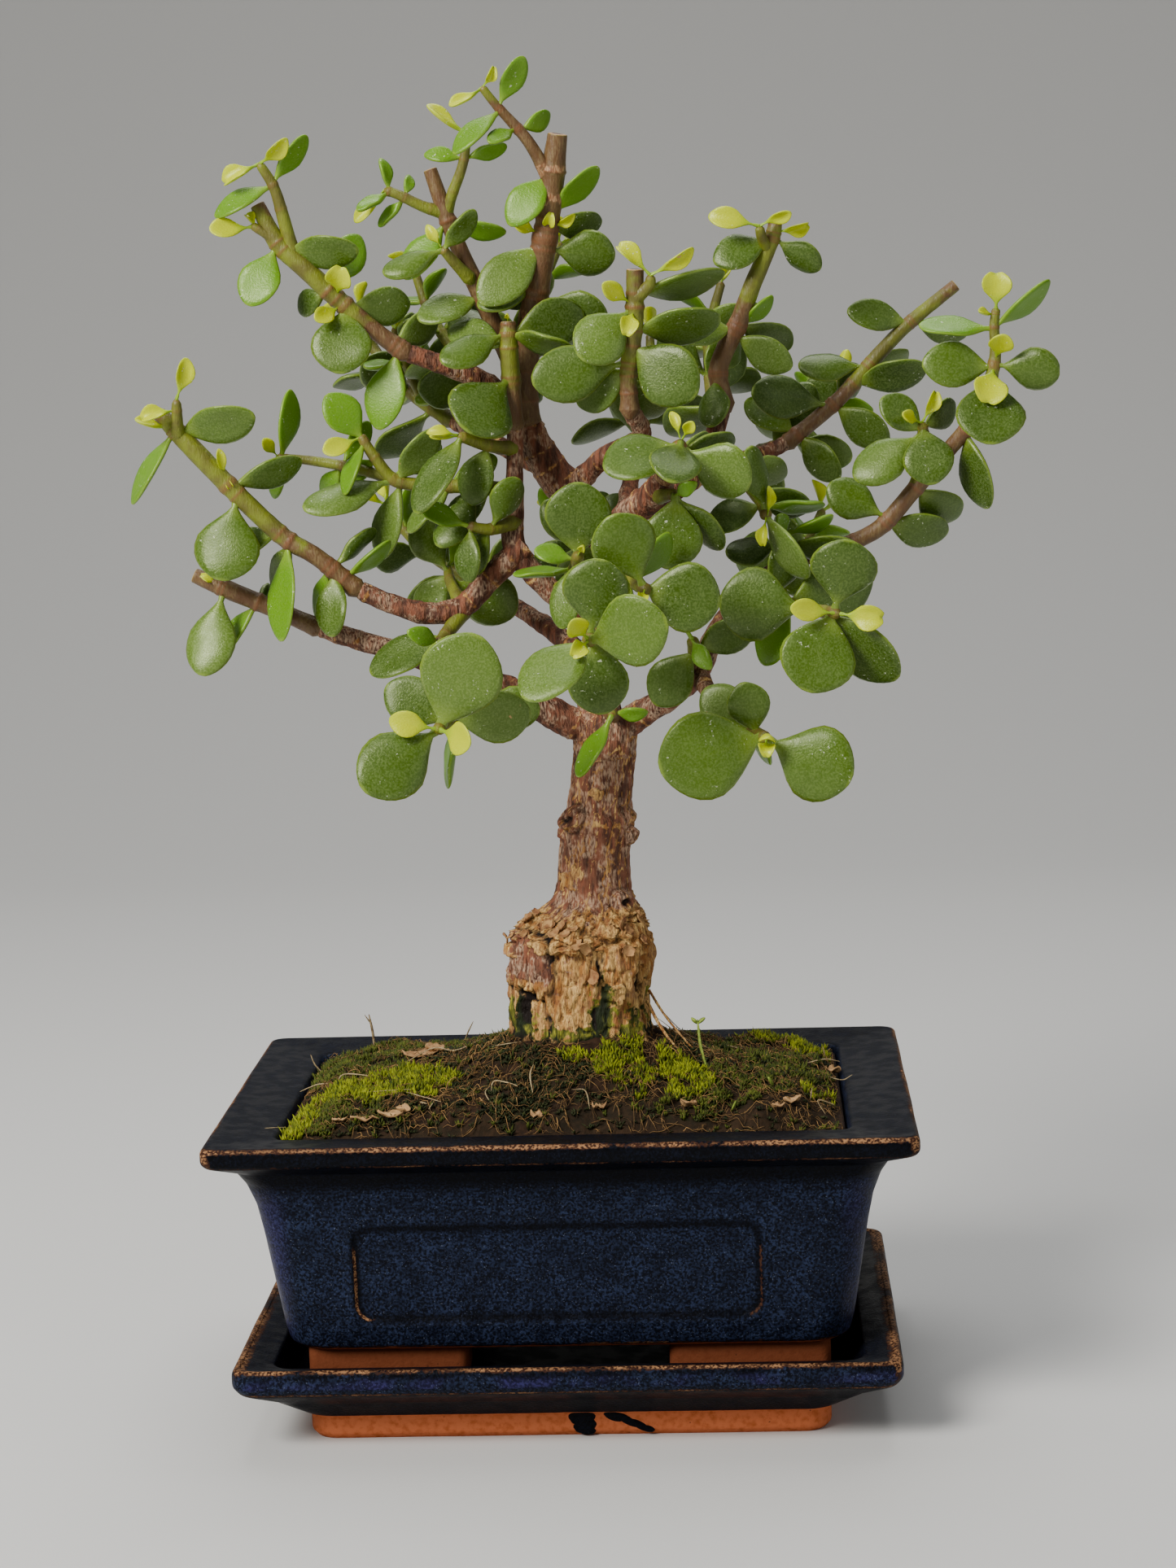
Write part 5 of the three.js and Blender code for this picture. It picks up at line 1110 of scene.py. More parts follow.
    def meets_stems(self, leaf: Leaf) -> bool:
        """Tells whether a leaf runs into a stem or a bough."""
        away = np.linalg.norm(self.beads - leaf.start, axis=1)
        own = (self.nodes == leaf.plan.node) & (away < self.radii + self.OWN_STEM)
        near = ~own & (away <= leaf.length + self.radii + self.SEARCH)
        beads, radii = self.beads[near], self.radii[near]
        gaps = np.linalg.norm(leaf.samples[:, None] - beads[None], axis=-1)
        hit = gaps < leaf.halves[:, None] + radii[None] + self.CLEAR
        return bool(hit.any() or self.touches(self.facts([leaf]), beads[None], radii[None]).any())

    def place(self, plan: Plan) -> None:
        """Puts a planned leaf in the first way of turning and shrinking it that is clear, or drops it."""
        for shrink in SHRINKS:
            for turn in TURNS:
                leaf = Leaf(plan, turn, shrink)
                if not self.meets_leaves(leaf) and not self.meets_stems(leaf):
                    self.placed.append(leaf)
                    return


@dataclass
class Shoot:
    """One leafy stem of a spray."""

    node: str
    route: Route
    plans: list[Plan]
    cut: bool = False


class Growth:
    """The whole plant: its boughs, its shoots and its placed leaves."""

    BEADS_PER_KNOT = 5
    FIRST, LAST = 0.14, 0.98
    OPEN, YOUNG_OPEN, YOUNG_LENGTH = 66, 38, 0.8

    def __init__(self) -> None:
        """Grows the plant from the tables."""
        self.boughs = [(name, Route(points)) for name, points, _ in read_table(BOUGH_ROWS)]
        self.shoots: list[Shoot] = []
        for node, points, leaves in read_table(SHOOT_ROWS):
            first = all(shoot.node != node for shoot in self.shoots)
            route = Route(points)
            self.shoots.append(Shoot(node, route, self.hand_plans(node, route, leaves), first and node in CUT_TIPS))
        for node, points, (pairs,) in read_table(PAIRED_ROWS):
            route = Route(points)
            self.shoots.append(Shoot(node, route, self.pair_plans(node, route, *pairs)))
        stems = [("trunk_and_boughs", route) for _, route in self.boughs]
        spacing = Spacing(stems + [(shoot.node, shoot.route) for shoot in self.shoots], self.BEADS_PER_KNOT)
        for shoot in self.shoots:
            for plan in shoot.plans:
                spacing.place(plan)
        self.leaves = spacing.placed

    def hand_plans(self, node: str, route: Route, leaves: Sequence[list]) -> list[Plan]:
        """Plans the leaves of a shoot whose leaves are given one by one.

        Args:
            node: The shoot's node.
            route: Its stem.
            leaves: Its leaves, as the table gives them.

        Returns:
            The planned leaves.
        """
        kinds, plans = {kind.letter: kind for kind in LeafKind}, []
        for letter, share, bearing, lean, length, face, *width in leaves:
            size = width[0] if width else kinds[letter].width
            way = (share, bearing, lean, length, face, size)
            plans.append(Plan(node, kinds[letter], *way, route.at(share), route.radius(share)))
        return plans

    def pair_plans(
        self, node: str, route: Route, pairs: float, first_turn: float, longest: float, shortest: float
    ) -> list[Plan]:
        """Plans opposite pairs of leaves, each pair turned a quarter from the last.

        Args:
            node: The shoot's node.
            route: Its stem.
            pairs: How many pairs.
            first_turn: Turn of the first pair about the stem, in degrees.
            longest: Length of the first leaves.
            shortest: Length of the last leaves.

        Returns:
            The planned leaves.
        """
        plans = []
        for i in range(int(pairs)):
            place = i / (pairs - 1)
            share = self.FIRST + (self.LAST - self.FIRST) * place
            kind = {0: LeafKind.YOUNG, 1: LeafKind.FRESH}.get(pairs - 1 - i, LeafKind.GROWN)
            young = kind is LeafKind.YOUNG
            length = (longest + (shortest - longest) * place) * (self.YOUNG_LENGTH if young else 1)
            for half in (0, 180):
                turn = math.radians(first_turn + 90 * i + half)
                opened = math.radians(self.YOUNG_OPEN if young else self.OPEN)
                bearing, lean, face = self.paired_way(route.direction(share), turn, opened)
                way = (share, bearing, lean, length, face, kind.width)
                plans.append(Plan(node, kind, *way, route.at(share), route.radius(share)))
        return plans

    @staticmethod
    def paired_way(along: Array, turn: float, opened: float) -> tuple[float, float, float]:
        """The bearing, lean and face of a leaf of a pair, in degrees.

        Args:
            along: The stem's direction.
            turn: Turn about the stem, in radians.
            opened: Angle between leaf and stem, in radians.

        Returns:
            Bearing, lean and face.
        """
        up = np.array([0.0, 0.0, 1.0])
        up = unit(up - along * (up @ along))
        side = np.cross(along, up)
        out = along * math.cos(opened) + math.sin(opened) * (up * math.cos(turn) + side * math.sin(turn))
        normal = unit(along - out * (along @ out))
        bearing, lean = math.degrees(math.atan2(out[0], out[2])), math.degrees(math.asin(-out[1]))
        flat = leaf_frame(bearing, lean, 0)[1]
        return bearing, lean, math.degrees(math.atan2(normal @ np.cross(out, flat), normal @ flat))


# Geometry trees that grow finished meshes from plain guides


class GrowTree:
    """A geometry node tree that turns a guide object into finished mesh."""

    def __init__(self, name: str, **inputs: str) -> None:
        """Starts the tree.

        Args:
            name: The tree's name.
            **inputs: Kind of socket of each input after the guide and the finish.
        """
        self.tree = bpy.data.node_groups.new(name, "GeometryNodeTree")
        for key, kind in {"Guide": "Geometry", "Finish": "Material", **inputs}.items():
            self.tree.interface.new_socket(key, in_out="INPUT", socket_type=f"NodeSocket{kind}")
        self.tree.interface.new_socket("Grown", in_out="OUTPUT", socket_type="NodeSocketGeometry")
        self.sheet = Sheet(self.tree)
        self.enter = self.sheet.node("NodeGroupInput").outputs

    def named(self, key: str, kind: str = "FLOAT") -> Socket:
        """An attribute kept on the guide."""
        return self.sheet.node("GeometryNodeInputNamedAttribute", {"Name": key}, data_type=kind).outputs[0]

    def chance(self, seed: object, high: object = 1.0, low: object = 0.0) -> Socket:
        """A number by chance for each point."""
        return self.sheet.node("FunctionNodeRandomValue", {"Seed": seed, 2: low, 3: high}).outputs[1]

    def things(self, collection: Socket) -> bpy.types.Node:
        """The things of a collection, to be picked one by one."""
        feeds = {"Collection": collection, "Separate Children": True, "Reset Children": True}
        return self.sheet.node("GeometryNodeCollectionInfo", feeds)

    def close(self, grown: object) -> "GrowTree":
        """Ends the tree with real geometry in its finish."""
        real = self.sheet.node("GeometryNodeRealizeInstances", {0: grown})
        smooth = self.sheet.node("GeometryNodeSetShadeSmooth", {"Geometry": real, "Shade Smooth": True})
        dressed = self.sheet.node("GeometryNodeSetMaterial", {0: smooth, "Material": self.enter["Finish"]})
        self.sheet.node("NodeGroupOutput", {0: dressed})
        return self

    def grow(self, guide: Object, **values: object) -> Object:
        """Runs the tree on a guide and keeps what it makes as a plain mesh.

        Args:
            guide: The guide, which is taken away.
            **values: Values of the tree's inputs.

        Returns:
            The grown object, with the guide's name.
        """
        modifier = guide.modifiers.new(self.tree.name, "NODES")
        modifier.node_group = self.tree
        for item in self.tree.interface.items_tree:
            if item.in_out == "INPUT" and item.name in values:
                modifier[item.identifier] = values[item.name]
        mesh, name = baked_mesh(guide), guide.name
        bpy.data.objects.remove(guide)
        mesh.name = name
        return link(bpy.data.objects.new(name, mesh))


def tube_tree(name: str, sides: int) -> GrowTree:
    """Round wood of a number of sides along lines of points that carry their own thickness."""
    grown = GrowTree(name, Relief="Float", Bump="Float", Seed="Float")
    sheet, enter, thick = grown.sheet, grown.enter, grown.named("thick")
    line = sheet.node("GeometryNodeMeshToCurve", {0: enter["Guide"]})
    section = sheet.node("GeometryNodeCurvePrimitiveCircle", {"Resolution": sides, "Radius": 1.0})
    feeds = {"Curve": line, "Profile Curve": section, "Scale": thick, "Fill Caps": True}
    tube = sheet.node("GeometryNodeCurveToMesh", feeds)
    place = sheet.node("GeometryNodeInputPosition")
    place = sheet.node("ShaderNodeVectorMath", {0: place, 1: (1.0, 1.0, 0.45)}, operation="MULTIPLY")
    feeds = {"Vector": place, "W": enter["Seed"], "Scale": sheet.math("DIVIDE", 1.0, enter["Bump"]), "Detail": 2.0}
    rough = sheet.node("ShaderNodeTexNoise", feeds, noise_dimensions="4D").outputs[0]
    depth = sheet.times(sheet.plus(rough, -0.5), enter["Relief"], thick)
    out = sheet.node("ShaderNodeVectorMath", {0: sheet.node("GeometryNodeInputNormal"), 3: depth}, operation="SCALE")
    return grown.close(sheet.node("GeometryNodeSetPosition", {"Geometry": tube, "Offset": out}))


def scatter_tree() -> GrowTree:
    """Small things scattered over a guide's faces, thick where its own density says so."""
    grown = GrowTree("scattered_over_faces", Things="Collection", Density="Float", Smallest="Float", Largest="Float",
                     Lean="Float", Follow="Float", Seed="Int")
    sheet, enter = grown.sheet, grown.enter
    feeds = {"Mesh": enter["Guide"], "Density": sheet.times(grown.named("density"), enter["Density"]), "Seed": enter["Seed"]}
    spread = sheet.node("GeometryNodeDistributePointsOnFaces", feeds).outputs
    level = sheet.node("ShaderNodeCombineXYZ", {0: grown.chance(9, enter["Lean"]), 2: grown.chance(5, math.tau)})
    feeds = {"Rotation": level, "Factor": enter["Follow"], "Vector": spread["Normal"]}
    upright = sheet.node("FunctionNodeAlignRotationToVector", feeds, axis="Z")
    kind = sheet.node("FunctionNodeRandomValue", {"Seed": 3, 5: 5}, data_type="INT").outputs[2]
    placed = sheet.node("GeometryNodeInstanceOnPoints", {
        "Points": spread["Points"], "Instance": grown.things(enter["Things"]), "Pick Instance": True,
        "Instance Index": kind, "Rotation": upright,
        "Scale": grown.chance(enter["Seed"], enter["Largest"], enter["Smallest"]),
    })
    feeds = {"Geometry": placed, "Name": "tone", "Value": grown.chance(7)}
    return grown.close(sheet.node("GeometryNodeStoreNamedAttribute", feeds, data_type="FLOAT", domain="INSTANCE"))


def leaf_tree() -> GrowTree:
    """Leaves on the points of a guide, each turned, sized and picked by the numbers that its point carries."""
    grown = GrowTree("leaves_on_points", Forms="Collection")
    sheet, enter = grown.sheet, grown.enter
    turned = sheet.node("FunctionNodeAxesToRotation", {
        "Primary Axis": grown.named("leaf_along", "FLOAT_VECTOR"),
        "Secondary Axis": grown.named("leaf_normal", "FLOAT_VECTOR"),
    }, primary_axis="Y", secondary_axis="Z")
    return grown.close(sheet.node("GeometryNodeInstanceOnPoints", {
        "Points": sheet.node("GeometryNodeMeshToPoints", {"Mesh": enter["Guide"]}),
        "Instance": grown.things(enter["Forms"]), "Pick Instance": True,
        "Instance Index": grown.named("leaf_form", "INT"), "Rotation": turned,
        "Scale": grown.named("leaf_scale", "FLOAT_VECTOR"),
    }))


class Trees:
    """The geometry trees that the sub-assemblies share, built once."""

    def __init__(self) -> None:
        """Builds the trees."""
        self.wood, self.stem, self.thread = tube_tree("round_wood", 28), tube_tree("round_stem", 14), tube_tree("thread", 3)
        self.scatter, self.leaves = scatter_tree(), leaf_tree()


# Fired clay: the saucer and the pot


def wood_guide(name: str, rows: Iterable[Line]) -> Object:
    """Makes a guide for round wood from the points, thickness and marks of each line, in millimetres."""
    points, edges, marks = [], [], {"thick": []}
    for line, wide, own in rows:
        edges.extend((len(points) + k, len(points) + k + 1) for k in range(len(line) - 1))
        points.extend(line)
        for key, values in {"thick": wide * MM, **own}.items():
            marks.setdefault(key, []).extend(values)
    return make_object(name, np.array(points) * MM, marks=marks, edges=edges)


def round_corners(rows: Array, reach: float, steps: int) -> Array:
    """Rounds the inner corners of an open outline.

    Args:
        rows: Rows of numbers that run along the outline.
        reach: How far from a corner its rounding starts.
        steps: Points on each rounding.

    Returns:
        The rounded outline.
    """
    out = [rows[0]]
    for before, corner, after in zip(rows, rows[1:], rows[2:]):
        entry, leave = (
            corner + (end - corner) * min(0.45, reach / np.linalg.norm((end - corner)[:3])) for end in (before, after)
        )
        out += [(1 - t) ** 2 * entry + 2 * t * (1 - t) * corner + t * t * leave for t in np.linspace(0, 1, steps)]
    return np.array([*out, rows[-1]])


def subdivide(rows: Array, step: float) -> Array:
    """Adds rows where two neighbours stand further apart than a step."""
    out = [rows[0]]
    for start, end in zip(rows, rows[1:]):
        parts = max(1, math.ceil(np.linalg.norm((end - start)[:3]) / step))
        out.extend(start + (end - start) * k / parts for k in range(1, parts + 1))
    return np.array(out)


@dataclass
class Clay:
    """A rectangular fired piece with rounded corners, lofted from levels of half x, half y, z and corner."""

    finish: GlazedClay

    NAME: ClassVar[str]
    LEVELS: ClassVar[Sequence[Knot]]
    EXTRA_MARKS: ClassVar[dict[str, float]]
    CORNER, SIDE, ROW_STEP, ROUNDING, WOBBLE = 12, 30, 1.0, 0.7, 0.22
    STRAIGHT, NEAR_END = np.arange(-46.4, 46.5, 1.6), np.arange(-2.8, 3.1, 0.4)
    FIXED = np.unique(np.concatenate([STRAIGHT, NEAR_END - 43, NEAR_END + 43]).round(2))

    def ring(self, half_x: float, half_y: float, corner: float) -> Array:
        """One level's outline, anticlockwise from the right-hand front corner.

        Args:
            half_x: Half the width.
            half_y: Half the depth.
            corner: Radius of the corners.

        Returns:
            Rows of x and y.
        """
        ax, ay = half_x - corner, half_y - corner
        arc = np.linspace(0, math.pi / 2, self.CORNER + 1)
        quarter = np.stack([np.sin(arc), -np.cos(arc)], 1) * corner + (ax, -ay)
        side = np.linspace(-ay, ay, self.SIDE + 1)[1:-1]
        right = np.stack([np.full(len(side), half_x), side], 1)
        ends = np.linspace(self.FIXED[-1], ax, 5)[1:-1]
        along = np.concatenate([ends[::-1], self.FIXED[::-1], -ends])
        back = np.stack([along, np.full(len(along), half_y)], 1)
        half = np.concatenate([quarter, right, quarter[::-1] * (1, -1), back])
        return np.concatenate([half, -half])

    def shape(self, points: Array) -> Array:
        """Presses the piece's own relief into its points. In millimetres."""
        return points

    def marks(self, points: Array) -> Marks:
        """The worn edges, dark bands and violet patches that the glaze reads; the dark bands are partly painted shade,
        and the violet mark paints shade on bare clay. Points are in millimetres.
        """
        return {key: np.zeros(len(points)) for key in ("edge", "dark", "bloom", "drip")}

    def extras(self) -> list[tuple[Array, list]]:
        """Further closed bodies of the same piece, as points in millimetres and faces."""
        raise NotImplementedError

    def build(self) -> Object:
        """Lofts the piece.

        Returns:
            The finished object.
        """
        levels = subdivide(round_corners(np.array(self.LEVELS), self.ROUNDING, 5), self.ROW_STEP)
        points, faces = stack_rings((self.ring(x, y, corner) for x, y, _, corner in levels), levels[:, 2])
        inward = unit(np.array([1.0, 1.0, 0.0])) * np.sign(points)
        sunk = (soft_noise(points, 17.0, 3, 2) * 0.5 + 0.5) * self.WOBBLE
        points = self.shape(points - inward * sunk[:, None])
        marks, finish = self.marks(points), self.finish.build()
        made = make_object(self.NAME, points * MM, faces, [finish], marks)
        for more, more_faces in self.extras():
            own = {key: np.full(len(more), self.EXTRA_MARKS.get(key, 0.0)) for key in marks}
            made = join_pieces([made, make_object("extra", more * MM, more_faces, [finish], own)])
        return made


def rounded_block(centre: Knot, size: Knot, corner: float) -> tuple[Array, list[tuple[int, ...]]]:
    """A block with soft edges.

    Args:
        centre: Its middle.
        size: Its three sizes.
        corner: Radius of its edges.

    Returns:
        Points and faces.
    """
    hx, hy, hz = (s / 2 for s in size)
    arc = np.linspace(0, math.pi / 2, 5)
    levels = [(corner * (1 - math.sin(a)), -hz + corner * (1 - math.cos(a))) for a in arc]
    levels += [(inset, -z) for inset, z in levels[::-1]]
    flats = []
    for inset, _ in levels:
        quarters = []
        for turn, way in enumerate(((1, -1), (1, 1), (-1, 1), (-1, -1)), -1):
            a = arc + turn * math.pi / 2
            quarters.append(np.stack([np.cos(a), np.sin(a)], 1) * (corner - inset) + np.array(way) * (hx - corner, hy - corner))
        flats.append(np.concatenate(quarters))
    points, faces = stack_rings(flats, [z for _, z in levels])
    return points + centre, faces


class Saucer(Clay):
    """The saucer: a shallow glazed dish on a bare clay foot."""

    NAME = "saucer_clay"
    LEVELS = (
        (54.8, 40.6, 0, 5), (56, 41.8, 1.3, 6), (56, 41.8, 5.3, 6), (57.3, 43.1, 5.7, 6.5), (64.8, 47, 9.8, 7),
        (69.4, 51.6, 12.6, 4), (70.0, 52.2, 13.2, 4), (71, 53.2, 14.8, 4), (71, 53.2, 17.6, 4), (70.4, 52.6, 18.6, 4),
        (69.4, 51.6, 18.6, 4), (69.2, 51.4, 18.3, 4), (63, 45.2, 17, 4.5), (62.4, 44.6, 16, 5), (59.8, 42, 11, 6),
    )
    RIDGES = ((18.5, 0.7, 1.0), (13.2, 0.4, 0.8))
    EXTRA_MARKS = {"dark": 1.0, "drip": 1.0}
    DRIPS = (
        (2.6, 4.4, 2.9, 2.2, 0.0), (3.2, 2.4, 2.5, 1.8, 0.1), (3.8, 1.2, 1.7, 1.0, 0.0), (9.4, 4.6, 2.4, 1.4, -0.3),
        (12.0, 3.6, 2.6, 1.1, -0.55), (14.9, 2.3, 2.2, 1.0, -0.5), (16.6, 1.5, 1.5, 0.8, -0.2),
    )

    def marks(self, points: Array) -> Marks:
        """Two dotted brown ridges, and the dark undercut below them, which is dark glaze with painted shade."""
        x, y, z = points.T
        outer = smooth_step(np.maximum(np.abs(x) - 67, np.abs(y) - 49.5), 0, 1.2)
        dots = soft_noise(points, 1.7, 4) * 0.5 + soft_noise(points, 7.0, 8) * 0.45
        edge = sum(power * hump(z, at, wide) for at, wide, power in self.RIDGES) * outer
        corner = smooth_step(np.minimum(np.abs(x) - 68, np.abs(y) - 50), 0, 1.5) * smooth_step(z, 13, 14.5)
        # Painted shade with dark glaze on the underside below the rim; the inside of the rim is darkened too.
        basin = smooth_step(np.maximum(np.abs(x) - 66, np.abs(y) - 48), 4.5, 3.0)
        dark = np.maximum(smooth_step(z, 13.8, 13.0) * 0.97, basin * smooth_step(z, 12, 14) * 0.85)
        blotch = soft_noise(points, 9.0, 9, 2)
        dark = np.maximum(dark, outer * smooth_step(z + blotch * 1.4, 16.2, 17.4) * 0.8)
        bloom = outer * smooth_step(z, 14.2, 15) * smooth_step(z, 17.6, 16.6) * (0.4 + dots + blotch)
        edge = edge * (0.8 + dots * 0.5) + corner * (0.35 + dots)
        return {**super().marks(points), "edge": np.clip(edge, 0, 1), "dark": dark, "bloom": np.clip(bloom, 0, 1)}

    def extras(self) -> list[tuple[Array, list]]:
        """Drips of glaze that ran down the front of the foot."""
        bodies, arc = [], np.linspace(0, math.tau, 12, endpoint=False)
        for x, z, half_x, half_z, slant in self.DRIPS:
            rings = []
            for t in np.linspace(-1, 1, 9):
                half = math.sqrt(1 - t * t * 0.98)
                down = np.maximum(z + slant * t * half_x - half_z * half * np.sin(arc), 0.3)
                rings.append(np.column_stack([np.full(12, x + t * half_x), -41.65 - 0.4 * half * np.cos(arc), down]))
            ends = [rings[0].mean(0), rings[-1].mean(0)]
            bodies.append((np.concatenate([*rings, ends]), ring_faces(9, 12)))
        return bodies


class Pot(Clay):
    """The pot: a glazed rectangular tray with a flat flange, a recessed panel front and back, and four feet."""

    NAME = "pot_clay"
    LEVELS = (
        (59, 40, 19.4, 9), (60.4, 41.4, 20.4, 9.5), (61.3, 42.3, 24, 9.5), (62.8, 43.8, 34, 9), (64.6, 45.6, 46, 9),
        (65.7, 46.7, 52, 8.5), (67.4, 48.4, 57, 8), (69.2, 50.2, 60.6, 6), (74.2, 55.2, 63, 3), (75, 56, 64, 3),
        (75, 56, 66.6, 3), (74.2, 55.2, 67.4, 3), (73, 54, 67.3, 3), (61.5, 42.5, 66.2, 3.5), (60.8, 41.8, 65.4, 4),
        (58.9, 39.9, 56, 6), (56, 37, 28, 8), (53.5, 34.5, 25.4, 6),
    )
    PANEL_MIDDLE, PANEL_HALF, PANEL_LOW, PANEL_HIGH, PANEL_DEEP, PANEL_CORNER = -1.5, 43.0, 26.4, 47.0, 0.8, 3.5
    PANEL = (PANEL_MIDDLE, PANEL_HALF, PANEL_LOW, PANEL_HIGH + 0.5, PANEL_CORNER)
    FOOT_X, FOOT_Y, FOOT_MIDDLE, FOOT_ROUND = 38.75, 32.65, 16.35, 2.2
    FOOT_SIZE = (34.5, 12.3, 10.1)
    HOLES, HOLE_RADIUS = (-26, 26), 5.0
    # Painted shade on the feet, which stand under the pot.
    EXTRA_MARKS = {"bloom": 0.85}

    def outside_panel(self, points: Array) -> Array:
        """Distance from each point of the front and back to the panel's border, below 0 within it."""
        x, _, z = points.T
        middle, half = (self.PANEL_LOW + self.PANEL_HIGH + 6) / 2, (self.PANEL_HIGH + 6 - self.PANEL_LOW) / 2
        across = np.abs(x - self.PANEL_MIDDLE) - self.PANEL_HALF + self.PANEL_CORNER
        tall = np.abs(z - middle) - half + self.PANEL_CORNER
        away = np.hypot(np.maximum(across, 0), np.maximum(tall, 0)) + np.minimum(np.maximum(across, tall), 0)
        return away - self.PANEL_CORNER

    def shape(self, points: Array) -> Array:
        """Presses in the two panels."""
        sunk = points.copy()
        _, y, z = points.T
        front = (np.abs(y) > 40) & (z > 22) & (z < 54)
        away = self.outside_panel(points)
        within = smooth_step(away, 0.45, -0.45) - 0.35 * hump(away, 1.0, 0.6)
        deep = np.where(front, within * smooth_step(z, self.PANEL_HIGH + 3, self.PANEL_HIGH - 5), 0.0)
        sunk[:, 1] -= np.sign(y) * deep * self.PANEL_DEEP
        return sunk

    def marks(self, points: Array) -> Marks:
        """Worn edges along the rim, at the corners and down the panel's ends, and the dark band under the flange, which
        is painted shade with dark glaze.
        """
        x, y, z = points.T
        outside = smooth_step(np.maximum(np.abs(x) - 56, np.abs(y) - 38), 0, 1)
        rim = np.maximum(np.abs(x) - 75, np.abs(y) - 56)
        patchy = soft_noise(points, 6.0, 21) * 0.4 + soft_noise(points, 1.6, 22) * 0.25
        edge = hump(z, 66.9, 0.65) * smooth_step(rim, -1.9, -0.9) * (0.85 + patchy)
        corner = smooth_step(np.minimum(np.abs(x) - 71.5, np.abs(y) - 52.5), 0, 2)
        chipped = corner * hump(z, 65, 2.2) * (0.5 + soft_noise(points, 3.0, 25))
        # Painted shade under the overhanging flange, with dark glaze on the rim's outer face; the top of the flange is
        # darkened as well.
        under = smooth_step(z, 55.0, 58.4) * smooth_step(z, 66.6, 65.8) * smooth_step(rim, -12, -8)
        low = hump(z, 20.3, 0.4) * (0.5 + patchy)
        lip = 0.75 * hump(z, 63.2, 0.35) * smooth_step(rim, -2.2, -1.0) * (0.7 + patchy)
        ends = smooth_step(np.abs(x), 57, 62) * smooth_step(z, 60, 52) * (0.35 + 0.6 * patchy + 0.25 * (x < 0))
        edge = np.clip((edge + low + lip) * outside + chipped, 0, 1)
        dark = np.clip(under * 0.95 + smooth_step(z, 65.6, 66.2) * 0.8, 0, 1)
        return {**super().marks(points), "edge": edge, "dark": dark, "bloom": np.clip(ends * outside, 0, 1)}

    def extras(self) -> list[tuple[Array, list]]:
        """The four feet."""
        middles = [(sx * self.FOOT_X, sy * self.FOOT_Y, self.FOOT_MIDDLE) for sx in (-1, 1) for sy in (-1, 1)]
        return [rounded_block(middle, self.FOOT_SIZE, self.FOOT_ROUND) for middle in middles]

    def build(self) -> Object:
        """Lofts the pot and drills its two drain holes.

        Returns:
            The finished object.
        """
        pot = super().build()
        arc = np.linspace(0, math.tau, 32, endpoint=False)
        for x in self.HOLES:
            points, faces = stack_rings([np.stack([np.cos(arc), np.sin(arc)], 1) * self.HOLE_RADIUS + (x, 0)] * 2, (16, 30))
            drill = make_object("drill", points * MM, faces)
            cut = pot.modifiers.new("drain", "BOOLEAN")
            cut.operation, cut.solver, cut.object = "DIFFERENCE", "EXACT", drill
            mesh = baked_mesh(pot)
            pot.modifiers.clear()
            pot.data = mesh
            bpy.data.objects.remove(drill)
        return pot


# Soil, moss and what lies on them


@dataclass(frozen=True)
class Moss:
    """A kind of moss, in millimetres.

    Low, high and tint are its colours. It has a share everywhere besides its patches, each given as x, y, half x,
    half y and weight. Greening is how much it colours the soil, and tall and lean shape a spike of its tufts.
    """

    name: str
    low: Colour
    high: Colour
    tint: Colour
    everywhere: float
    greening: float
    per_mm2: float
    tall: float
    lean: float
    patches: Sequence[Knot]

    SPIKES, FORMS = 5, 6

    def cover(self, x: Array, y: Array) -> Array:
        """How thickly the moss covers each place, from 0 to 1."""
        total = np.max([
            0.66 * weight * smooth_step(np.hypot((x - at_x) / half_x, (y - at_y) / half_y), 1.3, 0.7)
            for at_x, at_y, half_x, half_y, weight in self.patches
        ], 0)
        flat = np.stack([x, y, np.zeros(x.shape)], -1)
        clumps = 1.2 * soft_noise(flat, 6.5, 41, 2) + 1.9 * soft_noise(flat, 2.2, 43, 2) - 0.08
        trunk = smooth_step(np.hypot(x - 4, y), 16.0, 18.5)
        inside = smooth_step(np.maximum(np.abs(x) - SoilBed.HALF[0], np.abs(y) - SoilBed.HALF[1]), 0, -2.0)
        return np.clip(total + clumps * (total > 0.02) + self.everywhere, 0, 1) * trunk * inside

    def tufts(self) -> bpy.types.Collection:
        """A collection of a few small tufts of thin leaning spikes."""
        made = []
        for form in range(self.FORMS):
            draw = np.random.default_rng(100 * form + len(self.name))
            points, faces = [], []
            for k in range(self.SPIKES):
                turn = math.tau * (k + draw.uniform(-0.3, 0.3)) / self.SPIKES
                out = self.lean * draw.uniform(0.4, 1.2) * (k > 0)
                way = np.array([math.cos(turn), math.sin(turn), 0])
                side = np.array([-way[1], way[0], 0])
                height, wide = self.tall * draw.uniform(0.6, 1.15), 0.32 * draw.uniform(0.8, 1.25)
                foot = way * 0.25 * (k > 0)
                middle, tip = foot + way * out * 0.35 + (0, 0, height * 0.55), foot + way * out + (0, 0, height)
                a, b, c, d, e, f, g = range(len(points), len(points) + 7)
                points += [foot - side * wide * 0.5, foot + side * wide * 0.5, foot + way * wide * 0.6,
                           middle - side * wide, middle + side * wide, middle + way * wide * 0.7, tip]
                faces += [(a, b, c), (a, d, e, b), (b, e, f, c), (c, f, d, a), (d, g, e), (e, g, f), (f, g, d)]
            tint = np.tile([1.0] * 3 + [0.35] * 3 + [0.0], self.SPIKES)
            made.append(make_object(f"tuft_{self.name}_{form}", points, faces, marks={"tint": tint}))
        return make_collection(f"tufts_{self.name}", made)


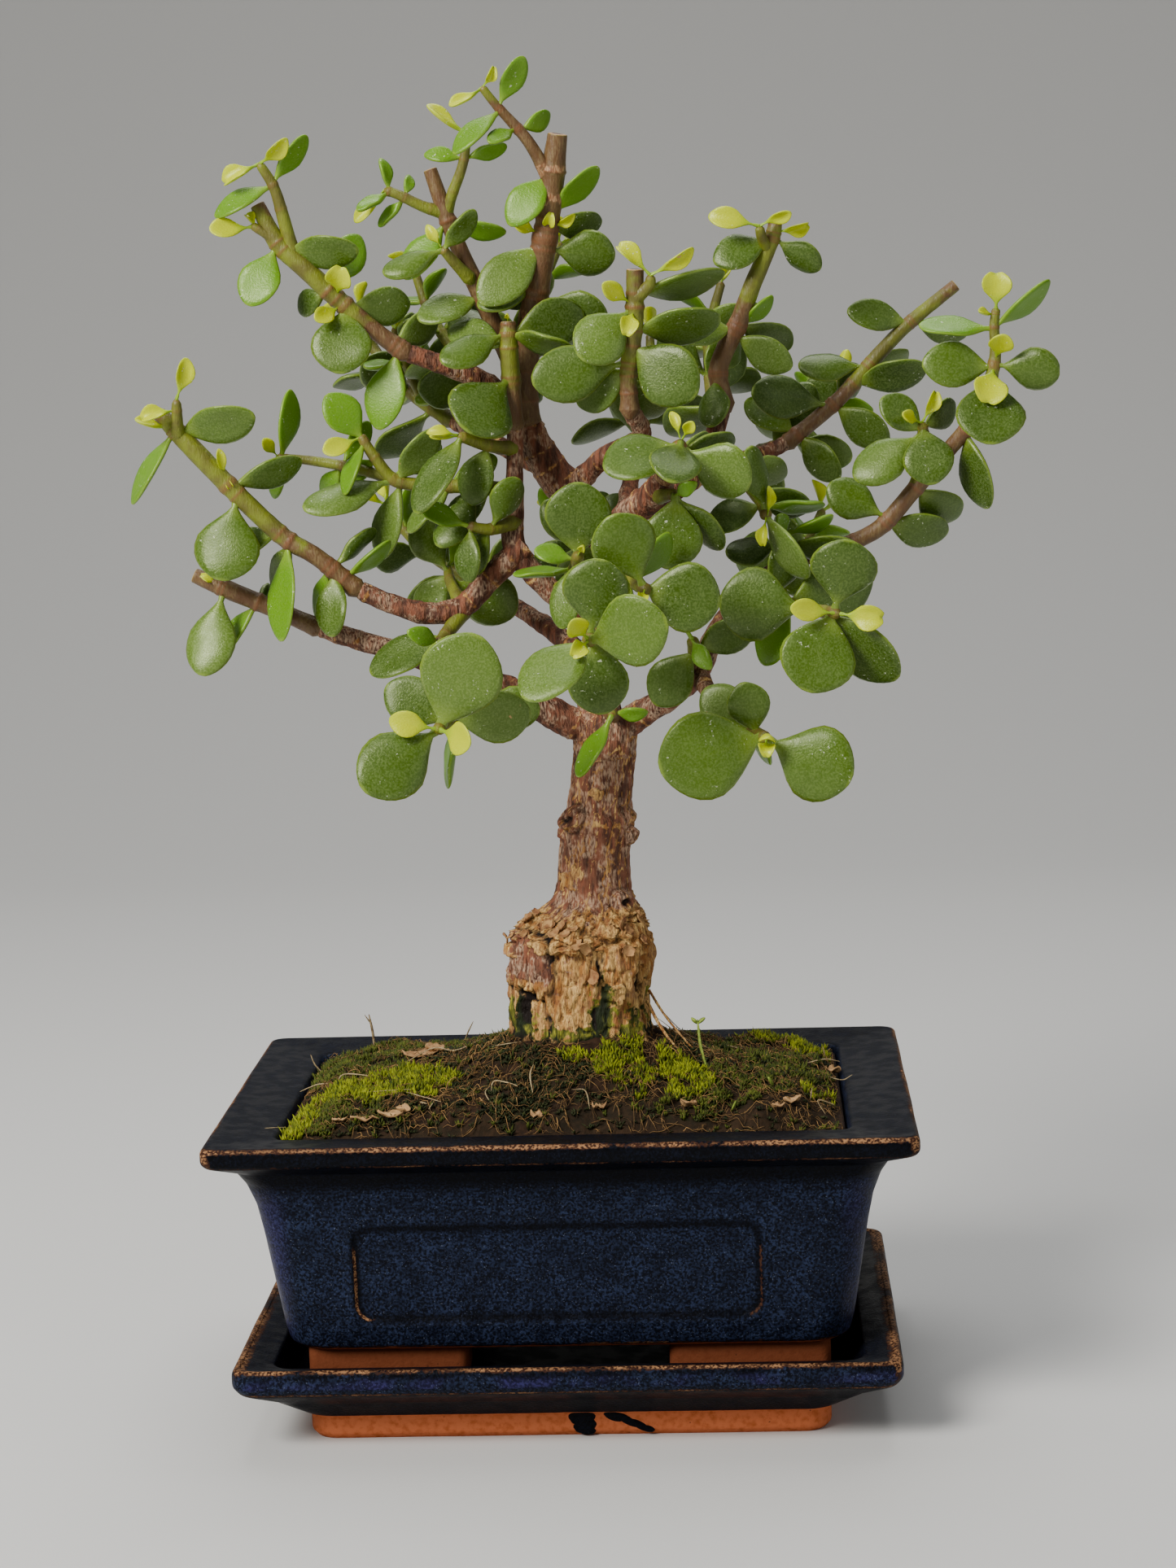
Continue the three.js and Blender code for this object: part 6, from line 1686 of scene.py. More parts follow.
MOSSES = (
    Moss("bright", paint(46, 62, 8), paint(158, 166, 26), paint(12, 18, 6), 0.0, 0.6, 1.9, 2.0, 1.0, (
        (-41, -13, 11, 11, 1), (-31, -18, 6, 6, 0.8), (19, -22, 10, 9, 1.2), (25, -26, 6, 5, 0.9), (9, -15, 3.5, 3.5, 0.8),
        (2, -16, 3.5, 3.5, 0.9), (49, 30, 10, 8, 0.8), (55, -16, 4, 5, 0.8), (-57, -25, 3.5, 12, 0.7),
    )),
    Moss("medium", paint(36, 48, 10), paint(98, 106, 28), paint(16, 18, 8), 0.12, 0.8, 1.5, 1.5, 1.0, (
        (28, -31, 9, 6, 1), (-48, 20, 12, 17, 1), (45, 6, 12, 14, 0.6), (-20, 24, 18, 10, 0.7), (38, -22, 9, 8, 0.6),
        (-50, -30, 9, 7, 0.8), (20, 28, 16, 8, 0.6),
    )),
    Moss("dark", paint(24, 32, 14), paint(62, 70, 34), paint(14, 12, 8), 0.3, 0.7, 1.1, 1.1, 1.1, (
        (-8, -20, 16, 16, 1), (30, 10, 26, 24, 0.7), (-24, 4, 18, 20, 0.8), (42, -10, 14, 12, 0.7), (-30, -33, 18, 5, 0.5),
    )),
)


@dataclass
class SoilBed:
    """The mounded soil, its moss, its dry fibres and the scraps that lie on it."""

    effects: dict[str, bpy.types.NodeTree]
    trees: Trees

    HALF, CORNER, CELL = (60.0, 41.0), 5.0, 0.62
    SIDE_LEVELS = ((58.6, 39.6, 56.0), (55.7, 36.7, 28.3), (53.2, 34.2, 25.7))
    FIBRES, FIBRE_POINTS = 3000, 7

    # Things that lie or stand on the soil, each as a smooth line: points as x, y and height above the soil, then
    # thickness and tone. Straws, curls, a white thread and a twig:
    PALE_ROWS = """
straw: -6.7 -20 1.2, -7.2 -25 2, -6.4 -30 .8 | .32 1;
curl: -15.5 -29 .6, -15 -26 1.3, -12 -26 1.6, -9.8 -28 .8 | .3 .75;
curl: -15.5 -26 .4, -16.6 -30 1.2, -14 -36 .6 | .26 .6;
root: -37 3.4 1, -31 8 2.4, -26 6 1.2, -20 9 1 | .34 .55;
root: -17 -4 1, -14 -9 2, -10 -9 1.2 | .3 .65;
curl: -52 -4 .6, -51 0 2.2, -47 0 2, -44 -4 .8 | .3 .6;
straw: -31 -30 .8, -29 -33 2.6 | .3 .85;
straw: -29.5 -29 .8, -30 -33 2.2 | .26 .8;
straw: -27.5 -30 .8, -28.5 -34 2 | .26 .8;
straw: -34 -27 1, -26 -32 1.6 | .24 .7;
straw: -43 -23 1.8, -33 -25 1.8 | .22 .7;
stub: 53 -24 .8, 53.4 -24 3.4 | .24 .9;
curl: 56 -30 .8, 54.5 -27 2.4, 58 -26 2.6 | .22 .7;
root: 30 12 .8, 37 10 1.4, 40 11 1 | .24 .6;
root: 52 8 1, 57 12 2.2, 60.5 13 3.4 | .26 .7;
root: 56 2 1, 60.5 3 1.4, 63 4.5 2.2 | .26 .7;
straw: -61 2 1.4, -57 0 1.8, -54 -2 1 | .34 .75;
thread: -60 -30 1, -64 -33 1.6 | .24 .95;
curl: 2 -31 .8, 5 -33 2, 6 -36 1 | .26 .5;
root: 20 -7 6, 27 -3 1.5, 34 4 1 | .24 .5;
root: 19.5 -5 8, 25 0 2.5, 30 5 1 | .2 .6;
twig: -47 30 0, -47.3 30 4.5, -48 29.5 9 | .62 .25;
twig: -47.3 30 6, -49 29 9.4 | .3 .25;
twig: -27 33 0, -25.5 33 3.2, -24 32.5 5.5 | .34 .3;
stub: -58 22 0, -60 22 3, -61 22 5.5 | .32 .6;
stub: 58 24 0, 57 25 4 | .4 .6"""
    GREEN_ROWS = """
blade: 31 -14 0, 29.6 -13 5, 29 -12 10.5 | .42 .8;
blade: 29 -12 9.6, 27.6 -12 10.4 | .5 1;
blade: 29 -12 9.6, 30.6 -12 10.8 | .5 1;
blade: 45 -22 0, 44 -23 2.6 | .5 .8;
blade: 36 -34 0, 37 -35 3 | .36 .7"""
    # Curled scraps of bark and one dry leaf: x, y, half length, half width, turn in degrees, curl and tone
    SCRAP_ROWS = (
        (-34, 8, 4.4, 2.6, 25, 1.5, 0.62), (-31, 10, 2.2, 2.2, 60, 1.8, 0.7), (-42, -36, 3.2, 1.2, 8, 0.9, 0.8),
        (-36.5, -35.5, 3.0, 1.3, -20, 1.4, 0.95), (-34, -33.5, 1.4, 1.6, 60, 1.5, 1.0), (-47.5, -36, 1.6, 0.8, 0, 0.6, 0.9),
        (49, -31.5, 2.0, 1.4, 30, 1.4, 1.0), (46, -34, 1.4, 0.9, 10, 0.8, 0.85), (59, 12, 1.4, 1.8, 70, 1.8, 0.8),
        (8, -35, 1.6, 1.0, 10, 0.8, 0.5), (27, -35, 1.8, 1.1, 15, 1.0, 0.7), (-5, -37, 1.6, 1.0, -10, 0.8, 0.8),
    )

    def height(self, x: Array, y: Array) -> Array:
        """The soil's height with its mound and its lumps. In millimetres."""
        flat = np.stack([x, y, np.zeros(np.shape(x))], -1)
        lumps = soft_noise(flat, 7.0, 31, 2) * 1.1 + soft_noise(flat, 2.2, 32, 2) * 0.6
        lumps = lumps + 3.4 * hump(x, 5, 24) * hump(y, -6, 22) + 0.7
        inner = smooth_step(np.maximum(np.abs(x) / self.HALF[0], np.abs(y) / self.HALF[1]), 1.0, 0.93)
        edge = np.minimum(1, np.abs(x / 58.5) ** 7 + np.abs(y / 40) ** 7)
        mound = 65.4 + 5.2 * (1 - edge) + 8.4 * hump(np.hypot(x - 4, y), 0, 24)
        return mound + lumps * inner - 0.5

    def ground(self, name: str, low: Colour, high: Colour, tint: Colour, *rest: float) -> Material:
        """A dull finish for the soil or for what lies on it."""
        return Ground(name, self.effects, low, high, tint, *rest).build()

    def bed(self) -> Object:
        """The soil itself, closed down to the pot's floor."""
        counts = [int(2 * half / self.CELL) for half in self.HALF]
        x, y = np.meshgrid(*(np.linspace(-h, h, n) for h, n in zip(self.HALF, counts)), indexing="ij")
        inner = np.array(self.HALF) - self.CORNER
        ox, oy = np.abs(x) - inner[0], np.abs(y) - inner[1]
        far = np.hypot(ox, oy)
        pull = np.where((ox > 0) & (oy > 0) & (far > self.CORNER), self.CORNER / np.maximum(far, 1e-6), 1)
        x = np.where(pull < 1, np.sign(x) * (inner[0] + ox * pull), x)
        y = np.where(pull < 1, np.sign(y) * (inner[1] + oy * pull), y)
        index = np.arange(x.size).reshape(x.shape)
        points, faces = np.stack([x, y, self.height(x, y)], -1).reshape(-1, 3), grid_faces(index)
        rim = last = border_of(index)
        border = points[rim]
        for half_x, half_y, z in self.SIDE_LEVELS:
            own = len(points) + np.arange(len(rim))
            points = np.concatenate([points, border * (half_x / self.HALF[0], half_y / self.HALF[1], 0) + (0, 0, z)])
            faces += zip(own, np.roll(own, -1), np.roll(last, -1), last)
            last = own
        faces += [(len(points), b, a) for a, b in zip(last, np.roll(last, -1))]
        points = np.concatenate([points, [[0, 0, self.SIDE_LEVELS[-1][2]]]])
        green = sum(moss.greening * moss.cover(points[:, 0], points[:, 1]) for moss in MOSSES)
        tone = soft_noise(points, 4.0, 35, 3) * 0.4 + 0.5
        finish = self.ground("soil", paint(20, 13, 8), paint(58, 38, 24), paint(32, 34, 14))
        marks = {"tone": np.clip(tone, 0, 1), "tint": np.clip(green, 0, 1)}
        return make_object("soil_bed", points * MM, faces, [finish], marks)

    def moss(self, kind: Moss) -> Object:
        """Scatters one kind of moss over the soil."""
        x, y = np.meshgrid(np.arange(-59.4, 59.5, 1.0), np.arange(-40.4, 40.5, 1.0), indexing="ij")
        points = np.stack([x, y, self.height(x, y) - 0.2], -1).reshape(-1, 3)
        marks = {"density": kind.cover(points[:, 0], points[:, 1]) ** 1.8}
        name = f"moss_{kind.name}"
        guide = make_object(name, points * MM, grid_faces(np.arange(x.size).reshape(x.shape)), marks=marks)
        tufts = kind.tufts()
        grown = self.trees.scatter.grow(
            guide, Finish=self.ground(name, kind.low, kind.high, kind.tint, 0.7, 2.5 * MM), Things=tufts,
            Density=kind.per_mm2 / MM**2, Smallest=0.7 * MM, Largest=1.3 * MM, Lean=0.35, Follow=0.0, Seed=len(kind.name),
        )
        drop_collection(tufts)
        return grown

    def threads(self, name: str, finish: Material, rows: Iterable[tuple[Array, float, float]]) -> Object:
        """Grows thin threads.

        Args:
            name: The piece's name.
            finish: Their finish.
            rows: Points, thickness and tone of each thread, in millimetres.

        Returns:
            The threads as one piece.
        """
        lines = []
        for line, width, tone in rows:
            taper = np.sin(np.linspace(0.12, math.pi - 0.12, len(line))) ** 0.5
            lines.append((line, width * taper, {"tone": np.full(len(line), tone), "tint": np.zeros(len(line))}))
        return self.trees.thread.grow(wood_guide(name, lines), Finish=finish, Relief=0.0, Bump=MM, Seed=0.0)

    def fibres(self) -> Object:
        """Dry roots and fibres that lie over the soil."""
        draw, rows, count = np.random.default_rng(11), [], self.FIBRE_POINTS
        while len(rows) < self.FIBRES:
            x, y = draw.uniform(-58, 58), draw.uniform(-39, 39)
            if math.hypot(x - 4, y) < 15:
                continue
            length = draw.uniform(2.5, 9)
            turn, curl = draw.uniform(0, math.tau), draw.uniform(-0.28, 0.28)
            line = np.zeros((count, 3))
            for k in range(count):
                turn += curl + draw.uniform(-0.3, 0.3)
                x, y = x + math.cos(turn) * length / count, y + math.sin(turn) * length / count
                x, y = np.clip(x, -59.3, 59.3), np.clip(y, -40.3, 40.3)
                line[k] = x, y, draw.uniform(0.2, 0.8) + 1.2 * math.sin(math.pi * k / (count - 1)) * draw.uniform(0, 1)
            line[:, 2] += self.height(line[:, 0], line[:, 1])
            rows.append((line, draw.uniform(0.05, 0.12), draw.uniform(0, 1) ** 3))
        finish = self.ground("dry_fibre", paint(34, 22, 13), paint(176, 136, 84), paint(90, 70, 40), 0.8)
        return self.threads("dry_fibres", finish, rows)

    def laid_lines(self, text: str, thin: float = 1.0) -> list[tuple[Array, float, float]]:
        """Reads a table of lines that lie on the soil, each made as thin as a share of its own thickness."""
        rows = []
        for _, points, ((width, tone),) in read_table(text):
            x, y, up = np.array(points).T
            route = Route(np.column_stack([x, y, self.height(x, y) + up, np.zeros(len(x))]))
            rows.append((route.walk(12)[1], width * thin, tone))
        return rows

    def scraps(self) -> Object:
        """The things that lie on the soil one by one: straws, curls, a white thread, a twig and green blades."""
        finish = self.ground("pale_scrap", paint(74, 50, 30), paint(196, 176, 134), paint(90, 70, 40), 0.75)
        scraps = self.threads("pale_scraps", finish, self.laid_lines(self.PALE_ROWS, 0.6))
        finish = self.ground("green_blade", paint(84, 104, 40), paint(150, 170, 70), paint(90, 120, 50), 0.6)
        return join_pieces([scraps, self.threads("green_blades", finish, self.laid_lines(self.GREEN_ROWS))])

    def bark_scraps(self) -> Object:
        """Curled scraps of bark and one dry leaf."""
        points, faces, tone = [], [], []
        u, v = slab_grid()
        v = v * np.sqrt(np.maximum(0.05, 1 - u * u * 0.9))
        for number, (x, y, long, wide, turn, curl, own) in enumerate(self.SCRAP_ROWS):
            a, px, py = math.radians(turn), u * long, v * wide
            bump = soft_noise(np.stack([u * 2, v * 2, np.full(u.shape, number * 3.1)], -1), 1.0, 51) * 0.8
            gx, gy = px * math.cos(a) - py * math.sin(a), px * math.sin(a) + py * math.cos(a)
            up = self.height(*np.array([[x], [y]])) + 0.9 + curl * (u * u * 0.7 + v * v * 0.5) + bump
            faces += slab_faces(*u.shape, 2 * u.size * number)
            points += [np.stack([x + gx, y + gy * 0.9, up + lift], -1).reshape(-1, 3) for lift in (0, 0.3)]
            tone += [own] * 2 * u.size
        finish = self.ground("bark_scrap", paint(108, 64, 38), paint(186, 150, 104), paint(90, 70, 40), 0.8)
        marks = {"tone": np.array(tone), "tint": np.zeros(len(tone))}
        return make_object("bark_scraps", np.concatenate(points) * MM, faces, [finish], marks)

    def build(self) -> None:
        """Builds the bed and all that grows or lies on it."""
        finish_piece(self.bed(), Slot.SOIL, "soil")
        for piece in (*map(self.moss, MOSSES), self.fibres(), self.scraps(), self.bark_scraps()):
            finish_piece(piece, Slot.SOIL)


# Wood: trunk, roots and boughs


def feature(x: Array, z: Array, at_x: float, at_z: float, half_x: float, half_z: float, power: float) -> Array:
    """How strongly a feature shows at each place, from 0 to 1.

    Args:
        x: Places across the trunk.
        z: Their heights.
        at_x: The feature's middle.
        at_z: Its height.
        half_x: Half its width.
        half_z: Half its height.
        power: 2 for a round feature and more for a squarer one.

    Returns:
        One number for each place.
    """
    return np.exp(-np.abs((x - at_x) / half_x) ** power - np.abs((z - at_z) / half_z) ** power)


@dataclass
class Trunk:
    """The swollen trunk with its flaking collar, roots and boughs. In millimetres."""

    effects: dict[str, bpy.types.NodeTree]
    trees: Trees
    growth: Growth
    bark: Material

    COLUMNS, ROWS, LOW, HIGH, DEEP = 260, 290, 62.5, 150.5, 0.92
    # Height, middle across and radius
    LEVELS = (
        (62, 4, 16.5), (70, 4, 16.6), (76, 3.9, 15.8), (80.6, 3.6, 15.4), (85.2, 3.1, 15.2), (89.8, 3.4, 15.6),
        (94.9, 4.1, 15.8), (97.2, 4.1, 15.4), (99.6, 4.2, 14.9), (101.8, 4.3, 13.6), (104, 4.6, 12.3), (106, 5.3, 10.6),
        (108.1, 6.3, 9.1), (110.9, 6.7, 8.4), (114.5, 6.9, 7.9), (119.1, 7.1, 7.7), (122.7, 7.6, 8.0),
        (126, 8.1, 8.2), (128.5, 8.4, 7.3), (130, 8.5, 6.95), (135.4, 9.1, 6.9), (143.1, 10, 6.75), (147.5, 10.3, 6.8),
        (149.5, 10.2, 5.9), (150.5, 10, 4.2),
    )
    # Features of the front: middle and height, half width and half height, power, and how far they stand out or in
    PLATE, PLATE_HIGH = (-7.4, 96.6, 5.2, 6.6, 6.0), 1.25
    FLAKES = (
        (-0.6, 101.8, 4.4, 2.5, 4.0, 2.0), (-6.8, 105.2, 3.4, 2.0, 4.0, 1.3), (11.6, 104.6, 4.4, 2.2, 3.0, 1.6),
        (4.6, 103.6, 3.0, 1.8, 3.0, 0.7), (-11.6, 99.3, 1.6, 1.5, 3.0, 1.6), (16.6, 101, 2.2, 4.0, 3.0, 1.0),
        (1.6, 113.8, 1.7, 1.8, 5.0, 0.9), (8.0, 133.4, 1.4, 1.2, 3.0, 0.7), (10.7, 89.9, 1.9, 1.9, 4.0, 1.3),
        (19.2, 96.4, 1.4, 4.5, 3.0, 1.0), (3.2, 116.2, 1.3, 1.6, 3.0, 0.35),
    )
    CLEFTS = (
        (7.8, 95.4, 0.8, 4.8, 3.0, 1.7), (8.0, 86.8, 2.2, 4.4, 2.0, 1.0), (16.4, 91.5, 0.8, 7.0, 3.0, 1.8),
        (-9.4, 86.4, 1.5, 3.8, 4.0, 2.6), (-7.6, 89.4, 1.3, 1.3, 4.0, 1.9), (-8.7, 92.6, 0.35, 2.6, 4.0, 0.9),
        (2.6, 119.8, 0.4, 3.7, 4.0, 0.5), (6.2, 118.8, 0.35, 3.2, 4.0, 0.4), (13.4, 137.5, 0.4, 9.0, 4.0, 0.5),
        (9.8, 100.6, 0.9, 1.6, 3.0, 0.9), (5.6, 99.4, 2.6, 0.5, 3.0, 0.5),
    )
    # Knobs left by old branches: bearing in degrees, height, size, how far out and how deep their hole
    KNOBS = (
        (222, 127.8, 2.9, 2.4, 1.6), (336, 123.5, 2.1, 1.8, 0.6), (314, 109.4, 2.7, 2.6, 2.2),
        (262, 133.4, 1.0, 0.5, 0.6), (196, 124.2, 1.6, 0.7, 0.2), (342, 128.2, 1.7, 0.7, 0.3),
    )
    SLIM_BOUGHS = ("low_left", "right")
    # Bearing in degrees and reach
    ROOTS = ((-150, 26), (-118, 21), (-100, 22), (-60, 24), (-15, 25), (45, 24), (100, 25), (155, 26))
    THIN_ROOTS = (
        ((17.8, -5, 87, 0.4), (20.4, -7, 82, 0.34), (23.4, -9, 78, 0.28), (27.5, -9, 73.4, 0.2)),
        ((18.2, -3, 89, 0.32), (21.6, -4, 83.4, 0.26), (25.9, -5, 78, 0.22), (30.5, -5, 72.6, 0.16)),
        ((16.8, -8, 80, 0.5), (19.4, -11, 75, 0.44), (23.2, -12, 70.5, 0.3), (26, -13, 69, 0.2)),
    )

    def body(self) -> tuple[Object, Object]:
        """The trunk as one skin with its clefts, plates, knobs and growth ring.

        Returns:
            The trunk, and a bare copy of it that carries the density of its loose flakes.
        """
        z = np.linspace(self.LOW, self.HIGH, self.ROWS)
        fine = np.linspace(self.LOW - 2, self.HIGH + 2, 400)
        blur = hump(z[:, None], fine, 1.0)
        blur /= blur.sum(1, keepdims=True)
        at, *across_and_radius = np.array(self.LEVELS).T
        middle, radius = ((blur @ np.interp(fine, at, values))[:, None] for values in across_and_radius)
        turn, height = np.meshgrid(np.linspace(0, math.tau, self.COLUMNS, endpoint=False), z)
        wood = np.stack([np.cos(turn) * 15, np.sin(turn) * 15, height], -1)
        low = smooth_step(height, 104, 97)
        flute = 0.05 * low * np.cos(5 * turn + height / 22) + 0.03 * np.cos(3 * turn + height / 30)
        x = middle + radius * np.cos(turn)
        front = smooth_step(-np.sin(turn), -0.15, 0.25)
        warp = soft_noise(wood, 2.2, 61, 2)
        xw, zw = x + warp * 0.9, height + soft_noise(wood, 1.6, 62, 2) * 0.9
        sunk = sum(deep * feature(xw, zw, *place) for *place, deep in self.CLEFTS) * front
        other = cell_noise(wood + warp[..., None] * 0.8, (7.0, 7.0, 13.0), 71)[0]
        own_sunk = smooth_step(other, 0.12, 0.0) * low * (0.5 + 1.2 * smooth_step(front, 0.7, 0.2))
        lift = np.max([high * smooth_step(feature(xw, zw, *place) * front, 0.25, 0.45) for *place, high in self.FLAKES], 0)
        jag = soft_noise(wood, (1.3, 1.3, 5.0), 63, 2) * 1.8 * smooth_step(height, 96, 91)
        plate_of = feature((xw + x) / 2, height + jag, *self.PLATE) * front
        plate = smooth_step(plate_of, 0.3, 0.42)
        # Painted shadow: a dark line round the border of the plate.
        plate_edge_shadow = smooth_step(plate_of, 0.06, 0.2) * smooth_step(plate_of, 0.42, 0.3)
        collar = smooth_step(height, 98.5, 101) * smooth_step(height, 110, 106)
        border, own = cell_noise(wood + warp[..., None] * 1.1, (7.6, 7.6, 4.2), 72)
        chunks = collar * (smooth_step(border, 0.02, 0.1) * own * 1.5 + 0.5 * hump(border, 0.13, 0.05))
        border2, own2 = cell_noise(wood + warp[..., None] * 0.6, (3.6, 3.6, 9.0), 73)
        skin = smooth_step(border2, 0.02, 0.1) * (own2 - 0.35) * 0.42 * (1 - low)
        streak = soft_noise(wood, (1.1, 1.1, 7.0), 64, 3) * 0.62 * low + soft_noise(wood, (1.5, 1.5, 5.0), 65, 2) * 0.1
        level = height + 0.7 * soft_noise(wood, 5.0, 67, 2)
        ring = 0.35 * hump(level, 127.2, 1.3) - 0.35 * hump(level, 126.2, 0.25)
        out = chunks + skin + streak + ring + warp * 0.22 + lift + plate * self.PLATE_HIGH - sunk - own_sunk
        crater, hollow_rim, plain = np.zeros(x.shape), np.zeros(x.shape), np.ones(x.shape)
        for bearing, knob_z, size, tall, deep in self.KNOBS:
            across = ((np.degrees(turn) - bearing + 180) % 360 - 180) * math.pi / 180 * radius
            side = np.hypot(across, height - knob_z) / size * (1 + 0.1 * warp)
            dome = np.sqrt(np.clip(1 - (side / 1.15) ** 2, 0, 1)) * smooth_step(side, 1.15, 0.8)
            swirl = 0.2 * np.cos(side * 8 + 2 * np.arctan2(height - knob_z, across))
            hole = hump(side, 0, 0.34)
            out += dome * (tall + swirl) - hole * deep
            # Painted shade in the crease round each knob and in the hollows of its swirl.
            dark = np.maximum(hump(side, 1.12, 0.16), 0.8 * (swirl < -0.1) * (side < 0.95))
            hollow_rim = np.maximum(hollow_rim, dark * min(1, tall / 2))
            plain = np.minimum(plain, 1 - 0.9 * (side < 1.1))
            crater = np.maximum(crater, hole * min(1, deep))
        wide = radius * (1 + flute) + out
        points = np.stack([middle + wide * np.cos(turn), wide * np.sin(turn) * self.DEEP, height], -1).reshape(-1, 3)
        side_on = hump(x, -11, 2.4) * hump(height, 85, 6.5)
        # Darkening of the bark, partly its own dark and partly painted shade: in clefts, cell borders, furrows, the
        # creases and holes of the knobs and round the plate; also in the damp patches and towards the foot.
        hollow = smooth_step(sunk, 0.6, 2.2) * (1 + 0.3 * warp) + own_sunk * 0.5 + smooth_step(-streak, 0.2, 0.6) * low * 0.6
        hollow += collar * smooth_step(border, 0.07, 0.0) * 0.6 + hollow_rim * 0.5 + plate_edge_shadow * 0.55
        blot = np.clip(0.45 + 1.7 * soft_noise(wood, (2.0, 2.0, 4.5), 69, 3), 0, 1)
        hollow += 0.5 * (hump(x, 7.4, 2.4) * hump(height, 87, 6.5) + side_on) * front * blot
        hollow += 0.5 * smooth_step(height + warp, 81.5, 78.5)
        hollow = np.clip(hollow + smooth_step(border2, 0.02, 0.0) * (1 - low) * 0.3, 0, 1)
        peel = np.clip(0.78 * low + collar * (0.25 + 0.9 * own) + 0.3 * (own2 > 0.8) * (1 - low), 0, 1)
        peel = np.where(plate > 0.4, 0.12 + 0.75 * smooth_step(height, 95, 90.5), peel)
        peel = np.clip(peel + smooth_step(border2, 0.07, 0.0) * (1 - low) * 0.8 + (lift > 0.3) * 0.7, 0, 1)
        peel = np.clip(peel + 0.5 * hump(level, 126.6, 0.7), 0, 1)
        wet = smooth_step(height + soft_noise(wood, 5.0, 66, 2) * 5, 91, 82)
        wet = wet * (0.85 - 0.8 * np.abs(soft_noise(wood, 4.0, 68, 2)) - 0.25 * smooth_step(height, 82, 76))
        mossy = (0.4 + 0.9 * blot) * (hump(x, 7.4, 3.4) * hump(height, 87, 8) + side_on) * front
        algae = np.clip(wet + mossy, 0, 1)
        # Painted shade and the bark's own dark together.
        cleft = np.clip(hollow * 0.95 + crater * 0.7, 0, 1)
        density = collar * plain * 0.5 + low * 0.08 * smooth_step(height, 86, 90)
        ends = [[middle[0, 0], 0, self.LOW], [middle[-1, 0], 0, self.HIGH + 0.6]]
        points, faces = np.concatenate([points, ends]) * MM, ring_faces(*x.shape)
        marks = {
            key: np.append(values.ravel(), [0, 0])
            for key, values in {"peel": peel, "algae": algae, "cleft": cleft, "density": density}.items()
        }
        guide = make_object("bark_flakes", points, faces, marks={"density": marks.pop("density")})
        return make_object("trunk", points, faces, [self.bark], marks), guide

    def flakes(self, guide: Object) -> Object:
        """Loose curled flakes that stand off the collar and the bulb, over the guide that carries their density."""
        forms, (u, v) = [], slab_grid()
        for form in range(6):
            rough = np.random.default_rng(40 + form).random((2, *u.shape))
            edge = 1 - 0.22 * rough * ((np.abs(u) == 1) | (np.abs(v) == 1))
            bow = np.sqrt(np.maximum(0.1, 1 - 0.55 * u * u))
            level = np.zeros(edge.shape) + [[[0.0]], [[0.16]]]
            points = np.stack([u * edge * 1.1, v * bow * edge * 0.85, level + 0.35 * u * u + 0.15 * v * v + 0.1], -1)
            forms.append(make_object(f"flake_{form}", points.reshape(-1, 3), slab_faces(*u.shape)))
        kept = make_collection("flake_forms", forms)
        tints = (paint(120, 74, 48), paint(206, 164, 108), paint(120, 90, 50))
        grown = self.trees.scatter.grow(
            guide, Finish=Ground("flake", self.effects, *tints, 0.85, 1.2 * MM).build(), Things=kept,
            Density=0.06 / MM**2, Smallest=0.6 * MM, Largest=2.1 * MM, Lean=0.25, Seed=4, Follow=0.975,
        )
        drop_collection(kept)
        return grown

    def boughs(self) -> Object:
        """The boughs of old wood."""
        rows = []
        for number, (name, route) in enumerate(self.growth.boughs):
            long = route.length()
            shares, line, wide = route.walk(max(8, int(long / 0.75)))
            run = shares * long
            if name in self.SLIM_BOUGHS:
                wide = wide * (1 - 0.2 * hump(run, 0, 16))
            wide = wide * (1 + 0.08 * np.exp(-run / 4))
            draw = np.random.default_rng(200 + number)
            peel = 0.06 + 0.4 * np.exp(-run / 5)
            place = draw.uniform(3, 7)
            while place < long - 2:
                near = hump(run, place, 0.55)
                wide = wide * (1 + draw.uniform(0.03, 0.1) * near)
                peel = peel + draw.uniform(0.2, 0.6) * near
                place += draw.uniform(3, 7)
            wide = wide * np.sqrt(np.clip((long - run + 0.05) / (wide[-1] * 0.9), 0.02, 1))
            peel = np.clip(peel, 0, 1)
            rows.append((line, wide, {"peel": peel, "algae": np.zeros(len(run)), "cleft": 0.28 - 0.22 * peel}))
        return self.trees.wood.grow(wood_guide("boughs", rows), Finish=self.bark, Relief=0.42, Bump=2.6 * MM, Seed=1.0)

    def roots(self) -> Object:
        """The roots that run into the soil, thick and thin."""
        rows = []
        for bearing, reach in self.ROOTS:
            a = math.radians(bearing)
            steps = ((6.5, 77, 4.6), (11.6, 74, 3.9), (reach - 6, 70.6, 2.9), (reach, 65, 2))
            knots = [(4 + math.cos(a) * far, math.sin(a) * far, z, radius) for far, z, radius in steps]
            rows.append(self.root_line(knots, 0.8))
        thick = self.trees.wood.grow(wood_guide("roots", rows), Finish=self.bark, Relief=0.6, Bump=2.4 * MM, Seed=2.0)
        guide = wood_guide("thin_roots", [self.root_line(knots, 0.2) for knots in self.THIN_ROOTS])
        thin = self.trees.stem.grow(guide, Finish=self.bark, Relief=0.35, Bump=1.5 * MM, Seed=3.0)
        return join_pieces([thick, thin])

    @staticmethod
    def root_line(knots: Sequence[Knot], green: float) -> Line:
        """One root's points, thickness and marks, by its route and how green it is where it meets the soil."""
        route = Route(knots)
        shares, line, wide = route.walk(max(10, int(route.length() / 0.8)))
        wide = wide * np.sqrt(np.clip((1.02 - shares) * 12, 0.02, 1))
        algae = green * smooth_step(line[:, 2], 84, 76)
        return line, wide, {"peel": np.full(len(line), 0.75), "algae": algae, "cleft": np.zeros(len(line))}

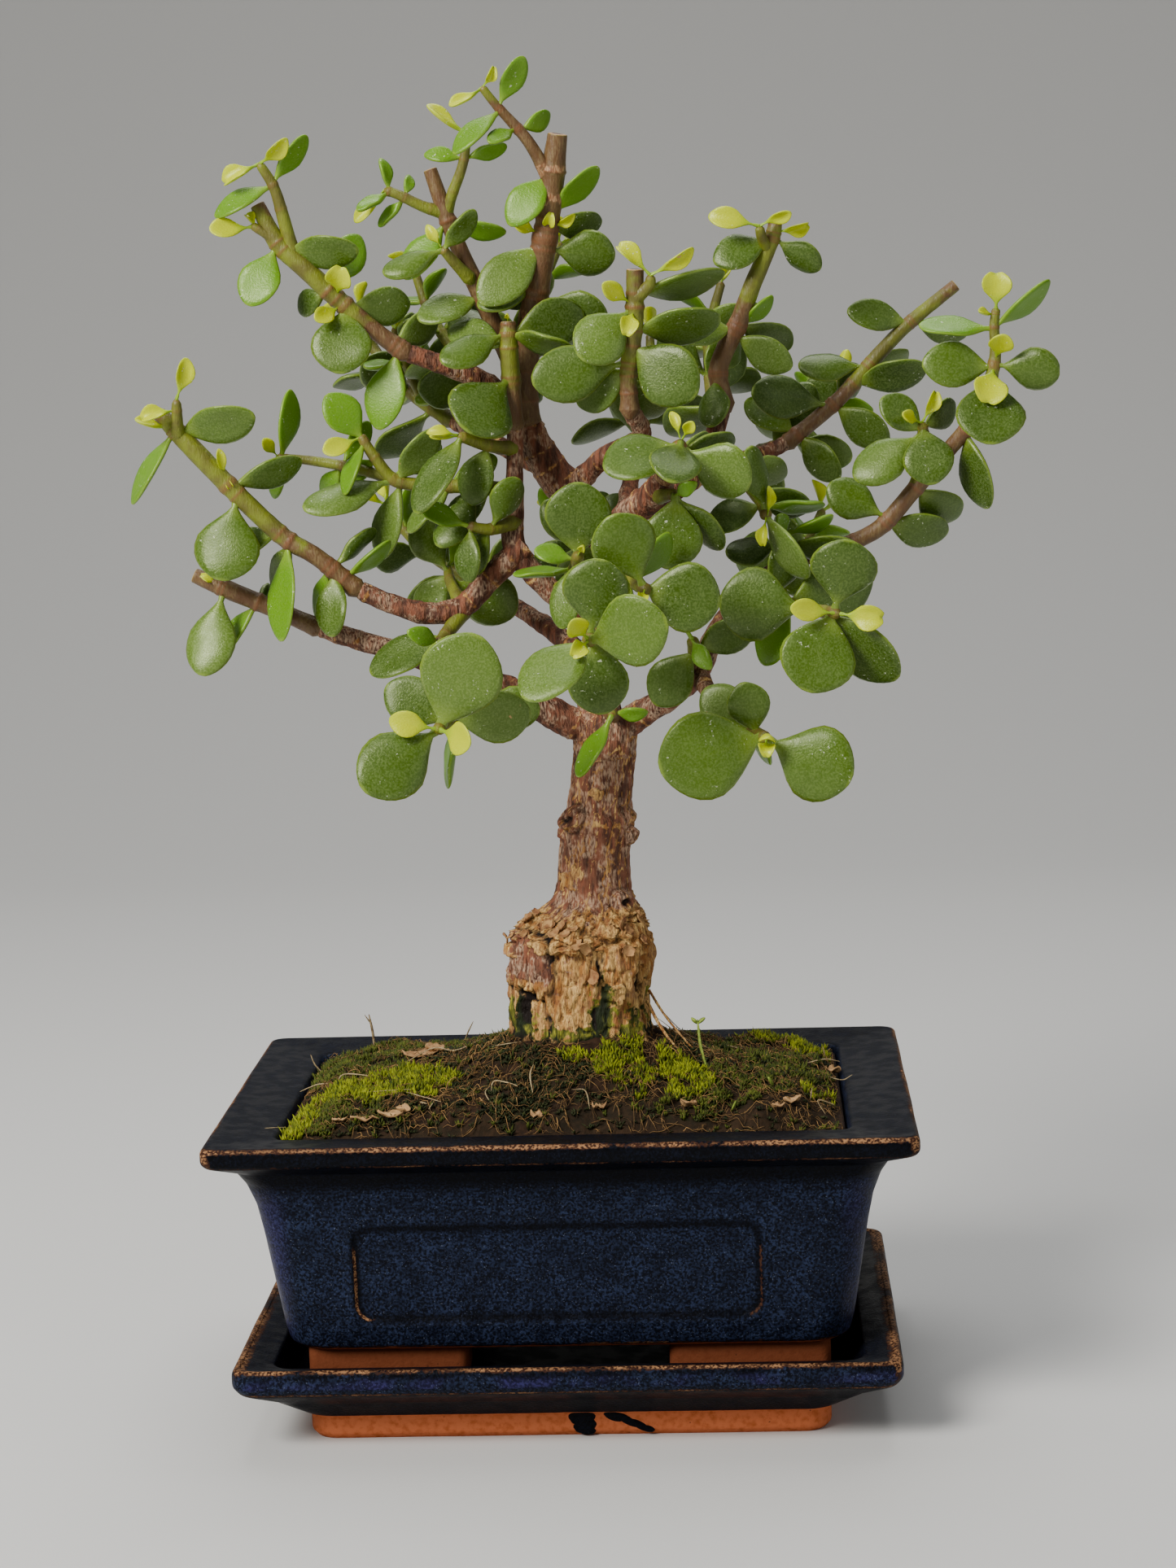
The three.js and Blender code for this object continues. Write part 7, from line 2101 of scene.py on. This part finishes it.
    def build(self) -> None:
        """Builds the wood."""
        trunk, guide = self.body()
        flakes = self.flakes(guide)
        for piece in (trunk, self.boughs(), self.roots()):
            finish_piece(piece, Slot.BARK, "trunk_and_boughs")
        finish_piece(flakes, Slot.BARK)


# Leaves and the green stems that bear them


@dataclass(frozen=True)
class LeafForm:
    """One way that a fleshy leaf is shaped. Bends are in thicknesses of the leaf."""

    arch: float = 0.0
    cup: float = 0.0
    wave: float = 0.0
    notch: float = 0.0
    blunt: float = 0.6
    skew: float = 1.22
    neck: float = 0.2
    lean: float = 0.0
    slim: float = 1.0

    SHARES = (-0.075, -0.04, 0.0, 0.04, 0.09, 0.16, 0.25, 0.36, 0.48, 0.6, 0.71, 0.8, 0.87, 0.925, 0.965, 0.99)
    SIDES = 14

    def build(self, number: int) -> Object:
        """Makes the form with its place in the list, one long, wide and thick, along Y with its face to Z."""
        rings, marks = [], {"leaf_share": [], "leaf_side": []}
        turn = np.linspace(0, math.tau, self.SIDES, endpoint=False)
        side = np.cos(turn)
        for share in self.SHARES:
            inside = max(share, 0.0)
            outline = math.sin(math.pi * inside**self.skew) ** self.blunt * smooth_step(inside, -0.12, 0.5) ** self.neck
            stalk = smooth_step(share, 0.2, 0.0)
            thick = 0.5 * max((1 - abs(2 * inside - 1) ** 3.2) ** 0.5, 0.8 * stalk)
            x = max(outline * self.slim, 0.14 * stalk) / 2 * side
            y = share - self.notch * hump(x, 0, 0.09) * max(0.0, share - 0.75) * 1.6
            z = thick * np.sign(np.sin(turn)) * np.abs(np.sin(turn)) ** 0.85
            z = z + self.arch * inside**2 + self.cup * (side * outline) ** 2 * 0.8
            z = z + self.wave * math.sin(7 * share) * side * outline * 0.6
            rings.append(np.column_stack([x + self.lean * inside**2, y, z]))
            marks["leaf_share"] += [inside] * self.SIDES
            marks["leaf_side"] += [*side]
        points = np.concatenate([*rings, [rings[0].mean(0)], [rings[-1].mean(0) + (0, 0.004, 0)]])
        marks["leaf_share"] += [0.0, 1.0]
        marks["leaf_side"] += [0.0, 0.0]
        faces = [face[::-1] for face in ring_faces(len(rings), self.SIDES)]
        return make_object(f"leaf_form_{number:02d}", points, faces, (), marks)


GROWN_FORMS = (
    LeafForm(arch=-0.5, cup=0.45), LeafForm(arch=0.45, cup=-0.3, neck=0.7, skew=1.35), LeafForm(cup=0.6, wave=0.35, neck=0.1),
    LeafForm(arch=-0.7, wave=-0.35, lean=0.03, neck=0.5), LeafForm(arch=0.25, cup=0.25, lean=-0.04, skew=1.1),
    LeafForm(cup=-0.35, wave=0.4, neck=0.8, skew=1.35), LeafForm(arch=-0.3, notch=0.35),
    LeafForm(arch=0.3, cup=0.35, notch=0.2, wave=0.25, neck=0.45),
)
FRESH_FORMS = (
    LeafForm(arch=-0.8, cup=0.6, skew=1.15, neck=0.4), LeafForm(arch=0.7, cup=0.7, skew=1.25, wave=0.35, neck=0.6),
)
YOUNG_FORMS = (
    LeafForm(arch=-1.6, cup=1.6, skew=1.7, blunt=0.6, neck=1.1, slim=0.85),
    LeafForm(arch=1.4, cup=1.3, skew=1.6, blunt=0.62, neck=1.0, slim=0.8, lean=0.05),
    LeafForm(arch=-0.8, cup=2.0, skew=1.8, blunt=0.55, neck=1.1, slim=0.9, notch=0.3, lean=-0.05),
)


@dataclass
class Sprays:
    """Every spray: its fleshy stems and its leaves. In millimetres."""

    trees: Trees
    growth: Growth
    leaf_skin: Material
    stem_skin: Material

    STEP, RING, RING_WIDE, FULLER, ROOTED = 0.35, 0.08, 0.45, 1.08, 2.0
    # Share of an old stem that is brown, and where it has turned green
    OLD_STEMS: ClassVar[dict[str, tuple[float, float]]] = {
        "spray_top": (0.4, 1.25), "spray_cut_stub": (0.4, 1.25), "spray_upper_right": (0.3, 0.8), "spray_right": (0.42, 0.78),
        "spray_fork": (0.4, 1.25), "spray_low_left": (0.4, 1.25), "spray_right_cut": (0.25, 0.62),
    }
    # Heights of the scabs on a stem
    SCABS: ClassVar[dict[str, Knot]] = {
        "spray_top": (237.5, 262.5, 268.5), "spray_cut_stub": (246.0,), "spray_knuckle": (203.0,),
    }

    @staticmethod
    def form_of(kind: LeafKind, number: int) -> int:
        """Picks a form for a leaf by its kind and its place in the count."""
        grown, fresh, young = len(GROWN_FORMS), len(FRESH_FORMS), len(YOUNG_FORMS)
        if kind is LeafKind.GROWN:
            return (number * 5 + number // 3) % grown
        return grown + number % fresh if kind is LeafKind.FRESH else grown + fresh + number % young

    def leaves(self, node: str, forms: bpy.types.Collection) -> list[Object]:
        """Grows the leaves of one spray.

        Args:
            node: The spray's node.
            forms: The leaf forms.

        Returns:
            The leaves as one object, or nothing for a bare spray.
        """
        numbers = [k for k, leaf in enumerate(self.growth.leaves) if leaf.plan.node == node]
        if not numbers:
            return []
        own = [self.growth.leaves[k] for k in numbers]
        draw = np.random.default_rng(len(node) * 31 + numbers[0])
        marks = {
            "leaf_along": [leaf.along for leaf in own],
            "leaf_normal": [leaf.normal for leaf in own],
            "leaf_scale": np.array([(leaf.width, leaf.length, leaf.thick) for leaf in own]) * MM,
            "leaf_tone": draw.uniform(0, 1, len(own)),
            "leaf_age": (np.array([leaf.plan.kind.age for leaf in own]) + draw.uniform(-0.06, 0.06, len(own))).clip(0, 1),
            "leaf_form": [self.form_of(leaf.plan.kind, k) for k, leaf in zip(numbers, own)],
        }
        guide = make_object(node, np.array([leaf.start for leaf in own]) * MM, marks=marks)
        return [self.trees.leaves.grow(guide, Finish=self.leaf_skin, Forms=forms)]

    def stem_row(self, shoot: Shoot) -> Line:
        """One stem's points, thickness and marks, with a swollen ring at every joint.

        Args:
            shoot: The shoot.

        Returns:
            A row for the wood guide.
        """
        long = shoot.route.length()
        shares, line, wide = shoot.route.walk(max(10, int(long / self.STEP)))
        run, wide = shares * long, wide * self.FULLER
        joints = sorted({round(plan.share, 2) for plan in shoot.plans})
        rings = [(share * long, 1.0) for share in joints]
        draw = np.random.default_rng(int(abs(line[-1].sum() * 10)))
        place = (joints[0] * long if joints else long * 0.9) - draw.uniform(5, 8)
        while place > 2:
            rings.append((place, 0.75))
            place -= draw.uniform(5, 9)
        joint = np.zeros(len(run))
        for at, strength in rings:
            wide = wide * (1 + self.RING * strength * hump(run, at, self.RING_WIDE))
            joint = np.maximum(joint, strength * hump(run, at, 0.3))
        wide = wide * (1 + 0.25 * np.exp(-run / 1.8))
        old = shoot.node in self.OLD_STEMS and wide.max() > 1.8
        brown, green = self.OLD_STEMS[shoot.node] if old else (0.0, 0.6)
        age = smooth_step(run, long * green, long * brown) * 0.95
        thin = np.median(wide) < 1.72 and not old
        age, joint = age * (0.2 if thin else 1.0), joint * (0.5 if thin else 0.9)
        if shoot.cut:
            age = np.full(len(run), 0.95) if green > 1.2 else np.maximum(age, 0.5 * smooth_step(run, long - 9, long))
        scab = np.zeros(len(run))
        for level in self.SCABS.get(shoot.node, ()) if wide.max() > 1.7 else ():
            near = hump(line[:, 2], level, 1.7)
            scab, wide = np.maximum(scab, 0.62 * near), wide * (1 + 0.06 * near)
        back = unit(line[0] - line[1]) * self.ROOTED
        line, wide, run = np.concatenate([[line[0] + back], line]), np.append(wide[0] * 0.5, wide), np.append(-1, run)
        marks = {key: np.append(mark[0], mark) for key, mark in (("age", age), ("joint", joint), ("scab", scab))}
        marks["cut"] = np.zeros(len(run))
        if shoot.cut:
            wide = np.concatenate([wide, wide[-1] * np.array([0.98, 0.9, 0.66, 0.5, 0.2])])
            ahead = unit(line[-1] - line[-2])
            line = np.concatenate([line, line[-1] + ahead * np.array([[0.14], [0.28], [0.3], [0.31], [0.32]])])
            ends = {"age": [0.3] * 5, "joint": [0.4, 0.2, 0, 0, 0], "scab": [0] * 5, "cut": [0.1, 0.5, 0.5, 1, 1]}
            marks = {key: np.append(mark, ends[key]) for key, mark in marks.items()}
        else:
            wide = wide * np.sqrt(np.clip((long - run + 0.06) / (wide[-1] * 1.1), 0.02, 1))
        return line, wide, marks

    def build(self) -> None:
        """Builds every spray as a piece of its own, kept within the part's measured size."""
        every = (*GROWN_FORMS, *FRESH_FORMS, *YOUNG_FORMS)
        forms = make_collection("leaf_forms", [form.build(k) for k, form in enumerate(every)])
        for node in dict.fromkeys(shoot.node for shoot in self.growth.shoots):
            rows = [self.stem_row(shoot) for shoot in self.growth.shoots if shoot.node == node]
            stems = self.trees.stem.grow(
                wood_guide(f"{node}_stems", rows), Finish=self.stem_skin, Relief=0.12, Bump=1.8 * MM, Seed=4.0
            )
            piece = join_pieces([*self.leaves(node, forms), stems])
            piece.name = f"leafy_{node}"
            for vertex in piece.data.vertices:
                vertex.co = np.clip(vertex.co, *CAD_BOX)
            finish_piece(piece, Slot.LEAF, node)
        drop_collection(forms)


# The studio


@dataclass(frozen=True)
class SoftLight:
    """A large soft lamp. In metres, watts and degrees."""

    name: str
    place: tuple[float, float, float]
    size: float
    power: float
    colour: tuple[float, float, float] = (1.0, 1.0, 1.0)

    def build(self, target: Vector) -> None:
        """Hangs the lamp and turns it to the target."""
        lamp = bpy.data.lights.new(self.name, "AREA")
        lamp.energy, lamp.size, lamp.color = self.power, self.size, self.colour
        hung = link(bpy.data.objects.new(self.name, lamp))
        hung.location = self.place
        hung.rotation_euler = (target - Vector(self.place)).to_track_quat("-Z", "Y").to_euler()


class Studio:
    """A pale floor, a pale surround, soft lamps and the camera where the photograph was taken from."""

    FLOOR_HALF, WALL, BEND_START, BEND = 12.0, 3.0, 0.7, 0.9
    FLOOR_COLOUR, FLOOR_ROUGHNESS = (0.62, 0.62, 0.61, 1.0), 0.8
    TARGET = Vector((0.01, 0.0, 0.14))
    CAMERA_PLACE = Vector((0.040, -0.716, 0.232))
    LENS, SENSOR, NEAR, FAR = 75.3, 36.0, 0.01, 40.0
    YAW, PITCH, ROLL = 2.72, 7.72, -1.73
    LIGHTS = (
        SoftLight("key_light", (-0.6, -0.7, 0.78), 0.45, 19.5, (1.0, 0.97, 0.92)),
        SoftLight("fill_light", (0.8, -0.5, 0.35), 0.7, 1.6, (0.95, 0.97, 1.0)),
        SoftLight("top_light", (0.0, 0.25, 0.95), 0.6, 5.0),
    )
    SURROUND, SURROUND_STRENGTH = (0.8, 0.8, 0.79, 1.0), 0.26

    def floor(self) -> None:
        """Lays the floor, which curves up behind the part and ends in plain walls far to the sides and in front."""
        half = self.FLOOR_HALF
        arc = np.linspace(0, math.pi / 2, 25)
        bend = [(self.BEND_START + self.BEND * math.sin(a), self.BEND * (1 - math.cos(a))) for a in arc]
        profile = [(-half, self.WALL), (-half, 0.0), *bend, (self.BEND_START + self.BEND, self.WALL)]
        points = [(x, y, z) for y, z in profile for x in (-half, half)]
        faces = [(k, k + 1, k + 3, k + 2) for k in range(0, len(points) - 2, 2)]
        faces += [range(0, len(points), 2), range(len(points) - 1, 0, -2)]
        material = bpy.data.materials.new("pale_floor")
        material.use_nodes = True
        shader = material.node_tree.nodes["Principled BSDF"]
        shader.inputs["Base Color"].default_value = self.FLOOR_COLOUR
        shader.inputs["Roughness"].default_value = self.FLOOR_ROUGHNESS
        make_object("floor", points, faces, [material])

    def surround(self) -> None:
        """Lights the surroundings evenly."""
        world = bpy.context.scene.world = bpy.data.worlds.new("studio")
        world.use_nodes = True
        sky = world.node_tree.nodes["Background"]
        sky.inputs["Color"].default_value, sky.inputs["Strength"].default_value = self.SURROUND, self.SURROUND_STRENGTH

    def camera(self) -> None:
        """Sets the camera."""
        yaw, pitch, roll = (math.radians(a) for a in (self.YAW, self.PITCH, self.ROLL))
        ahead = Vector((-math.sin(yaw) * math.cos(pitch), math.cos(yaw) * math.cos(pitch), -math.sin(pitch)))
        level = Vector((math.cos(yaw), math.sin(yaw), 0))
        above = level.cross(ahead)
        right = level * math.cos(roll) + above * math.sin(roll)
        up = above * math.cos(roll) - level * math.sin(roll)
        lens = bpy.data.cameras.new("camera")
        lens.lens, lens.sensor_width, lens.sensor_fit = self.LENS, self.SENSOR, "AUTO"
        lens.clip_start, lens.clip_end = self.NEAR, self.FAR
        camera = bpy.context.scene.camera = link(bpy.data.objects.new("camera", lens))
        turned = Matrix((right, up, -ahead)).transposed().to_4x4()
        camera.matrix_world = Matrix.Translation(self.CAMERA_PLACE) @ turned

    def build(self) -> None:
        """Sets up the studio."""
        self.floor()
        self.surround()
        for light in self.LIGHTS:
            light.build(self.TARGET)
        self.camera()


class Bonsai:
    """The whole part."""

    SAUCER_BARE, POT_BARE = 5.6 * MM, 20.0 * MM

    def build(self) -> None:
        """Builds every sub-assembly."""
        effects = {
            "speckle": shader_group("speckle", "Place Size", speckle),
            "wood_grain": shader_group("wood_grain", "Place", wood_grain),
            "ragged_edge": shader_group("ragged_edge", "Mark Place Size", ragged_edge),
        }
        trees, growth = Trees(), Growth()
        LOG.info("%d leaves on %d shoots", len(growth.leaves), len(growth.shoots))
        finish_piece(Saucer(GlazedClay("saucer_glaze", effects, self.SAUCER_BARE)).build(), Slot.GLAZE, "saucer")
        finish_piece(Pot(GlazedClay("pot_glaze", effects, self.POT_BARE, Pot.PANEL)).build(), Slot.GLAZE, "pot")
        SoilBed(effects, trees).build()
        Trunk(effects, trees, growth, Bark("bark", effects).build()).build()
        leaf_skin, stem_skin = LeafSkin("leaf_skin", effects).build(), StemSkin("stem_skin", effects).build()
        Sprays(trees, growth, leaf_skin, stem_skin).build()


def main() -> None:
    """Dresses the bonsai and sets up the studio."""
    logging.basicConfig(level=logging.INFO, format="%(name)s: %(message)s")
    Bonsai().build()
    Studio().build()


if __name__ == "__main__":
    main()
